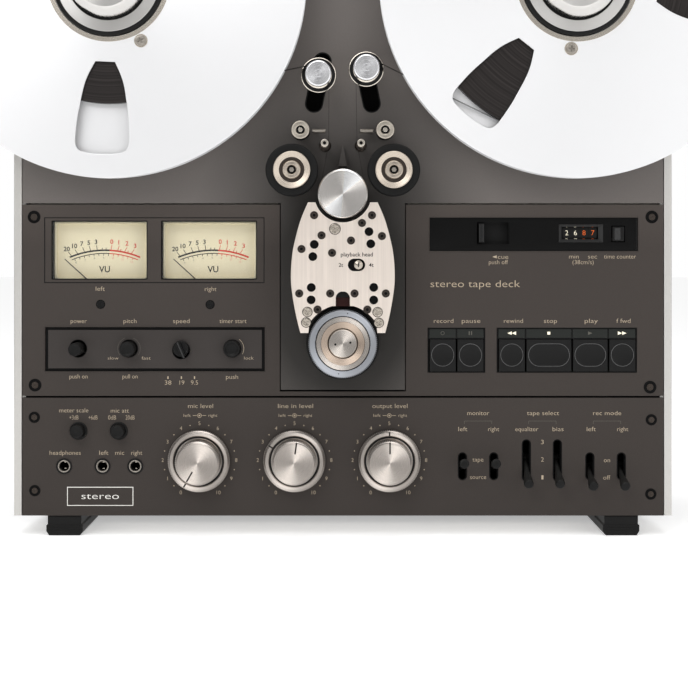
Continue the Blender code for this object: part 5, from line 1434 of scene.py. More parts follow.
class DECK_OT_rollers(bpy.types.Operator):
    """Builds the tension, guide and pinch rollers with their arms, the capstan and the reversing roller"""

    bl_idname = "deck.rollers"
    bl_label = "Rollers"

    def execute(self, context):
        for name, _ in SIDES:
            self.tension(name)
            self.guide(name)
            self.pinch(name)
        self.capstan()
        self.reversing()
        return {"FINISHED"}

    def arm(self, name, kind, pivot, end, back, front, half):
        piece = Piece(f"{name}_{kind}_swing_arm")
        loops = [capsule(pivot, end, half, 16)]
        if kind == "pinch":
            loops.append(circle(*pivot, 2.8 * MM, 24))
        piece.add("zinc_steel", slab(loops, back, front, 0.3 * MM))
        tip = (36.0 if kind == "tension" else 34.0) * MM - (2.5 if kind == "tension" else 4.0) * MM
        post = [(0, tip), (2.5 * MM, tip, 0.3 * MM), (2.5 * MM, back + 1 * MM), (0, back + 1 * MM)]
        piece.add("nickel", turned(post, *end, 32))
        piece.make(f"{name}_{kind}_arm", [f"{name}_{kind}_arm"])

    def tension(self, name):
        x, z = middle(f"{name}_tension_roller")
        joint = next(j for j in frame["joints"] if j["name"] == f"{name}_tension_swing")
        pivot = (joint["pos_m"][0], joint["pos_m"][2])
        self.arm(name, "tension", pivot, (x, z), -7 * MM, -4 * MM, 4.5 * MM)
        metal = f"{name}_tension_metal"
        body = f"{name}_tension_roller"
        piece = Piece(f"{name}_tension_wheel")
        top = 36 * MM
        cap = [(0, top - 0.5 * MM), (2.2 * MM, top - 0.5 * MM), (2.5 * MM, top), (8.0 * MM, top, 0.4 * MM)]
        cap += [(8.9 * MM, top - 0.9 * MM, 0.3 * MM), (8.9 * MM, 33.0 * MM, 0.3 * MM),
            (7.1 * MM, 32.0 * MM), (0, 32.0 * MM)]
        piece.add(metal, turned(cap, x, z, 72))
        core = [(3.0 * MM, 32.2 * MM), (7.1 * MM, 32.2 * MM), (7.1 * MM, 23.8 * MM, 0.3 * MM),
            (3.0 * MM, 23.8 * MM)]
        piece.add("nickel", turned(core, x, z, 64))
        flange = [(3.0 * MM, 24 * MM), (9.0 * MM, 24 * MM), (12.0 * MM, 22.8 * MM, 0.3 * MM),
            (12.0 * MM, 21.6 * MM, 0.3 * MM)]
        flange += [(8.0 * MM, 19.0 * MM), (7.0 * MM, 3.0 * MM), (3.0 * MM, 3.0 * MM)]
        piece.add("nickel", turned(flange, x, z, 72))
        piece.add("satin_black", turned([(9.1 * MM, 22.9 * MM), (9.1 * MM, 24.15 * MM),
            (10.2 * MM, 23.6 * MM), (11.4 * MM, 23.2 * MM), (11.4 * MM, 22.5 * MM)], x, z, 72))
        piece.make(body, [body])

    def guide(self, name):
        node = f"{name}_guide_roller"
        x, z = middle(node)
        top = front_of(node)
        piece = Piece(f"{name}_guide_wheel")
        cap = [(2.95 * MM, top - 0.4 * MM), (3.4 * MM, top), (5.9 * MM, top, 0.4 * MM),
            (6.4 * MM, top - 0.8 * MM)]
        cap += [(6.4 * MM, top - 2.0 * MM), (5.6 * MM, top - 2.5 * MM), (5.6 * MM, 24 * MM),
            (2.95 * MM, 24 * MM)]
        piece.add(f"{name}_guide_metal", turned(cap, x, z, 64))
        # Dark inside the cap's bore: painted shade.
        piece.add("dark_joint_and_shade", turned([(0, top - 0.7 * MM), (2.95 * MM, top - 0.7 * MM),
            (2.95 * MM, top - 2.5 * MM), (0, top - 2.5 * MM)], x, z, 40))
        piece.add("nickel", slab([circle(x, z, 1.7 * MM, 6)], top - 1.2 * MM, top - 0.2 * MM, 0.1 * MM))
        skirt = [(2.2 * MM, 24.2 * MM), (5.4 * MM, 24.2 * MM), (6.4 * MM, 23.2 * MM, 0.3 * MM),
            (6.4 * MM, 21.5 * MM, 0.3 * MM)]
        skirt += [(4.9 * MM, 20 * MM), (4.9 * MM, 2 * MM), (2.2 * MM, 2 * MM)]
        piece.add("satin_black", turned(skirt, x, z, 64))
        piece.make(node, [node])

    def pinch(self, name):
        node = f"{name}_pinch_roller"
        x, z = middle(node)
        joint = next(j for j in frame["joints"] if j["name"] == f"{name}_pinch_swing")
        pivot = (joint["pos_m"][0], joint["pos_m"][2])
        self.arm(name, "pinch", pivot, (x, z), -11 * MM, -8 * MM, 5.5 * MM)
        metal = f"{name}_pinch_metal"
        top = 34 * MM
        piece = Piece(f"{name}_pinch_wheel")
        rubber = [(12.4 * MM, top - 2 * MM), (16.9 * MM, top - 2 * MM, 0.4 * MM),
            (17.8 * MM, top - 3.0 * MM, 0.5 * MM)]
        rubber += [(17.8 * MM, 21 * MM, 0.5 * MM), (17.0 * MM, 20 * MM), (2.9 * MM, 20 * MM),
            (2.9 * MM, 24 * MM), (12.4 * MM, 24 * MM)]
        piece.add("roller_rubber", turned(rubber, x, z, 96))
        wheel = [(8.6 * MM, top - 1.1 * MM), (12.1 * MM, top - 0.1 * MM, 0.2 * MM),
            (12.6 * MM, top - 0.4 * MM, 0.2 * MM)]
        wheel += [(12.6 * MM, top - 3 * MM), (8.6 * MM, top - 3 * MM)]
        piece.add(metal, turned(wheel, x, z, 96))
        step = [(6.1 * MM, top - 1.9 * MM), (8.7 * MM, top - 1.9 * MM), (8.7 * MM, top - 4 * MM),
            (6.1 * MM, top - 4 * MM)]
        piece.add("screw_dark", turned(step, x, z, 80))
        boss = [(2.9 * MM, top + 0.9 * MM), (3.4 * MM, top + 1.5 * MM, 0.2 * MM),
            (5.6 * MM, top + 1.5 * MM, 0.3 * MM)]
        boss += [(6.2 * MM, top + 0.8 * MM, 0.2 * MM), (6.2 * MM, top - 9 * MM), (2.9 * MM, top - 9 * MM)]
        piece.add(metal, turned(boss, x, z, 72))
        # Dark inside the boss: painted shade in its bore.
        piece.add("dark_joint_and_shade", turned([(0, top + 0.3 * MM), (2.95 * MM, top + 0.3 * MM),
            (2.95 * MM, top - 3.4 * MM), (0, top - 3.4 * MM)], x, z, 40))
        piece.add("small_metal", slab([circle(x, z, 1.7 * MM, 6)], top - 0.2 * MM, top + 0.6 * MM,
            0.1 * MM))
        sleeve = [(2.85 * MM, 20.2 * MM), (7.0 * MM, 20.2 * MM), (7.0 * MM, 2 * MM), (2.85 * MM, 2 * MM)]
        piece.add("satin_black", turned(sleeve, x, z, 48))
        piece.make(node, [node])

    def capstan(self):
        x, z = middle("capstan")
        top, back = front_of("capstan"), back_of("capstan")
        piece = Piece("capstan_wheel")
        profile = [(0, top - 0.15 * MM), (15.6 * MM, top - 0.1 * MM), (15.9 * MM, top, 0.1 * MM),
            (16.9 * MM, top - 0.9 * MM, 0.2 * MM)]
        profile += [(16.9 * MM, 7 * MM, 0.5 * MM), (15.9 * MM, 6 * MM), (4 * MM, 6 * MM), (4 * MM, back),
            (0, back)]
        piece.add("capstan_metal", turned(profile, x, z, 128))
        piece.make("capstan", ["capstan"])

    def reversing(self):
        """The large roller: a knurled ring, a silver ring, a dished band and a disc with two holes. The holes
        are drawn as dark spots; these and the dark rings in the gaps between the parts are painted shade.
        """
        node = "reversing_roller"
        x, z = middle(node)
        top = front_of(node)
        piece = Piece("reversing_wheel")
        base = [(4.3 * MM, 22 * MM), (25 * MM, 22 * MM, 0.8 * MM), (25 * MM, 3 * MM, 0.8 * MM),
            (4.3 * MM, 3 * MM)]
        piece.add("satin_black", turned(base, x, z, 128))
        body = [(18.6 * MM, top - 0.9 * MM), (18.6 * MM, top, 0.1 * MM), (22.3 * MM, top, 0.2 * MM),
            (22.9 * MM, top - 0.7 * MM)]
        body += [(22.9 * MM, 22.4 * MM), (22.0 * MM, 21.9 * MM), (18.6 * MM, 21.9 * MM)]
        piece.add("reversing_ring", turned(body, x, z, 128))
        rib = at_origin(brick((-0.25 * MM, -0.32 * MM, 0.25 * MM, 0.32 * MM), 30.8 * MM, top - 0.45 * MM,
            0.12 * MM, 1))
        ribs = copies(
            "Copies in a ring",
            rib,
            "reversing_ring",
            Count=110,
            Radius=22.95 * MM,
            First_angle=0.0,
            Step=math.tau / 110,
            Centre=(x, FACE, z),
        )
        piece.add("reversing_ring", ribs)
        # A dark ring between the knurled ring and the silver ring: painted shade in the gap.
        piece.add("dark_joint_and_shade", turned([(18.0 * MM, top - 0.7 * MM), (18.7 * MM, top - 0.7 * MM),
            (18.7 * MM, top - 3 * MM), (18.0 * MM, top - 3 * MM)], x, z, 96))
        silver = [(14.6 * MM, top - 0.4 * MM), (14.9 * MM, top - 0.05 * MM),
            (17.8 * MM, top - 0.05 * MM, 0.2 * MM)]
        silver += [(18.1 * MM, top - 0.4 * MM), (18.1 * MM, top - 4 * MM), (14.6 * MM, top - 4 * MM)]
        piece.add("reversing_silver", turned(silver, x, z, 96))
        band = [(10.3 * MM, top - 2.2 * MM), (14.7 * MM, top - 0.5 * MM), (14.7 * MM, top - 5 * MM),
            (10.3 * MM, top - 5 * MM)]
        piece.add("reversing_bronze", turned(band, x, z, 96))
        # A dark ring between the band and the disc: painted shade in the gap.
        piece.add("dark_joint_and_shade", turned([(9.8 * MM, top - 2.2 * MM), (10.4 * MM, top - 2.2 * MM),
            (10.4 * MM, top - 5 * MM), (9.8 * MM, top - 5 * MM)], x, z, 80))
        disc = [(0, top - 0.8 * MM), (9.2 * MM, top - 0.8 * MM, 0.3 * MM), (9.8 * MM, top - 1.5 * MM),
            (9.8 * MM, 23 * MM), (0, 23 * MM)]
        piece.add("reversing_silver", turned(disc, x, z, 96))
        # Two dark spots on the disc stand for its holes: painted shade.
        for dx, dz, radius in ((-5.0, -0.5, 0.75), (5.1, 0.7, 0.75)):
            piece.add("dark_joint_and_shade", slab([circle(x + dx * MM, z + dz * MM, radius * MM, 20)],
                top - 0.85 * MM, top - 0.74 * MM))
        for dx, dz in ((3.2, 20.3), (-2.8, -20.3)):
            piece.add("dark_joint_and_shade", slab([circle(x + dx * MM, z + dz * MM, 0.4 * MM, 12)], top - 0.05 * MM,
                top + 0.04 * MM))
        piece.make(node, [node])


class DECK_OT_tape_run(bpy.types.Operator):
    """Builds the loose tape: reel to tension roller, roller to post, and the closed loop round the capstan"""

    bl_idname = "deck.tape_run"
    bl_label = "Loose tape"

    def execute(self, context):
        thick = context.scene.deck_sizes.tape_thickness
        loop = []
        for name, side in SIDES:
            reel = middle(f"{name}_reel")
            low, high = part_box(f"{name}_tape")
            pack = (high.x - low.x) / 2 + 0.35 * MM
            roller = middle(f"{name}_tension_roller")
            groove = 7.2 * MM
            front, back = front_of(f"{name}_tape") - 0.1 * MM, back_of(f"{name}_tape") + 0.1 * MM
            leave, meet = self.tangent(reel, pack, roller, groove, side)
            post = (side * 12.3 * MM, 0.2702)
            off_roller = (roller[0] + -side * groove, roller[1])
            at_post = (post[0] - side * 2.7 * MM, post[1])
            first = math.atan2(meet[1] - roller[1], meet[0] - roller[0])
            last = 0.0 if side < 0 else math.pi
            wrap = [
                (roller[0] + groove * math.cos(first + (last - first) * i / 16),
                    roller[1] + groove * math.sin(first + (last - first) * i / 16))
                for i in range(17)
            ]
            arm = f"{name}_tension_arm"
            straight = [self.between(leave, meet, i / 12) for i in range(13)]
            piece = Piece(f"{name}_tape_from_reel")
            piece.add("tape_band", ribbon(straight, back, front, thick))
            start = (leave[0], ahead(28 * MM), leave[1])
            end = (meet[0], ahead(28 * MM), meet[1])
            piece.make(blend=("deck", arm, start, end))
            piece = Piece(f"{name}_tape_on_roller")
            piece.add("tape_band", ribbon(wrap, back, front, thick))
            piece.make(arm)
            piece = Piece(f"{name}_tape_to_post")
            run = [self.between(off_roller, at_post, i / 12) for i in range(13)]
            piece.add("tape_band", ribbon(run, back, front, thick))
            start = (off_roller[0], ahead(28 * MM), off_roller[1])
            end = (at_post[0], ahead(28 * MM), at_post[1])
            piece.make(blend=(arm, "deck", start, end))
            loop.append(self.half_loop(side, at_post))
        path = loop[0] + loop[1][::-1]
        piece = Piece("tape_loop")
        front, back = front_of("supply_tape") - 0.1 * MM, back_of("supply_tape") + 0.1 * MM
        piece.add("tape_band", ribbon(path, back, front, thick))
        piece.make("deck")
        return {"FINISHED"}

    def between(self, start, end, share):
        return (start[0] + (end[0] - start[0]) * share, start[1] + (end[1] - start[1]) * share)

    def tangent(self, reel, pack, roller, groove, side):
        """The straight run that leaves the pack's lower side and crosses over to the roller's upper side."""
        gap = Vector((roller[0] - reel[0], roller[1] - reel[1]))
        heading = math.atan2(gap.y, gap.x)
        lean = math.acos((pack + groove) / gap.length)
        angle = heading - lean if side < 0 else heading + lean
        leave = (reel[0] + pack * math.cos(angle), reel[1] + pack * math.sin(angle))
        meet = (roller[0] - groove * math.cos(angle), roller[1] - groove * math.sin(angle))
        return leave, meet

    def half_loop(self, side, at_post):
        """From a post through the nip, round the capstan, past the heads and round the large roller."""
        capstan, ring = middle("capstan"), middle("reversing_roller")
        path = [at_post]
        nip = 180 - 25.3 if side < 0 else 25.3
        grip = 17.1 * MM
        path += [spot(*capstan, grip, nip + (-side) * index * 9) for index in range(-1, 8)]
        path.append((side * 19.0 * MM, 0.2125))
        path.append((side * 24.2 * MM, 0.1800))
        first = 180 + 8 if side < 0 else -8
        path += [spot(*ring, 23.3 * MM, first + (-side) * index * 10.2) for index in range(9)]
        return path


# ---------------------------------------------------------------- panels

CONTROL_WORDS = (
    ("power", -183.2, 148.8, 11.1), ("pitch", -147.5, 148.8, 9.0), ("speed", -111.9, 148.8, 11.4),
    ("timer start", -76.1, 148.8, 18.7), ("push on", -183.2, 110.4, 12.5), ("pull on", -147.5, 110.4, 10.4),
    ("push", -76.8, 110.1, 8.3), ("38", -121.2, 106.1, 4.5), ("19", -111.9, 106.1, 3.3),
    ("9.5", -102.8, 106.1, 4.9), ("left", -168.3, 171.2, 6.2), ("right", -91.8, 171.0, 8.0),
    ("cue", 111.0, 193.3, 7.3), ("push off", 107.6, 189.6, 13.2), ("min", 160.1, 193.5, 6.6),
    ("sec", 173.0, 193.5, 6.2), ("(38cm/s)", 166.5, 189.6, 14.6), ("time counter", 192.1, 193.5, 22.2),
    ("record", 69.8, 148.9, 13.5), ("pause", 88.8, 148.9, 12.8), ("rewind", 118.2, 148.9, 13.2),
    ("stop", 143.9, 148.9, 9.0), ("play", 172.0, 148.9, 9.0), ("f fwd", 194.6, 148.9, 9.7),
)
RECESS_WORDS = (("slow", -159.3, 123.1, 7.3), ("fast", -136.4, 123.1, 6.2), ("lock", -65.3, 123.1, 6.6))
LOWER_WORDS = (
    ("meter scale", -186.5, 86.9, 20.1), ("mic att", -154.7, 86.7, 12.5),
    ("headphones", -192.5, 57.5, 21.5),
    ("left", -165.8, 57.5, 6.2), ("mic", -154.7, 57.5, 6.2), ("right", -143.0, 57.5, 7.6),
    ("mic level", -98.6, 89.9, 17.3), ("line in level", -32.8, 89.9, 24.3),
    ("output level", 32.7, 89.9, 24.3),
    ("monitor", 93.7, 85.0, 15.2), ("tape select", 138.7, 85.0, 22.2), ("rec mode", 183.1, 85.0, 19.4),
    ("left", 83.0, 73.9, 6.2), ("right", 104.4, 73.9, 7.6), ("equalizer", 127.4, 73.9, 15.9),
    ("bias", 149.1, 73.9, 7.6), ("left", 172.0, 73.9, 6.2), ("right", 193.8, 73.9, 7.6),
    ("tape", 93.7, 52.8, 7.6), ("source", 93.7, 40.7, 11.1), ("3", 138.3, 64.9, 1.9),
    ("2", 138.3, 52.8, 1.9),
    ("1", 138.3, 40.4, 1.4), ("on", 183.1, 52.4, 4.2), ("off", 182.7, 40.3, 4.9),
    ("+3dB", -186.4, 81.9, 6.2),
    ("+6dB", -173.2, 81.9, 6.2), ("0dB", -159.9, 81.9, 5.5), ("20dB", -147.5, 81.9, 6.2),
)


def print_words(piece, table, height, size, finish="words_beige"):
    for text, x, z, width in table:
        piece.add(finish, words(text, x * MM, z * MM, height, size, width * MM))


def counterbored_screws(piece, places, radius):
    """Dark panel screws in black rings, each on a dark disc that is painted shade standing for its recess."""
    for x, z in places:
        ring = [(radius - 0.9 * MM, 0.0), (radius - 0.7 * MM, 0.35 * MM), (radius, 0.35 * MM, 0.15 * MM),
            (radius, 0.0)]
        piece.add("dark_joint_and_shade", turned(ring, x * MM, z * MM, 40))
        # A dark disc round each screw: painted shade standing for the recess.
        piece.add("dark_joint_and_shade", slab([circle(x * MM, z * MM, radius - 0.8 * MM, 32)], -0.2 * MM, 0.05 * MM))
    at = [(x * MM, z * MM) for x, z in places]
    piece.add("screw_dark", screws_at(hex_screw(radius * 0.52, 0.5 * MM), "screw_dark", at, 0.0))


class DECK_OT_control_panel(bpy.types.Operator):
    """Builds the U-shaped control panel with its recesses, lettering and screws"""

    bl_idname = "deck.control_panel"
    bl_label = "Control panel"

    def execute(self, context):
        sizes = context.scene.deck_sizes
        low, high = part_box("control_panel")
        inner = 0.0436
        strip_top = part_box("deck_plate")[0].z - 1 * MM
        outer = [(low.x, low.z), (high.x, low.z), (high.x, high.z), (inner, high.z), (inner, strip_top)]
        outer += [(-inner, strip_top), (-inner, high.z), (low.x, high.z)]
        switch_row = (-0.2063, 0.1141, -0.0542, 0.1446)
        counter_row = (0.0602, 0.1975, 0.2044, 0.2205)
        groups = [(0.0588, 0.1132, 0.0986, 0.1442), (0.1067, 0.1132, 0.2038, 0.1442)]
        meters = (-0.2068, 0.1754, -0.0545, 0.2206)
        loops = [outer] + [box_outline(*area) for area in (switch_row, counter_row, meters, *groups)]
        piece = Piece("control_face")
        piece.add("panel_paint", slab(loops, -3 * MM, 0.0, sizes.panel_edge * 0.7))
        self.switch_floor(piece, switch_row)
        for area in groups:
            piece.add("dark_joint_and_shade", slab(frame_lines(area, 0.7 * MM), -2.9 * MM, 0.1 * MM, 0.1 * MM))
            piece.add("gloss_black", brick((area[0], 0.1365, area[2], area[3]), -2.9 * MM, -0.5 * MM,
                0.1 * MM))
        for area in (meters,):
            piece.add("satin_black", slab(frame_lines(grown(area, 0.15 * MM), 0.5 * MM), -1 * MM, 0.12 * MM,
                0.08 * MM))
        rim = [outline_shift(area) for area in (switch_row, counter_row)]
        for lines in rim:
            piece.add("panel_paint", slab(lines, -0.2 * MM, 0.25 * MM, 0.1 * MM))
        print_words(piece, CONTROL_WORDS, 0.0, sizes.label_size)
        for x in (-121.2, -111.9, -102.8):
            piece.add("words_beige", slab([box_outline((x - 0.4) * MM, 0.1088, (x + 0.4) * MM, 0.1106)],
                0.0, 0.05 * MM))
        arrow = [(0.1036, 0.1934), (0.1066, 0.1945), (0.1066, 0.1923)]
        piece.add("words_beige", slab([arrow], 0.0, 0.05 * MM))
        piece.add("words_beige", words("stereo tape deck", 0.0603, 0.1745, 0.0, 7.0 * MM, 62 * MM, "LEFT"))
        places = ((-214, 221), (-213.3, 104.5), (214.2, 221), (212.9, 103.1))
        counterbored_screws(piece, places, 4.4 * MM)
        zero = [(-0.1679, 0.1605), (-0.0920, 0.1603)]
        for x, z in zero:
            # A dark disc round each zero screw: painted shade in its hole.
            piece.add("dark_joint_and_shade", slab([circle(x, z, 3.2 * MM, 32)], -0.2 * MM, 0.08 * MM))
        piece.add("satin_black", screws_at(slot_screw(2.5 * MM, 0.6 * MM), "satin_black", zero, 0.0, 2.0,
            4))
        piece.make("deck", ["control_panel"], sharp=28)
        return {"FINISHED"}

    def switch_floor(self, piece, area):
        """The sunken plate behind the four small controls, in a black frame."""
        piece.add("dark_joint_and_shade", slab(frame_lines(grown(area, -0.2 * MM), 1.7 * MM), -2.4 * MM, -1.2 * MM,
            0.2 * MM))
        holes = [circle(*middle(node), 6.0 * MM, 40)
            for node in ("power_button", "pitch_knob", "speed_selector", "timer_knob")]
        piece.add("recess_paint",
            slab([box_outline(*grown(area, -1.9 * MM)), *holes], -2.6 * MM, -0.6 * MM, 0.3 * MM))
        for node in ("power_button", "pitch_knob", "speed_selector", "timer_knob"):
            x, z = middle(node)
            collar = [(5.85 * MM, -0.5 * MM), (5.85 * MM, -2.4 * MM), (6.3 * MM, -2.4 * MM),
                (6.3 * MM, -0.4 * MM, 0.15 * MM)]
            # A dark ring in the gap round each control: painted shade.
            piece.add("dark_joint_and_shade", turned(collar, x, z, 48))
        print_words(piece, RECESS_WORDS, -0.6 * MM, 3.0 * MM)
        x, z = middle("pitch_knob")
        for first, last in ((112, 215), (-35, 68)):
            piece.add("words_faint", slab([arc_band(x, z, 7.8 * MM, 0.28 * MM, first, last)], -0.6 * MM,
                -0.54 * MM))
        x, z = middle("timer_knob")
        piece.add("words_beige", slab([arc_band(x, z, 8.0 * MM, 0.28 * MM, -28, 52)], -0.6 * MM,
            -0.54 * MM))


def outline_shift(area):
    """A fine raised lip round a recess."""
    return [box_outline(*grown(area, 1.0 * MM)), box_outline(*grown(area, 0.35 * MM))]


class DECK_OT_meters(bpy.types.Operator):
    """Builds the meter case with its two dials and lenses, and the needles"""

    bl_idname = "deck.meters"
    bl_label = "Meters"

    def execute(self, context):
        area = (-0.2065, 0.1757, -0.0548, 0.2203)
        piece = Piece("meter_housing")
        windows = []
        pivots = [(middle_x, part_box("meter_case")[0].z + 9 * MM) for middle_x in (-0.1687, -0.0928)]
        for x, _ in pivots:
            windows.append(box_outline(x - 33.2 * MM, 0.1776, x + 33.2 * MM, 0.2185, 0.8 * MM))
        piece.add("panel_paint", slab([box_outline(*area), *windows], -2.5 * MM, -0.15 * MM, 0.3 * MM))
        low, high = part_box("meter_case")
        piece.add("matte_black", brick((low.x, low.z, high.x, high.z), back_of("meter_case"), -13 * MM,
            0.8 * MM))
        inside = [box_outline(low.x, low.z, high.x, high.z)]
        inside += [box_outline(x - 33.7 * MM, low.z + 3 * MM, x + 33.7 * MM, 0.2190) for x, _ in pivots]
        piece.add("matte_black", slab(inside, -13.5 * MM, -3.3 * MM))
        for x, z in pivots:
            self.dial(piece, x)
            ring = [box_outline(x - 33.2 * MM, 0.1776, x + 33.2 * MM, 0.2185),
                box_outline(x - 32.6 * MM, 0.1782, x + 32.6 * MM, 0.2179)]
            piece.add("dark_joint_and_shade", slab(ring, -11 * MM, -0.5 * MM))
        piece.make("deck", ["meter_case"])
        lens = Piece("meter_lenses")
        for x, _ in pivots:
            lens.add("clear_lens", brick((x - 33.0 * MM, 0.1778, x + 33.0 * MM, 0.2183), -2.0 * MM,
                -1.0 * MM, 0.3 * MM))
        lens.make("deck")
        for side, (x, z) in zip(("left", "right"), pivots):
            self.needle(side, x, z)
        return {"FINISHED"}

    def dial(self, piece, x):
        """A cream card with two curved scales, black then red, with ticks and numbers."""
        back, face = -12.3 * MM, -11.6 * MM
        card = (x - 33.1 * MM, 0.1700, x + 33.1 * MM, 0.2186)
        piece.add("dial_paper", brick(card, back, face, 0.0))
        edge = [box_outline(x - 32.7 * MM, 0.1781, x + 32.7 * MM, 0.2180),
            box_outline(x - 30.9 * MM, 0.1790, x + 30.9 * MM, 0.2166, 1.5 * MM)]
        piece.add("dial_paper", slab(edge, face - 0.2 * MM, -8.9 * MM, 0.8 * MM, 2))
        centre = (x + 2.2 * MM, 0.1339)
        top = face + 0.05 * MM
        black, red = "words_black", "words_red"
        upper, lower = 64.1 * MM, 61.9 * MM
        split = 87.0
        piece.add(black, slab([arc_band(*centre, upper, 1.15 * MM, 112.6, split)], face, top))
        piece.add(red, slab([arc_band(*centre, upper, 1.15 * MM, split, 67.4)], face, top))
        piece.add(black, slab([arc_band(*centre, lower, 0.6 * MM, 112.0, split)], face, top))
        piece.add(red, slab([arc_band(*centre, lower, 0.65 * MM, split, 68.0)], face, top))
        marks = ((111.1, "20", -24.5, 198.7), (107.1, "10", -19.4, 200.8), (102.7, "7", -14.1, 202.4))
        marks += ((98.9, "5", -9.1, 203.1), (94.8, "3", -4.0, 203.7), (86.3, "0", 7.0, 203.8))
        marks += ((82.2, "1", 11.9, 203.4), (77.8, "2", 17.6, 202.6), (73.5, "3", 23.4, 200.9))
        pivot = (x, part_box("meter_case")[0].z + 9 * MM)
        for index, (angle, text, shift, number_z) in enumerate(marks):
            finish = black if index < 5 else red
            foot = spot(*centre, upper, angle)
            heading = math.degrees(math.atan2(foot[1] - pivot[1], foot[0] - pivot[0]))
            piece.add(finish, slab([stroke(foot, spot(*foot, 3.9 * MM, heading), 0.42 * MM)], face, top))
            piece.add(finish, words(text, x + shift * MM, number_z * MM, face, 4.4 * MM, weight=0.02))
        for index, angle in enumerate((91.6, 89.3, 80.2, 75.6)):
            finish = black if index < 2 else red
            tick = stroke(spot(*centre, upper, angle), spot(*centre, upper + 1.8 * MM, angle), 0.42 * MM)
            piece.add(finish, slab([tick], face, top))
        for index in range(13):
            angle = 110.0 - index * 3.2
            finish = black if angle > split else red
            tick = stroke(spot(*centre, lower, angle), spot(*centre, lower - 1.6 * MM, angle), 0.42 * MM)
            piece.add(finish, slab([tick], face, top))
            if index % 2 == 0:
                piece.add(finish, words(str(index), *spot(*centre, lower - 3.0 * MM, angle), face,
                    2.0 * MM))
        piece.add(red, words("+", x + 26.6 * MM, 0.1927, face, 2.6 * MM))
        piece.add(black, words("VU", x + 2.1 * MM, 0.1845, face, 6.2 * MM, 7.6 * MM, weight=0.015))

    def needle(self, side, x, z):
        node = f"{side}_meter_needle"
        piece = Piece(f"{side}_needle")
        piece.add("satin_black", turned([(0, -7 * MM), (4 * MM, -7 * MM, 0.5 * MM), (4 * MM, -10.5 * MM),
            (0, -10.5 * MM)], x, z, 48))
        tip = spot(x, z, 34.2 * MM, 137.7)
        tail = spot(x, z, -6.0 * MM, 137.7)
        across = spot(0, 0, 0.42 * MM, 227.7)
        blade = [(tail[0] + across[0], tail[1] + across[1]),
            (tip[0] + across[0] * 0.7, tip[1] + across[1] * 0.7)]
        blade += [(tip[0] - across[0] * 0.7, tip[1] - across[1] * 0.7),
            (tail[0] - across[0], tail[1] - across[1])]
        piece.add("words_black", slab([blade], -8.4 * MM, -7.9 * MM))
        piece.make(node, [node])


class DECK_OT_switches(bpy.types.Operator):
    """Builds the power button, pitch knob, speed selector and timer knob"""

    bl_idname = "deck.switches"
    bl_label = "Switch row"

    def execute(self, context):
        for node, radius, dish in (("power_button", 4.5, 0.25), ("pitch_knob", 5.2, 0.4),
            ("timer_knob", 5.7, 1.2)):
            self.cap(node, radius * MM, dish * MM)
        self.selector()
        return {"FINISHED"}

    def cap(self, node, radius, dish):
        x, z = middle(node)
        top, back = front_of(node), back_of(node)
        profile = [(0, top - dish), (radius * 0.6, top - dish, 0.5 * MM),
            (radius * 0.82, top - 0.05 * MM, 0.3 * MM)]
        profile += [(radius - 0.2 * MM, top - 0.1 * MM, 0.4 * MM), (radius, top - 1.0 * MM), (radius, back),
            (0, back)]
        piece = Piece(node + "_cap")
        piece.add("satin_black", turned(profile, x, z, 64))
        if node != "power_button":
            rib = at_origin(brick((-0.2 * MM, -0.22 * MM, 0.2 * MM, 0.22 * MM), 0.6 * MM, top - 1.1 * MM,
                0.1 * MM, 1))
            ribs = copies(
                "Copies in a ring", rib, "satin_black", Count=36, Radius=radius, Step=math.tau / 36,
                Centre=(x, FACE, z)
            )
            piece.add("satin_black", ribs)
        piece.make(node, [node])

    def selector(self):
        node = "speed_selector"
        x, z = 0.0 - 0.1121, middle("power_button")[1]
        piece = Piece("speed_selector_pointer")
        base = [(0, 4 * MM), (5.0 * MM, 4 * MM, 0.5 * MM), (5.6 * MM, 3.2 * MM, 0.3 * MM),
            (5.6 * MM, back_of(node)), (0, back_of(node))]
        piece.add("satin_black", turned(base, x, z, 64))
        for shift in (-1.1, 0.0, 1.1):
            aside = spot(0, 0, shift * MM, 23)
            start = spot(x, z, 4.7 * MM, 113)
            end = spot(x, z, 6.4 * MM - abs(shift) * 1.1 * MM, -67)
            bar = capsule((start[0] + aside[0], start[1] + aside[1]),
                (end[0] + aside[0], end[1] + aside[1]), 0.5 * MM, 6)
            # The middle bar is lighter grey: a painted highlight along its ridge.
            piece.add("satin_black" if shift else "ridge_highlight_grey",
                slab([bar], 3 * MM, 8 * MM - abs(shift) * 0.5 * MM, 0.25 * MM))
        piece.make(node, [node])


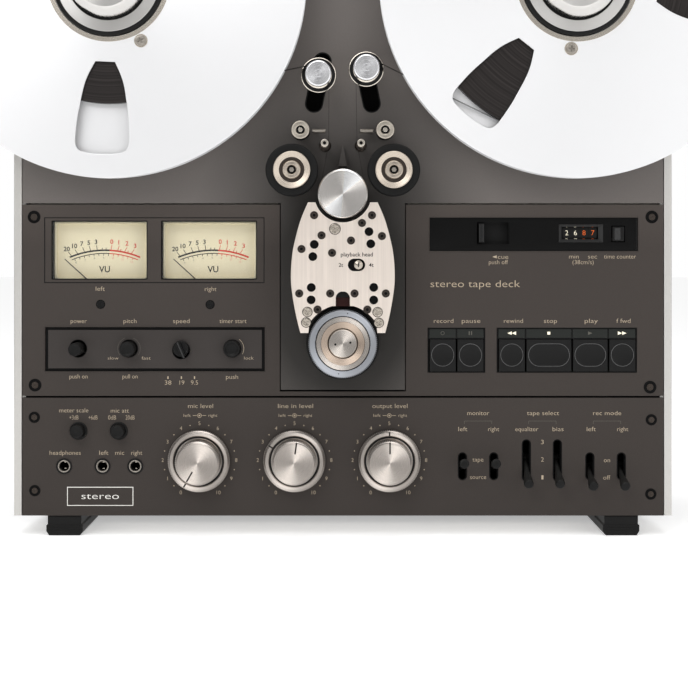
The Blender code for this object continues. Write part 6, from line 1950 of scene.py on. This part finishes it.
class DECK_OT_counter(bpy.types.Operator):
    """Builds the black counter bar, the cue lever, the counter's drum and its reset button"""

    bl_idname = "deck.counter"
    bl_label = "Counter row"

    def execute(self, context):
        bar = (0.0606, 0.1979, 0.2030, 0.2201)
        cavity = (0.0931, 0.2024, 0.1152, 0.2174)
        window = (0.1519, 0.2056, 0.1773, 0.2142)
        bezel = (0.1497, 0.2034, 0.1803, 0.2158)
        reset = (0.1861, 0.2036, 0.1955, 0.2150)
        piece = Piece("counter_bar")
        holes = [box_outline(*cavity, 0.4 * MM), box_outline(*bezel), box_outline(*reset)]
        piece.add("gloss_black", slab([box_outline(*bar), *holes], -2.9 * MM, -0.3 * MM, 0.2 * MM))
        piece.add("dark_joint_and_shade", slab(frame_lines((0.0602, 0.1975, 0.2044, 0.2205), 0.5 * MM), -2.9 * MM,
            0.05 * MM))
        piece.add("satin_black", brick((0.2031, 0.1979, 0.2039, 0.2201), -2.9 * MM, -0.1 * MM, 0.1 * MM))
        piece.add("gloss_black", slab([box_outline(*grown(cavity, 0.4 * MM)),
            box_outline(*grown(cavity, -0.1 * MM))], -9 * MM, -2.5 * MM))
        piece.add("matte_black", brick(grown(cavity, 0.4 * MM), -11 * MM, -8.5 * MM, 0.0))
        piece.add("gloss_black", brick((0.11445, cavity[1] + 1.2 * MM, 0.1151, cavity[3] - 1.2 * MM),
            -8.5 * MM, -1.0 * MM, 0.15 * MM))
        self.bezel(piece, bezel, window)
        piece.make("deck")
        self.cue()
        self.drum()
        self.reset()
        return {"FINISHED"}

    def bezel(self, piece, outer, inner):
        """Four sloped sides round the counter's window."""
        corners = []
        for area, height in ((outer, 0.0), (inner, -2.6 * MM)):
            left, bottom, right, top = area
            corners += [(x, ahead(height), z) for x,
                z in ((left, bottom), (right, bottom), (right, top), (left, top))]
        corners += [(x, y + 0.6 * MM, z) for x, y, z in corners]
        faces = []
        for index in range(4):
            after = (index + 1) % 4
            faces.append((index, after, 4 + after, 4 + index))
            faces.append((8 + index, 12 + index, 12 + after, 8 + after))
            faces.append((index, 8 + index, 8 + after, after))
            faces.append((4 + index, 4 + after, 12 + after, 12 + index))
        mesh = bpy.data.meshes.new("bezel")
        mesh.from_pydata(corners, [], faces)
        # The sloped sides are lighter grey: a painted highlight.
        piece.add("ridge_highlight_grey", outward(mesh))

    def cue(self):
        node = "cue_lever"
        low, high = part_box(node)
        piece = Piece("cue_lever_grip")
        area = (low.x, low.z, high.x, high.z)
        piece.add("gloss_black", brick(grown(area, -0.1 * MM), back_of(node), front_of(node) - 0.8 * MM,
            0.5 * MM, 3))
        rib = at_origin(brick((-0.25 * MM, -6.2 * MM, 0.25 * MM, 6.2 * MM), 0.0, 0.9 * MM, 0.2 * MM))
        middle_x = (low.x + high.x) / 2
        # The ribs are lighter grey: a painted highlight on their edges.
        ribs = copies(
            "Copies in a row",
            rib,
            "ridge_highlight_grey",
            Count=4,
            First=(middle_x - 1.35 * MM, ahead(front_of(node) - 0.9 * MM), (low.z + high.z) / 2),
            Step=(0.9 * MM, 0.0, 0.0),
        )
        piece.add("ridge_highlight_grey", ribs)
        piece.make(node, [node])

    def drum(self):
        """Four number wheels side by side, each with ten figures round it."""
        node = "counter_drum"
        low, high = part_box(node)
        radius = (high.z - low.z) / 2
        centre = ((low.x + high.x) / 2, (low.y + high.y) / 2, (low.z + high.z) / 2)
        half = (high.x - low.x) / 2
        piece = Piece("counter_wheels")
        pitch = 6.0 * MM
        # The white figures take the glowing lamp finish: their glow is painted light.
        shown = ((2, "lamp_and_painted_glow_white"), (6, "lamp_and_painted_glow_white"), (8, "words_orange"), (7, "words_orange"))
        lay = Matrix.Translation(centre) @ Matrix.Rotation(math.pi / 2, 4, "Z")
        profile = [(0, half)]
        for index in range(4):
            start, end = half - index * 2 * half / 4, half - (index + 1) * 2 * half / 4
            profile += [(radius - 0.4 * MM, start), (radius - 0.4 * MM, start - 0.25 * MM),
                (radius - 0.1 * MM, start - 0.25 * MM)]
            profile += [(radius - 0.1 * MM, end + 0.25 * MM), (radius - 0.4 * MM, end + 0.25 * MM)]
        profile += [(radius - 0.4 * MM, -half), (0, -half)]
        body = at_origin(turned(profile, steps=60))
        body.transform(lay)
        piece.add("matte_black", outward(body))
        for index, (first, finish) in enumerate(shown):
            x = centre[0] + (index - 1.5) * pitch
            for step in range(10):
                figure = words(str((first + step) % 10), 0.0, 0.0, 0.0, 5.0 * MM)
                figure.transform(Matrix.Translation((0, -FACE, 0)))
                figure.transform(Matrix.Translation((0, -(radius - 0.12 * MM), 0)))
                figure.transform(Matrix.Rotation(math.radians(36 * step), 4, "X"))
                figure.transform(Matrix.Translation((x, centre[1], centre[2])))
                piece.add(finish, figure)
        piece.make(node, [node])

    def reset(self):
        node = "reset_button"
        low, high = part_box(node)
        piece = Piece("reset_button_cap")
        piece.add("key_black", brick((low.x, low.z, high.x, high.z), back_of(node),
            front_of(node) - 0.3 * MM, 0.5 * MM, 3))
        ridge = (low.x + 1.4 * MM, low.z + 1 * MM, high.x - 2.6 * MM, high.z - 1 * MM)
        # The ridge is lighter grey: a painted highlight.
        piece.add("ridge_highlight_grey", brick(ridge, front_of(node) - 1 * MM, front_of(node), 0.3 * MM, 2))
        piece.make(node, [node])


class DECK_OT_keys(bpy.types.Operator):
    """Builds the six transport keys, each with a dished pad, and the strip of lit marks above them"""

    bl_idname = "deck.keys"
    bl_label = "Transport keys"

    def execute(self, context):
        marks = Piece("key_marks")
        names = ("record", "pause", "rewind", "stop", "play", "fast_forward")
        for name in names:
            low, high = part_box(f"{name}_key")
            self.key(f"{name}_key", low, high)
            self.mark(marks, name, (low.x + high.x) / 2)
            strip = (low.x + 0.05 * MM, 0.1371, high.x - 0.05 * MM, 0.1434)
            marks.add("key_strip", brick(strip, -2.4 * MM, -0.15 * MM, 0.25 * MM))
        marks.make("deck")
        return {"FINISHED"}

    def key(self, node, low, high):
        front, back = front_of(node), back_of(node)
        left, right = low.x + 0.1 * MM, high.x - 0.1 * MM
        bottom, top = low.z + 0.1 * MM, high.z - 0.1 * MM
        centre_z = 0.1254
        reach = 7.9 * MM
        wide = (right - left) / 2 - 1.2 * MM
        middle_x = (left + right) / 2
        spread = max(wide - reach, 0.0)
        reach = min(reach, wide)
        pad = capsule((middle_x - spread, centre_z), (middle_x + spread, centre_z), reach, 20)
        inner = capsule((middle_x - spread, centre_z), (middle_x + spread, centre_z), reach - 0.28 * MM, 20)
        if spread < 0.1 * MM:
            pad, inner = circle(middle_x, centre_z, reach, 48), circle(middle_x, centre_z,
                reach - 0.28 * MM, 48)
        piece = Piece(node + "_cap")
        piece.add("key_black", slab([box_outline(left, bottom, right, top, 0.3 * MM), pad], front - 3 * MM,
            front, 0.35 * MM, 3))
        piece.add("key_black", brick((left, bottom, right, top), back, front - 2.6 * MM, 0.2 * MM))
        piece.add("key_black", self.dish(inner, middle_x, spread, centre_z, front))
        # A pale ring round the pad: a painted highlight on its rim.
        piece.add("pad_rim_highlight", slab([pad, inner], front - 0.6 * MM, front - 0.05 * MM, 0.08 * MM))
        piece.make(node, [node])

    def dish(self, outline, middle_x, spread, z, front):
        """A shallow bowl with a raised rim, whose outline is a circle or a pill."""
        rings = ((1.0, 0.05), (0.96, 0.02), (0.9, -0.18), (0.7, -0.38), (0.4, -0.5), (0.1, -0.55))
        count = len(outline)
        corners, faces = [], []
        for share, depth in rings:
            for x, height in outline:
                anchor = max(min(x, middle_x + spread), middle_x - spread)
                corners.append((anchor + (x - anchor) * share, ahead(front + depth * MM),
                    z + (height - z) * share))
        for x, height in outline:
            corners.append((x, ahead(front - 2.8 * MM), height))
        for ring in range(len(rings) - 1):
            for index in range(count):
                after = (index + 1) % count
                a, b = ring * count, (ring + 1) * count
                faces.append((a + index, a + after, b + after, b + index))
        last = len(rings) * count
        for index in range(count):
            after = (index + 1) % count
            faces.append((last + index, last + after, after, index))
        faces.append(tuple(range((len(rings) - 1) * count, len(rings) * count)))
        faces.append(tuple(range(last, last + count)))
        mesh = bpy.data.meshes.new("dish")
        mesh.from_pydata(corners, [], faces)
        return outward(mesh)

    def mark(self, piece, name, x):
        z, face, top = 0.1405, -0.2 * MM, 0.05 * MM

        def arrow(tip, size):
            return [(tip, z), (tip - size, z + abs(size) * 0.42), (tip - size, z - abs(size) * 0.42)]

        if name == "record":
            piece.add("lamp_dim", slab([circle(x, z, 1.3 * MM, 24), circle(x, z, 1.0 * MM, 24)], face, top))
        elif name == "pause":
            for shift in (-0.8, 0.8):
                bar = box_outline(x + (shift - 0.35) * MM, z - 1.3 * MM, x + (shift + 0.35) * MM,
                    z + 1.3 * MM)
                piece.add("lamp_dim", slab([bar], face, top))
        elif name == "stop":
            piece.add("lamp_and_painted_glow_white", slab([box_outline(x - 1.0 * MM, z - 1.0 * MM, x + 1.0 * MM,
                z + 1.0 * MM)], face, top))
        elif name == "play":
            piece.add("lamp_dim", slab([arrow(x + 1.5 * MM, 2.9 * MM)], face, top))
        else:
            way = 1 if name == "fast_forward" else -1
            for shift in (0.0, 3.0):
                piece.add("lamp_and_painted_glow_white", slab([arrow(x + way * shift * MM, way * 3.0 * MM)], face, top))


# ---------------------------------------------------------------- lower panel

LEVEL_KNOBS = ("mic", "line", "output")
LEVER_NODES = (
    ("monitor_left_lever", 9.0), ("monitor_right_lever", 9.0), ("equalizer_lever", -25.5),
    ("bias_lever", -25.5), ("record_left_lever", -18.0), ("record_right_lever", -18.0),
)
SHORT_SLOT = (39.1 * MM, 57.4 * MM)
LONG_SLOT = (38.2 * MM, 66.4 * MM)
JACKS_X = (-0.1932, -0.1666, -0.1439)
JACK_Z = 0.0483


class DECK_OT_lower_panel(bpy.types.Operator):
    """Builds the lower panel with its dials, lettering, slots, badge, button bases and screws"""

    bl_idname = "deck.lower_panel"
    bl_label = "Lower panel"

    def execute(self, context):
        sizes = context.scene.deck_sizes
        low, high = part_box("lower_panel")
        loops = [box_outline(low.x, low.z, high.x, high.z)]
        for name in LEVEL_KNOBS:
            loops.append(circle(*middle(f"{name}_outer_knob"), 8 * MM, 40))
        for node in ("meter_scale_button", "mic_attenuator_button"):
            loops.append(circle(*middle(node), 5.1 * MM, 40))
        for x in JACKS_X:
            loops.append(circle(x, JACK_Z, 5.0 * MM, 40))
        slots = []
        for node, _ in LEVER_NODES:
            x = middle(node)[0]
            bottom, top = LONG_SLOT if node in ("equalizer_lever", "bias_lever") else SHORT_SLOT
            slots.append((x, bottom, top))
            loops.append(capsule((x, bottom + 2.65 * MM), (x, top - 2.65 * MM), 2.65 * MM, 12))
        piece = Piece("lower_face")
        piece.add("panel_paint", slab(loops, -3 * MM, 0.0, sizes.panel_edge * 0.7))
        for x, bottom, top in slots:
            outer = capsule((x, bottom + 2.65 * MM), (x, top - 2.65 * MM), 3.2 * MM, 12)
            inner = capsule((x, bottom + 2.65 * MM), (x, top - 2.65 * MM), 2.5 * MM, 12)
            piece.add("dark_joint_and_shade", slab([outer, inner], -3.2 * MM, 0.15 * MM, 0.1 * MM))
            dust = (x - 5 * MM, bottom - 2 * MM, x + 5 * MM, top + 2 * MM)
            piece.add("dark_joint_and_shade", slab([box_outline(*dust),
                box_outline(x - 2.1 * MM, bottom, x + 2.1 * MM, top)], -5 * MM, -3.6 * MM))
        for node in ("meter_scale_button", "mic_attenuator_button"):
            ring = [(4.95 * MM, -2.9 * MM), (4.95 * MM, 1.0 * MM), (5.9 * MM, 1.0 * MM, 0.4 * MM),
                (6.3 * MM, 0.0, 0.1 * MM), (6.0 * MM, -2.9 * MM)]
            piece.add("satin_black", turned(ring, *middle(node), 56))
        print_words(piece, LOWER_WORDS, 0.0, sizes.label_size)
        for name in LEVEL_KNOBS:
            self.dial(piece, *middle(f"{name}_outer_knob"))
            self.channel_key(piece, middle(f"{name}_outer_knob")[0])
        self.guides(piece)
        # A dark strip behind the panel's top edge: painted shade in the gap between the panels.
        gap_shade = (low.x + 2 * MM, high.z - 1.5 * MM, high.x - 2 * MM, high.z + 3 * MM)
        piece.add("dark_joint_and_shade", brick(gap_shade, -4.2 * MM, -3.1 * MM, 0.1 * MM, 1))
        self.badge(piece)
        places = ((-213.8, 82.2), (-213.5, 31.4), (213.8, 80.5), (213.4, 29))
        counterbored_screws(piece, places, 3.9 * MM)
        piece.make("deck", ["lower_panel"], sharp=28)
        return {"FINISHED"}

    def dial(self, piece, x, z):
        """Numbers 0 to 10 round a level knob, with a dot between each two."""
        for number in range(11):
            angle = 90 + 150 - number * 30
            radius = (25.9 if number in (0, 10) else 25.5) * MM
            piece.add("words_beige", words(str(number), *spot(x, z, radius, angle), 0.0, 3.7 * MM))
            if number < 10:
                piece.add("words_beige", slab([circle(*spot(x, z, 25.0 * MM, angle - 15), 0.38 * MM, 12)],
                    0.0, 0.06 * MM))

    def channel_key(self, piece, x):
        """The small print that tells which ring sets which channel."""
        z = 83.4 * MM
        piece.add("words_beige", words("left", x - 8.6 * MM, z, 0.0, 2.9 * MM, 5.0 * MM))
        piece.add("words_beige", words("right", x + 9.2 * MM, z, 0.0, 2.9 * MM, 6.0 * MM))
        piece.add("words_beige", slab([circle(x, z, 1.5 * MM, 24), circle(x, z, 1.2 * MM, 24)], 0.0,
            0.06 * MM))
        piece.add("words_beige", slab([circle(x, z, 0.55 * MM, 16)], 0.0, 0.06 * MM))
        for side in (-1, 1):
            line = stroke((x + side * 1.9 * MM, z), (x + side * 4.6 * MM, z), 0.28 * MM)
            piece.add("words_beige", slab([line], 0.0, 0.06 * MM))

    def guides(self, piece):
        """Fine lines that join a heading to the two controls under it."""
        for x in (93.7, 138.3, 183.1):
            bar = stroke(((x - 9.5) * MM, 79.6 * MM), ((x + 9.5) * MM, 79.6 * MM), 0.28 * MM)
            piece.add("words_faint", slab([bar], 0.0, 0.06 * MM))
            for side in (-9.5, 9.5):
                leg = stroke(((x + side) * MM, 79.6 * MM), ((x + side) * MM, 77.6 * MM), 0.28 * MM)
                piece.add("words_faint", slab([leg], 0.0, 0.06 * MM))

    def badge(self, piece):
        """A plain dark plate with a thin pale edge and one plain word across its middle."""
        left, bottom, right, top = -191.1 * MM, 20.9 * MM, -145.2 * MM, 34.0 * MM
        edge = 0.5 * MM
        piece.add("badge_white", brick((left, bottom, right, top), -0.4 * MM, 0.25 * MM, 0.12 * MM))
        field = (left + edge, bottom + edge, right - edge, top - edge)
        piece.add("panel_paint", brick(field, 0.0, 0.32 * MM, 0.05 * MM))
        piece.add("badge_white", words("stereo", (left + right) / 2, 27.5 * MM, 0.32 * MM, 6.4 * MM,
            26 * MM))


class DECK_OT_level_knobs(bpy.types.Operator):
    """Builds the three double level knobs with knurled rims, spun faces and index lines"""

    bl_idname = "deck.level_knobs"
    bl_label = "Level knobs"

    def execute(self, context):
        settings = {"mic": (240, 240), "line": (148, 82), "output": (90, 90)}
        for name in LEVEL_KNOBS:
            outer_turn, inner_turn = settings[name]
            x, z = middle(f"{name}_outer_knob")
            self.knob(f"{name}_outer_knob", name, x, z, 21.4 * MM, 17.2 * MM, 8.0 * MM, outer_turn,
                "knob_outer")
            self.knob(f"{name}_inner_knob", name, x, z, 15.3 * MM, 0.0, 20.0 * MM, inner_turn, "knob_inner")
        return {"FINISHED"}

    def knob(self, node, name, x, z, radius, hole, height, turn, slot):
        count = bpy.context.scene.deck_sizes.knurl_count
        back = back_of(node)
        low = 1.0 * MM if hole else 8.6 * MM
        piece = Piece(node + "_body")
        face = [(radius - 1.5 * MM, height - 0.05 * MM, 0.2 * MM),
            (radius - 0.9 * MM, height - 0.7 * MM, 0.2 * MM)]
        skirt = [(radius - 0.35 * MM, height - 1.1 * MM, 0.2 * MM),
            (radius - 0.35 * MM, low + 0.4 * MM, 0.2 * MM)]
        if hole:
            wall = [(radius - 0.9 * MM, low), (6.1 * MM, low), (6.1 * MM, height - 3.4 * MM),
                (hole, height - 3.4 * MM, 0.3 * MM)]
            profile = [(hole, height - 0.3 * MM, 0.2 * MM), (hole + 0.5 * MM, height, 0.2 * MM), *face,
                *skirt, *wall]
            piece.add(f"{name}_knob_metal", turned(profile, x, z, 128))
            piece.add("matte_black", turned([(6.0 * MM, back), (6.0 * MM, low + 1 * MM),
                (3.7 * MM, low + 1 * MM), (3.7 * MM, back)], x, z, 40))
            gap = [(hole + 0.05 * MM, height - 3.5 * MM), (hole + 0.05 * MM, height - 0.9 * MM),
                (hole - 1.1 * MM, height - 0.9 * MM), (hole - 1.1 * MM, height - 3.5 * MM)]
            piece.add("gloss_black", turned(gap, x, z, 96))
        else:
            cap = [(0, height - 0.3 * MM), (2.0 * MM, height - 0.3 * MM), (radius - 3.0 * MM, height)]
            base = [(radius - 0.9 * MM, low), (3.3 * MM, low), (3.3 * MM, back), (0, back)]
            piece.add(f"{name}_knob_metal", turned([*cap, *face, *skirt, *base], x, z, 128))
        rib = at_origin(brick((-0.3 * MM, -0.28 * MM, 0.18 * MM, 0.28 * MM), low + 0.8 * MM,
            height - 1.3 * MM, 0.12 * MM, 1))
        ribs = copies(
            "Copies in a ring",
            rib,
            f"{name}_rim_metal",
            Count=count if hole else int(count * 0.75),
            Radius=radius - 0.18 * MM,
            Step=math.tau / (count if hole else int(count * 0.75)),
            Centre=(x, FACE, z),
        )
        piece.add(f"{name}_rim_metal", ribs)
        start = spot(x, z, (hole + 0.5 * MM) if hole else radius * 0.42, turn)
        end = spot(x, z, radius - 0.9 * MM, turn)
        line = slab([stroke(start, end, 1.0 * MM)], height - 0.9 * MM, height + 0.0, 0.0)
        piece.add("words_black", line)
        piece.make(node, [node], sharp=25)


class DECK_OT_buttons(bpy.types.Operator):
    """Builds the meter scale and microphone attenuator push buttons"""

    bl_idname = "deck.buttons"
    bl_label = "Push buttons"

    def execute(self, context):
        for node in ("meter_scale_button", "mic_attenuator_button"):
            x, z = middle(node)
            top, back = front_of(node), back_of(node)
            profile = [(0, top - 0.35 * MM), (2.9 * MM, top - 0.3 * MM, 0.4 * MM),
                (3.9 * MM, top, 0.5 * MM)]
            profile += [(4.5 * MM, top - 0.1 * MM, 0.4 * MM), (4.7 * MM, top - 0.9 * MM), (4.7 * MM, back),
                (0, back)]
            piece = Piece(node + "_cap")
            piece.add("satin_black", turned(profile, x, z, 56))
            piece.make(node, [node])
        return {"FINISHED"}


class DECK_OT_jacks(bpy.types.Operator):
    """Builds the three quarter-inch sockets with nuts, collars and contacts"""

    bl_idname = "deck.jacks"
    bl_label = "Jacks"

    def execute(self, context):
        low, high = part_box("jack_board")
        piece = Piece("jack_sockets")
        loops = [box_outline(low.x, low.z, high.x, high.z)] + [circle(x, JACK_Z, 3.2 * MM, 32)
            for x in JACKS_X]
        piece.add("jack_plastic", slab(loops, -4.8 * MM, -3.2 * MM))
        for x in JACKS_X:
            outer = [(4.4 * MM, -4.6 * MM), (4.9 * MM, -4.6 * MM), (4.9 * MM, 0.0), (5.5 * MM, 0.0),
                (5.4 * MM, 0.75 * MM, 0.3 * MM), (4.4 * MM, 0.75 * MM, 0.2 * MM)]
            piece.add("satin_black", turned(outer, x, JACK_Z, 56))
            inner = [(3.2 * MM, -4.6 * MM), (4.42 * MM, -4.6 * MM), (4.42 * MM, 0.35 * MM, 0.2 * MM),
                (3.7 * MM, 0.5 * MM, 0.2 * MM), (3.2 * MM, -0.1 * MM, 0.2 * MM)]
            piece.add("small_metal", turned(inner, x, JACK_Z, 56))
            tube = [(3.15 * MM, -27.9 * MM), (3.15 * MM, -1.0 * MM), (4.9 * MM, -4.7 * MM),
                (4.9 * MM, -27.9 * MM)]
            piece.add("matte_black", turned(tube, x, JACK_Z, 40))
            piece.add("matte_black", turned([(0, -26 * MM), (3.2 * MM, -26 * MM), (3.2 * MM, -28 * MM),
                (0, -28 * MM)], x, JACK_Z, 32))
            for turn in (90, 270):
                near = spot(x, JACK_Z, 2.2 * MM, turn)
                blade = (near[0] - 0.8 * MM, near[1] - 0.35 * MM, near[0] + 0.8 * MM, near[1] + 0.35 * MM)
                piece.add("nickel", brick(blade, -20 * MM, -6 * MM, 0.15 * MM, 1))
        piece.make("deck", ["jack_board"])
        return {"FINISHED"}


class DECK_OT_levers(bpy.types.Operator):
    """Builds the six bat-handle levers"""

    bl_idname = "deck.levers"
    bl_label = "Levers"

    def execute(self, context):
        pivot_height = -14 * MM

        for node, tilt in LEVER_NODES:
            x = middle(node)[0]
            pivot_z = self.pivot(node)
            bat = [(0, 34.6 * MM), (1.7 * MM, 34.55 * MM, 0.5 * MM), (3.1 * MM, 34.2 * MM, 0.6 * MM),
                (3.4 * MM, 33.0 * MM, 0.8 * MM)]
            bat += [(3.15 * MM, 29.0 * MM, 1.5 * MM), (2.1 * MM, 20.0 * MM, 2.0 * MM),
                (1.8 * MM, 17.0 * MM), (1.8 * MM, 3.4 * MM)]
            bat += [(3.2 * MM, 2.4 * MM), (4.0 * MM, 0.0), (3.2 * MM, -2.4 * MM), (0, -4.0 * MM)]
            shape = at_origin(turned(bat, steps=48))
            shape.transform(Matrix.Rotation(-math.radians(tilt), 4, "X"))
            shape.transform(Matrix.Translation((x, ahead(pivot_height), pivot_z)))
            piece = Piece(node + "_handle")
            piece.add("satin_black", outward(shape))
            piece.make(node, [node], sharp=40)

        return {"FINISHED"}

    def pivot(self, node):
        for joint in frame["joints"]:
            if joint["child"] == node:
                return joint["pos_m"][2]
        raise RuntimeError(f"{node} has no joint")


# ---------------------------------------------------------------- stage


class DECK_OT_stage(bpy.types.Operator):
    """Sets the pale floor, the soft studio light and the camera in front of the deck"""

    bl_idname = "deck.stage"
    bl_label = "Stage"

    def execute(self, context):
        self.floor(context)
        self.sky(context)
        self.lights(context)
        self.camera(context)
        context.scene.view_settings.view_transform = "Standard"
        context.scene.view_settings.look = "None"
        return {"FINISHED"}

    def floor(self, context):
        mesh = bpy.data.meshes.new("floor")
        reach = 14.0
        mesh.from_pydata([(-reach, -reach, 0), (reach, -reach, 0), (reach, reach, 0), (-reach, reach, 0)],
            [], [(0, 1, 2, 3)])
        obj = bpy.data.objects.new("floor", mesh)
        context.scene.collection.objects.link(obj)
        material = bpy.data.materials.new("floor_paper")
        material.use_nodes = True
        base = material.node_tree.nodes["Principled BSDF"]
        base.inputs["Base Color"].default_value = (0.95, 0.95, 0.95, 1)
        base.inputs["Roughness"].default_value = 0.9
        base.inputs["Specular IOR Level"].default_value = 0.1
        base.inputs["Emission Color"].default_value = (1, 1, 1, 1)
        base.inputs["Emission Strength"].default_value = 0.4
        mesh.materials.append(material)

    def sky(self, context):
        world = bpy.data.worlds.new("studio")
        world.use_nodes = True
        context.scene.world = world
        tree = world.node_tree
        tree.nodes.clear()
        place = tree.nodes.new("ShaderNodeTexCoord")
        split = tree.nodes.new("ShaderNodeSeparateXYZ")
        tree.links.new(place.outputs["Generated"], split.inputs[0])
        ramp = tree.nodes.new("ShaderNodeValToRGB")
        tree.links.new(split.outputs["Z"], ramp.inputs["Fac"])
        ramp.color_ramp.elements[0].position = 0.0
        ramp.color_ramp.elements[0].color = (0.62, 0.62, 0.62, 1)
        ramp.color_ramp.elements[1].position = 0.8
        ramp.color_ramp.elements[1].color = (1.0, 1.0, 1.0, 1)
        glow_back = tree.nodes.new("ShaderNodeBackground")
        glow_back.inputs["Strength"].default_value = 0.62
        tree.links.new(ramp.outputs[0], glow_back.inputs["Color"])
        white = tree.nodes.new("ShaderNodeBackground")
        white.inputs["Color"].default_value = (1, 1, 1, 1)
        white.inputs["Strength"].default_value = 1.0
        path = tree.nodes.new("ShaderNodeLightPath")
        mix = tree.nodes.new("ShaderNodeMixShader")
        tree.links.new(path.outputs["Is Camera Ray"], mix.inputs[0])
        tree.links.new(glow_back.outputs[0], mix.inputs[1])
        tree.links.new(white.outputs[0], mix.inputs[2])
        end = tree.nodes.new("ShaderNodeOutputWorld")
        tree.links.new(mix.outputs[0], end.inputs["Surface"])

    def lights(self, context):
        rows = (
            ("key_light", (-0.9, -1.9, 1.5), (0, 0, 0.22), 1.3, 16.0),
            ("fill_light", (1.3, -1.7, 0.8), (0, 0, 0.22), 1.2, 7.0),
            ("top_light", (0.0, -0.4, 1.9), (0, 0, 0.25), 1.4, 8.0),
            ("floor_light", (0.0, -1.0, 2.6), (0, -0.2, 0.0), 2.0, 14.0),
        )
        for name, place, aim, size, power in rows:
            lamp = bpy.data.lights.new(name, "AREA")
            lamp.size = size
            lamp.energy = power
            obj = bpy.data.objects.new(name, lamp)
            context.scene.collection.objects.link(obj)
            obj.location = place
            obj.rotation_euler = (Vector(aim) - Vector(place)).to_track_quat("-Z", "Y").to_euler()

    def camera(self, context):
        sizes = context.scene.deck_sizes
        data = bpy.data.cameras.new("front_camera")
        data.lens = sizes.lens
        data.sensor_width = 36.0
        data.shift_y = -0.129
        data.clip_end = 50.0
        camera = bpy.data.objects.new("front_camera", data)
        context.scene.collection.objects.link(camera)
        camera.location = (0.0008, FACE - sizes.camera_distance, 0.1945)
        camera.rotation_euler = (math.pi / 2, 0.0, 0.0)
        context.scene.camera = camera


# ---------------------------------------------------------------- sidebar and start

OPERATORS = (
    DECK_OT_finishes, DECK_OT_cabinet, DECK_OT_deck_plate, DECK_OT_head_cover, DECK_OT_reels,
    DECK_OT_rollers,
    DECK_OT_tape_run, DECK_OT_control_panel, DECK_OT_meters, DECK_OT_switches, DECK_OT_counter,
    DECK_OT_keys,
    DECK_OT_lower_panel, DECK_OT_level_knobs, DECK_OT_buttons, DECK_OT_jacks, DECK_OT_levers, DECK_OT_stage,
)


class DECK_PT_builder(bpy.types.Panel):
    """Lists the deck's builders in the sidebar"""

    bl_label = "Tape Deck"
    bl_idname = "DECK_PT_builder"
    bl_space_type = "VIEW_3D"
    bl_region_type = "UI"
    bl_category = "Tape Deck"

    def draw(self, context):
        for group in (context.scene.deck_sizes, context.scene.deck_colours):
            box = self.layout.box()
            for name in group.__annotations__:
                box.prop(group, name)
        for operator in OPERATORS:
            self.layout.operator(operator.bl_idname)


CLASSES = (DeckSizes, DeckColours, *OPERATORS, DECK_PT_builder)


def register():
    for kind in CLASSES:
        bpy.utils.register_class(kind)
    bpy.types.Scene.deck_sizes = bpy.props.PointerProperty(type=DeckSizes)
    bpy.types.Scene.deck_colours = bpy.props.PointerProperty(type=DeckColours)


def unregister():
    del bpy.types.Scene.deck_colours
    del bpy.types.Scene.deck_sizes
    for kind in reversed(CLASSES):
        bpy.utils.unregister_class(kind)


def main():
    register()
    for operator in OPERATORS:
        group, name = operator.bl_idname.split(".")
        getattr(getattr(bpy.ops, group), name)()


if __name__ == "__main__":
    main()
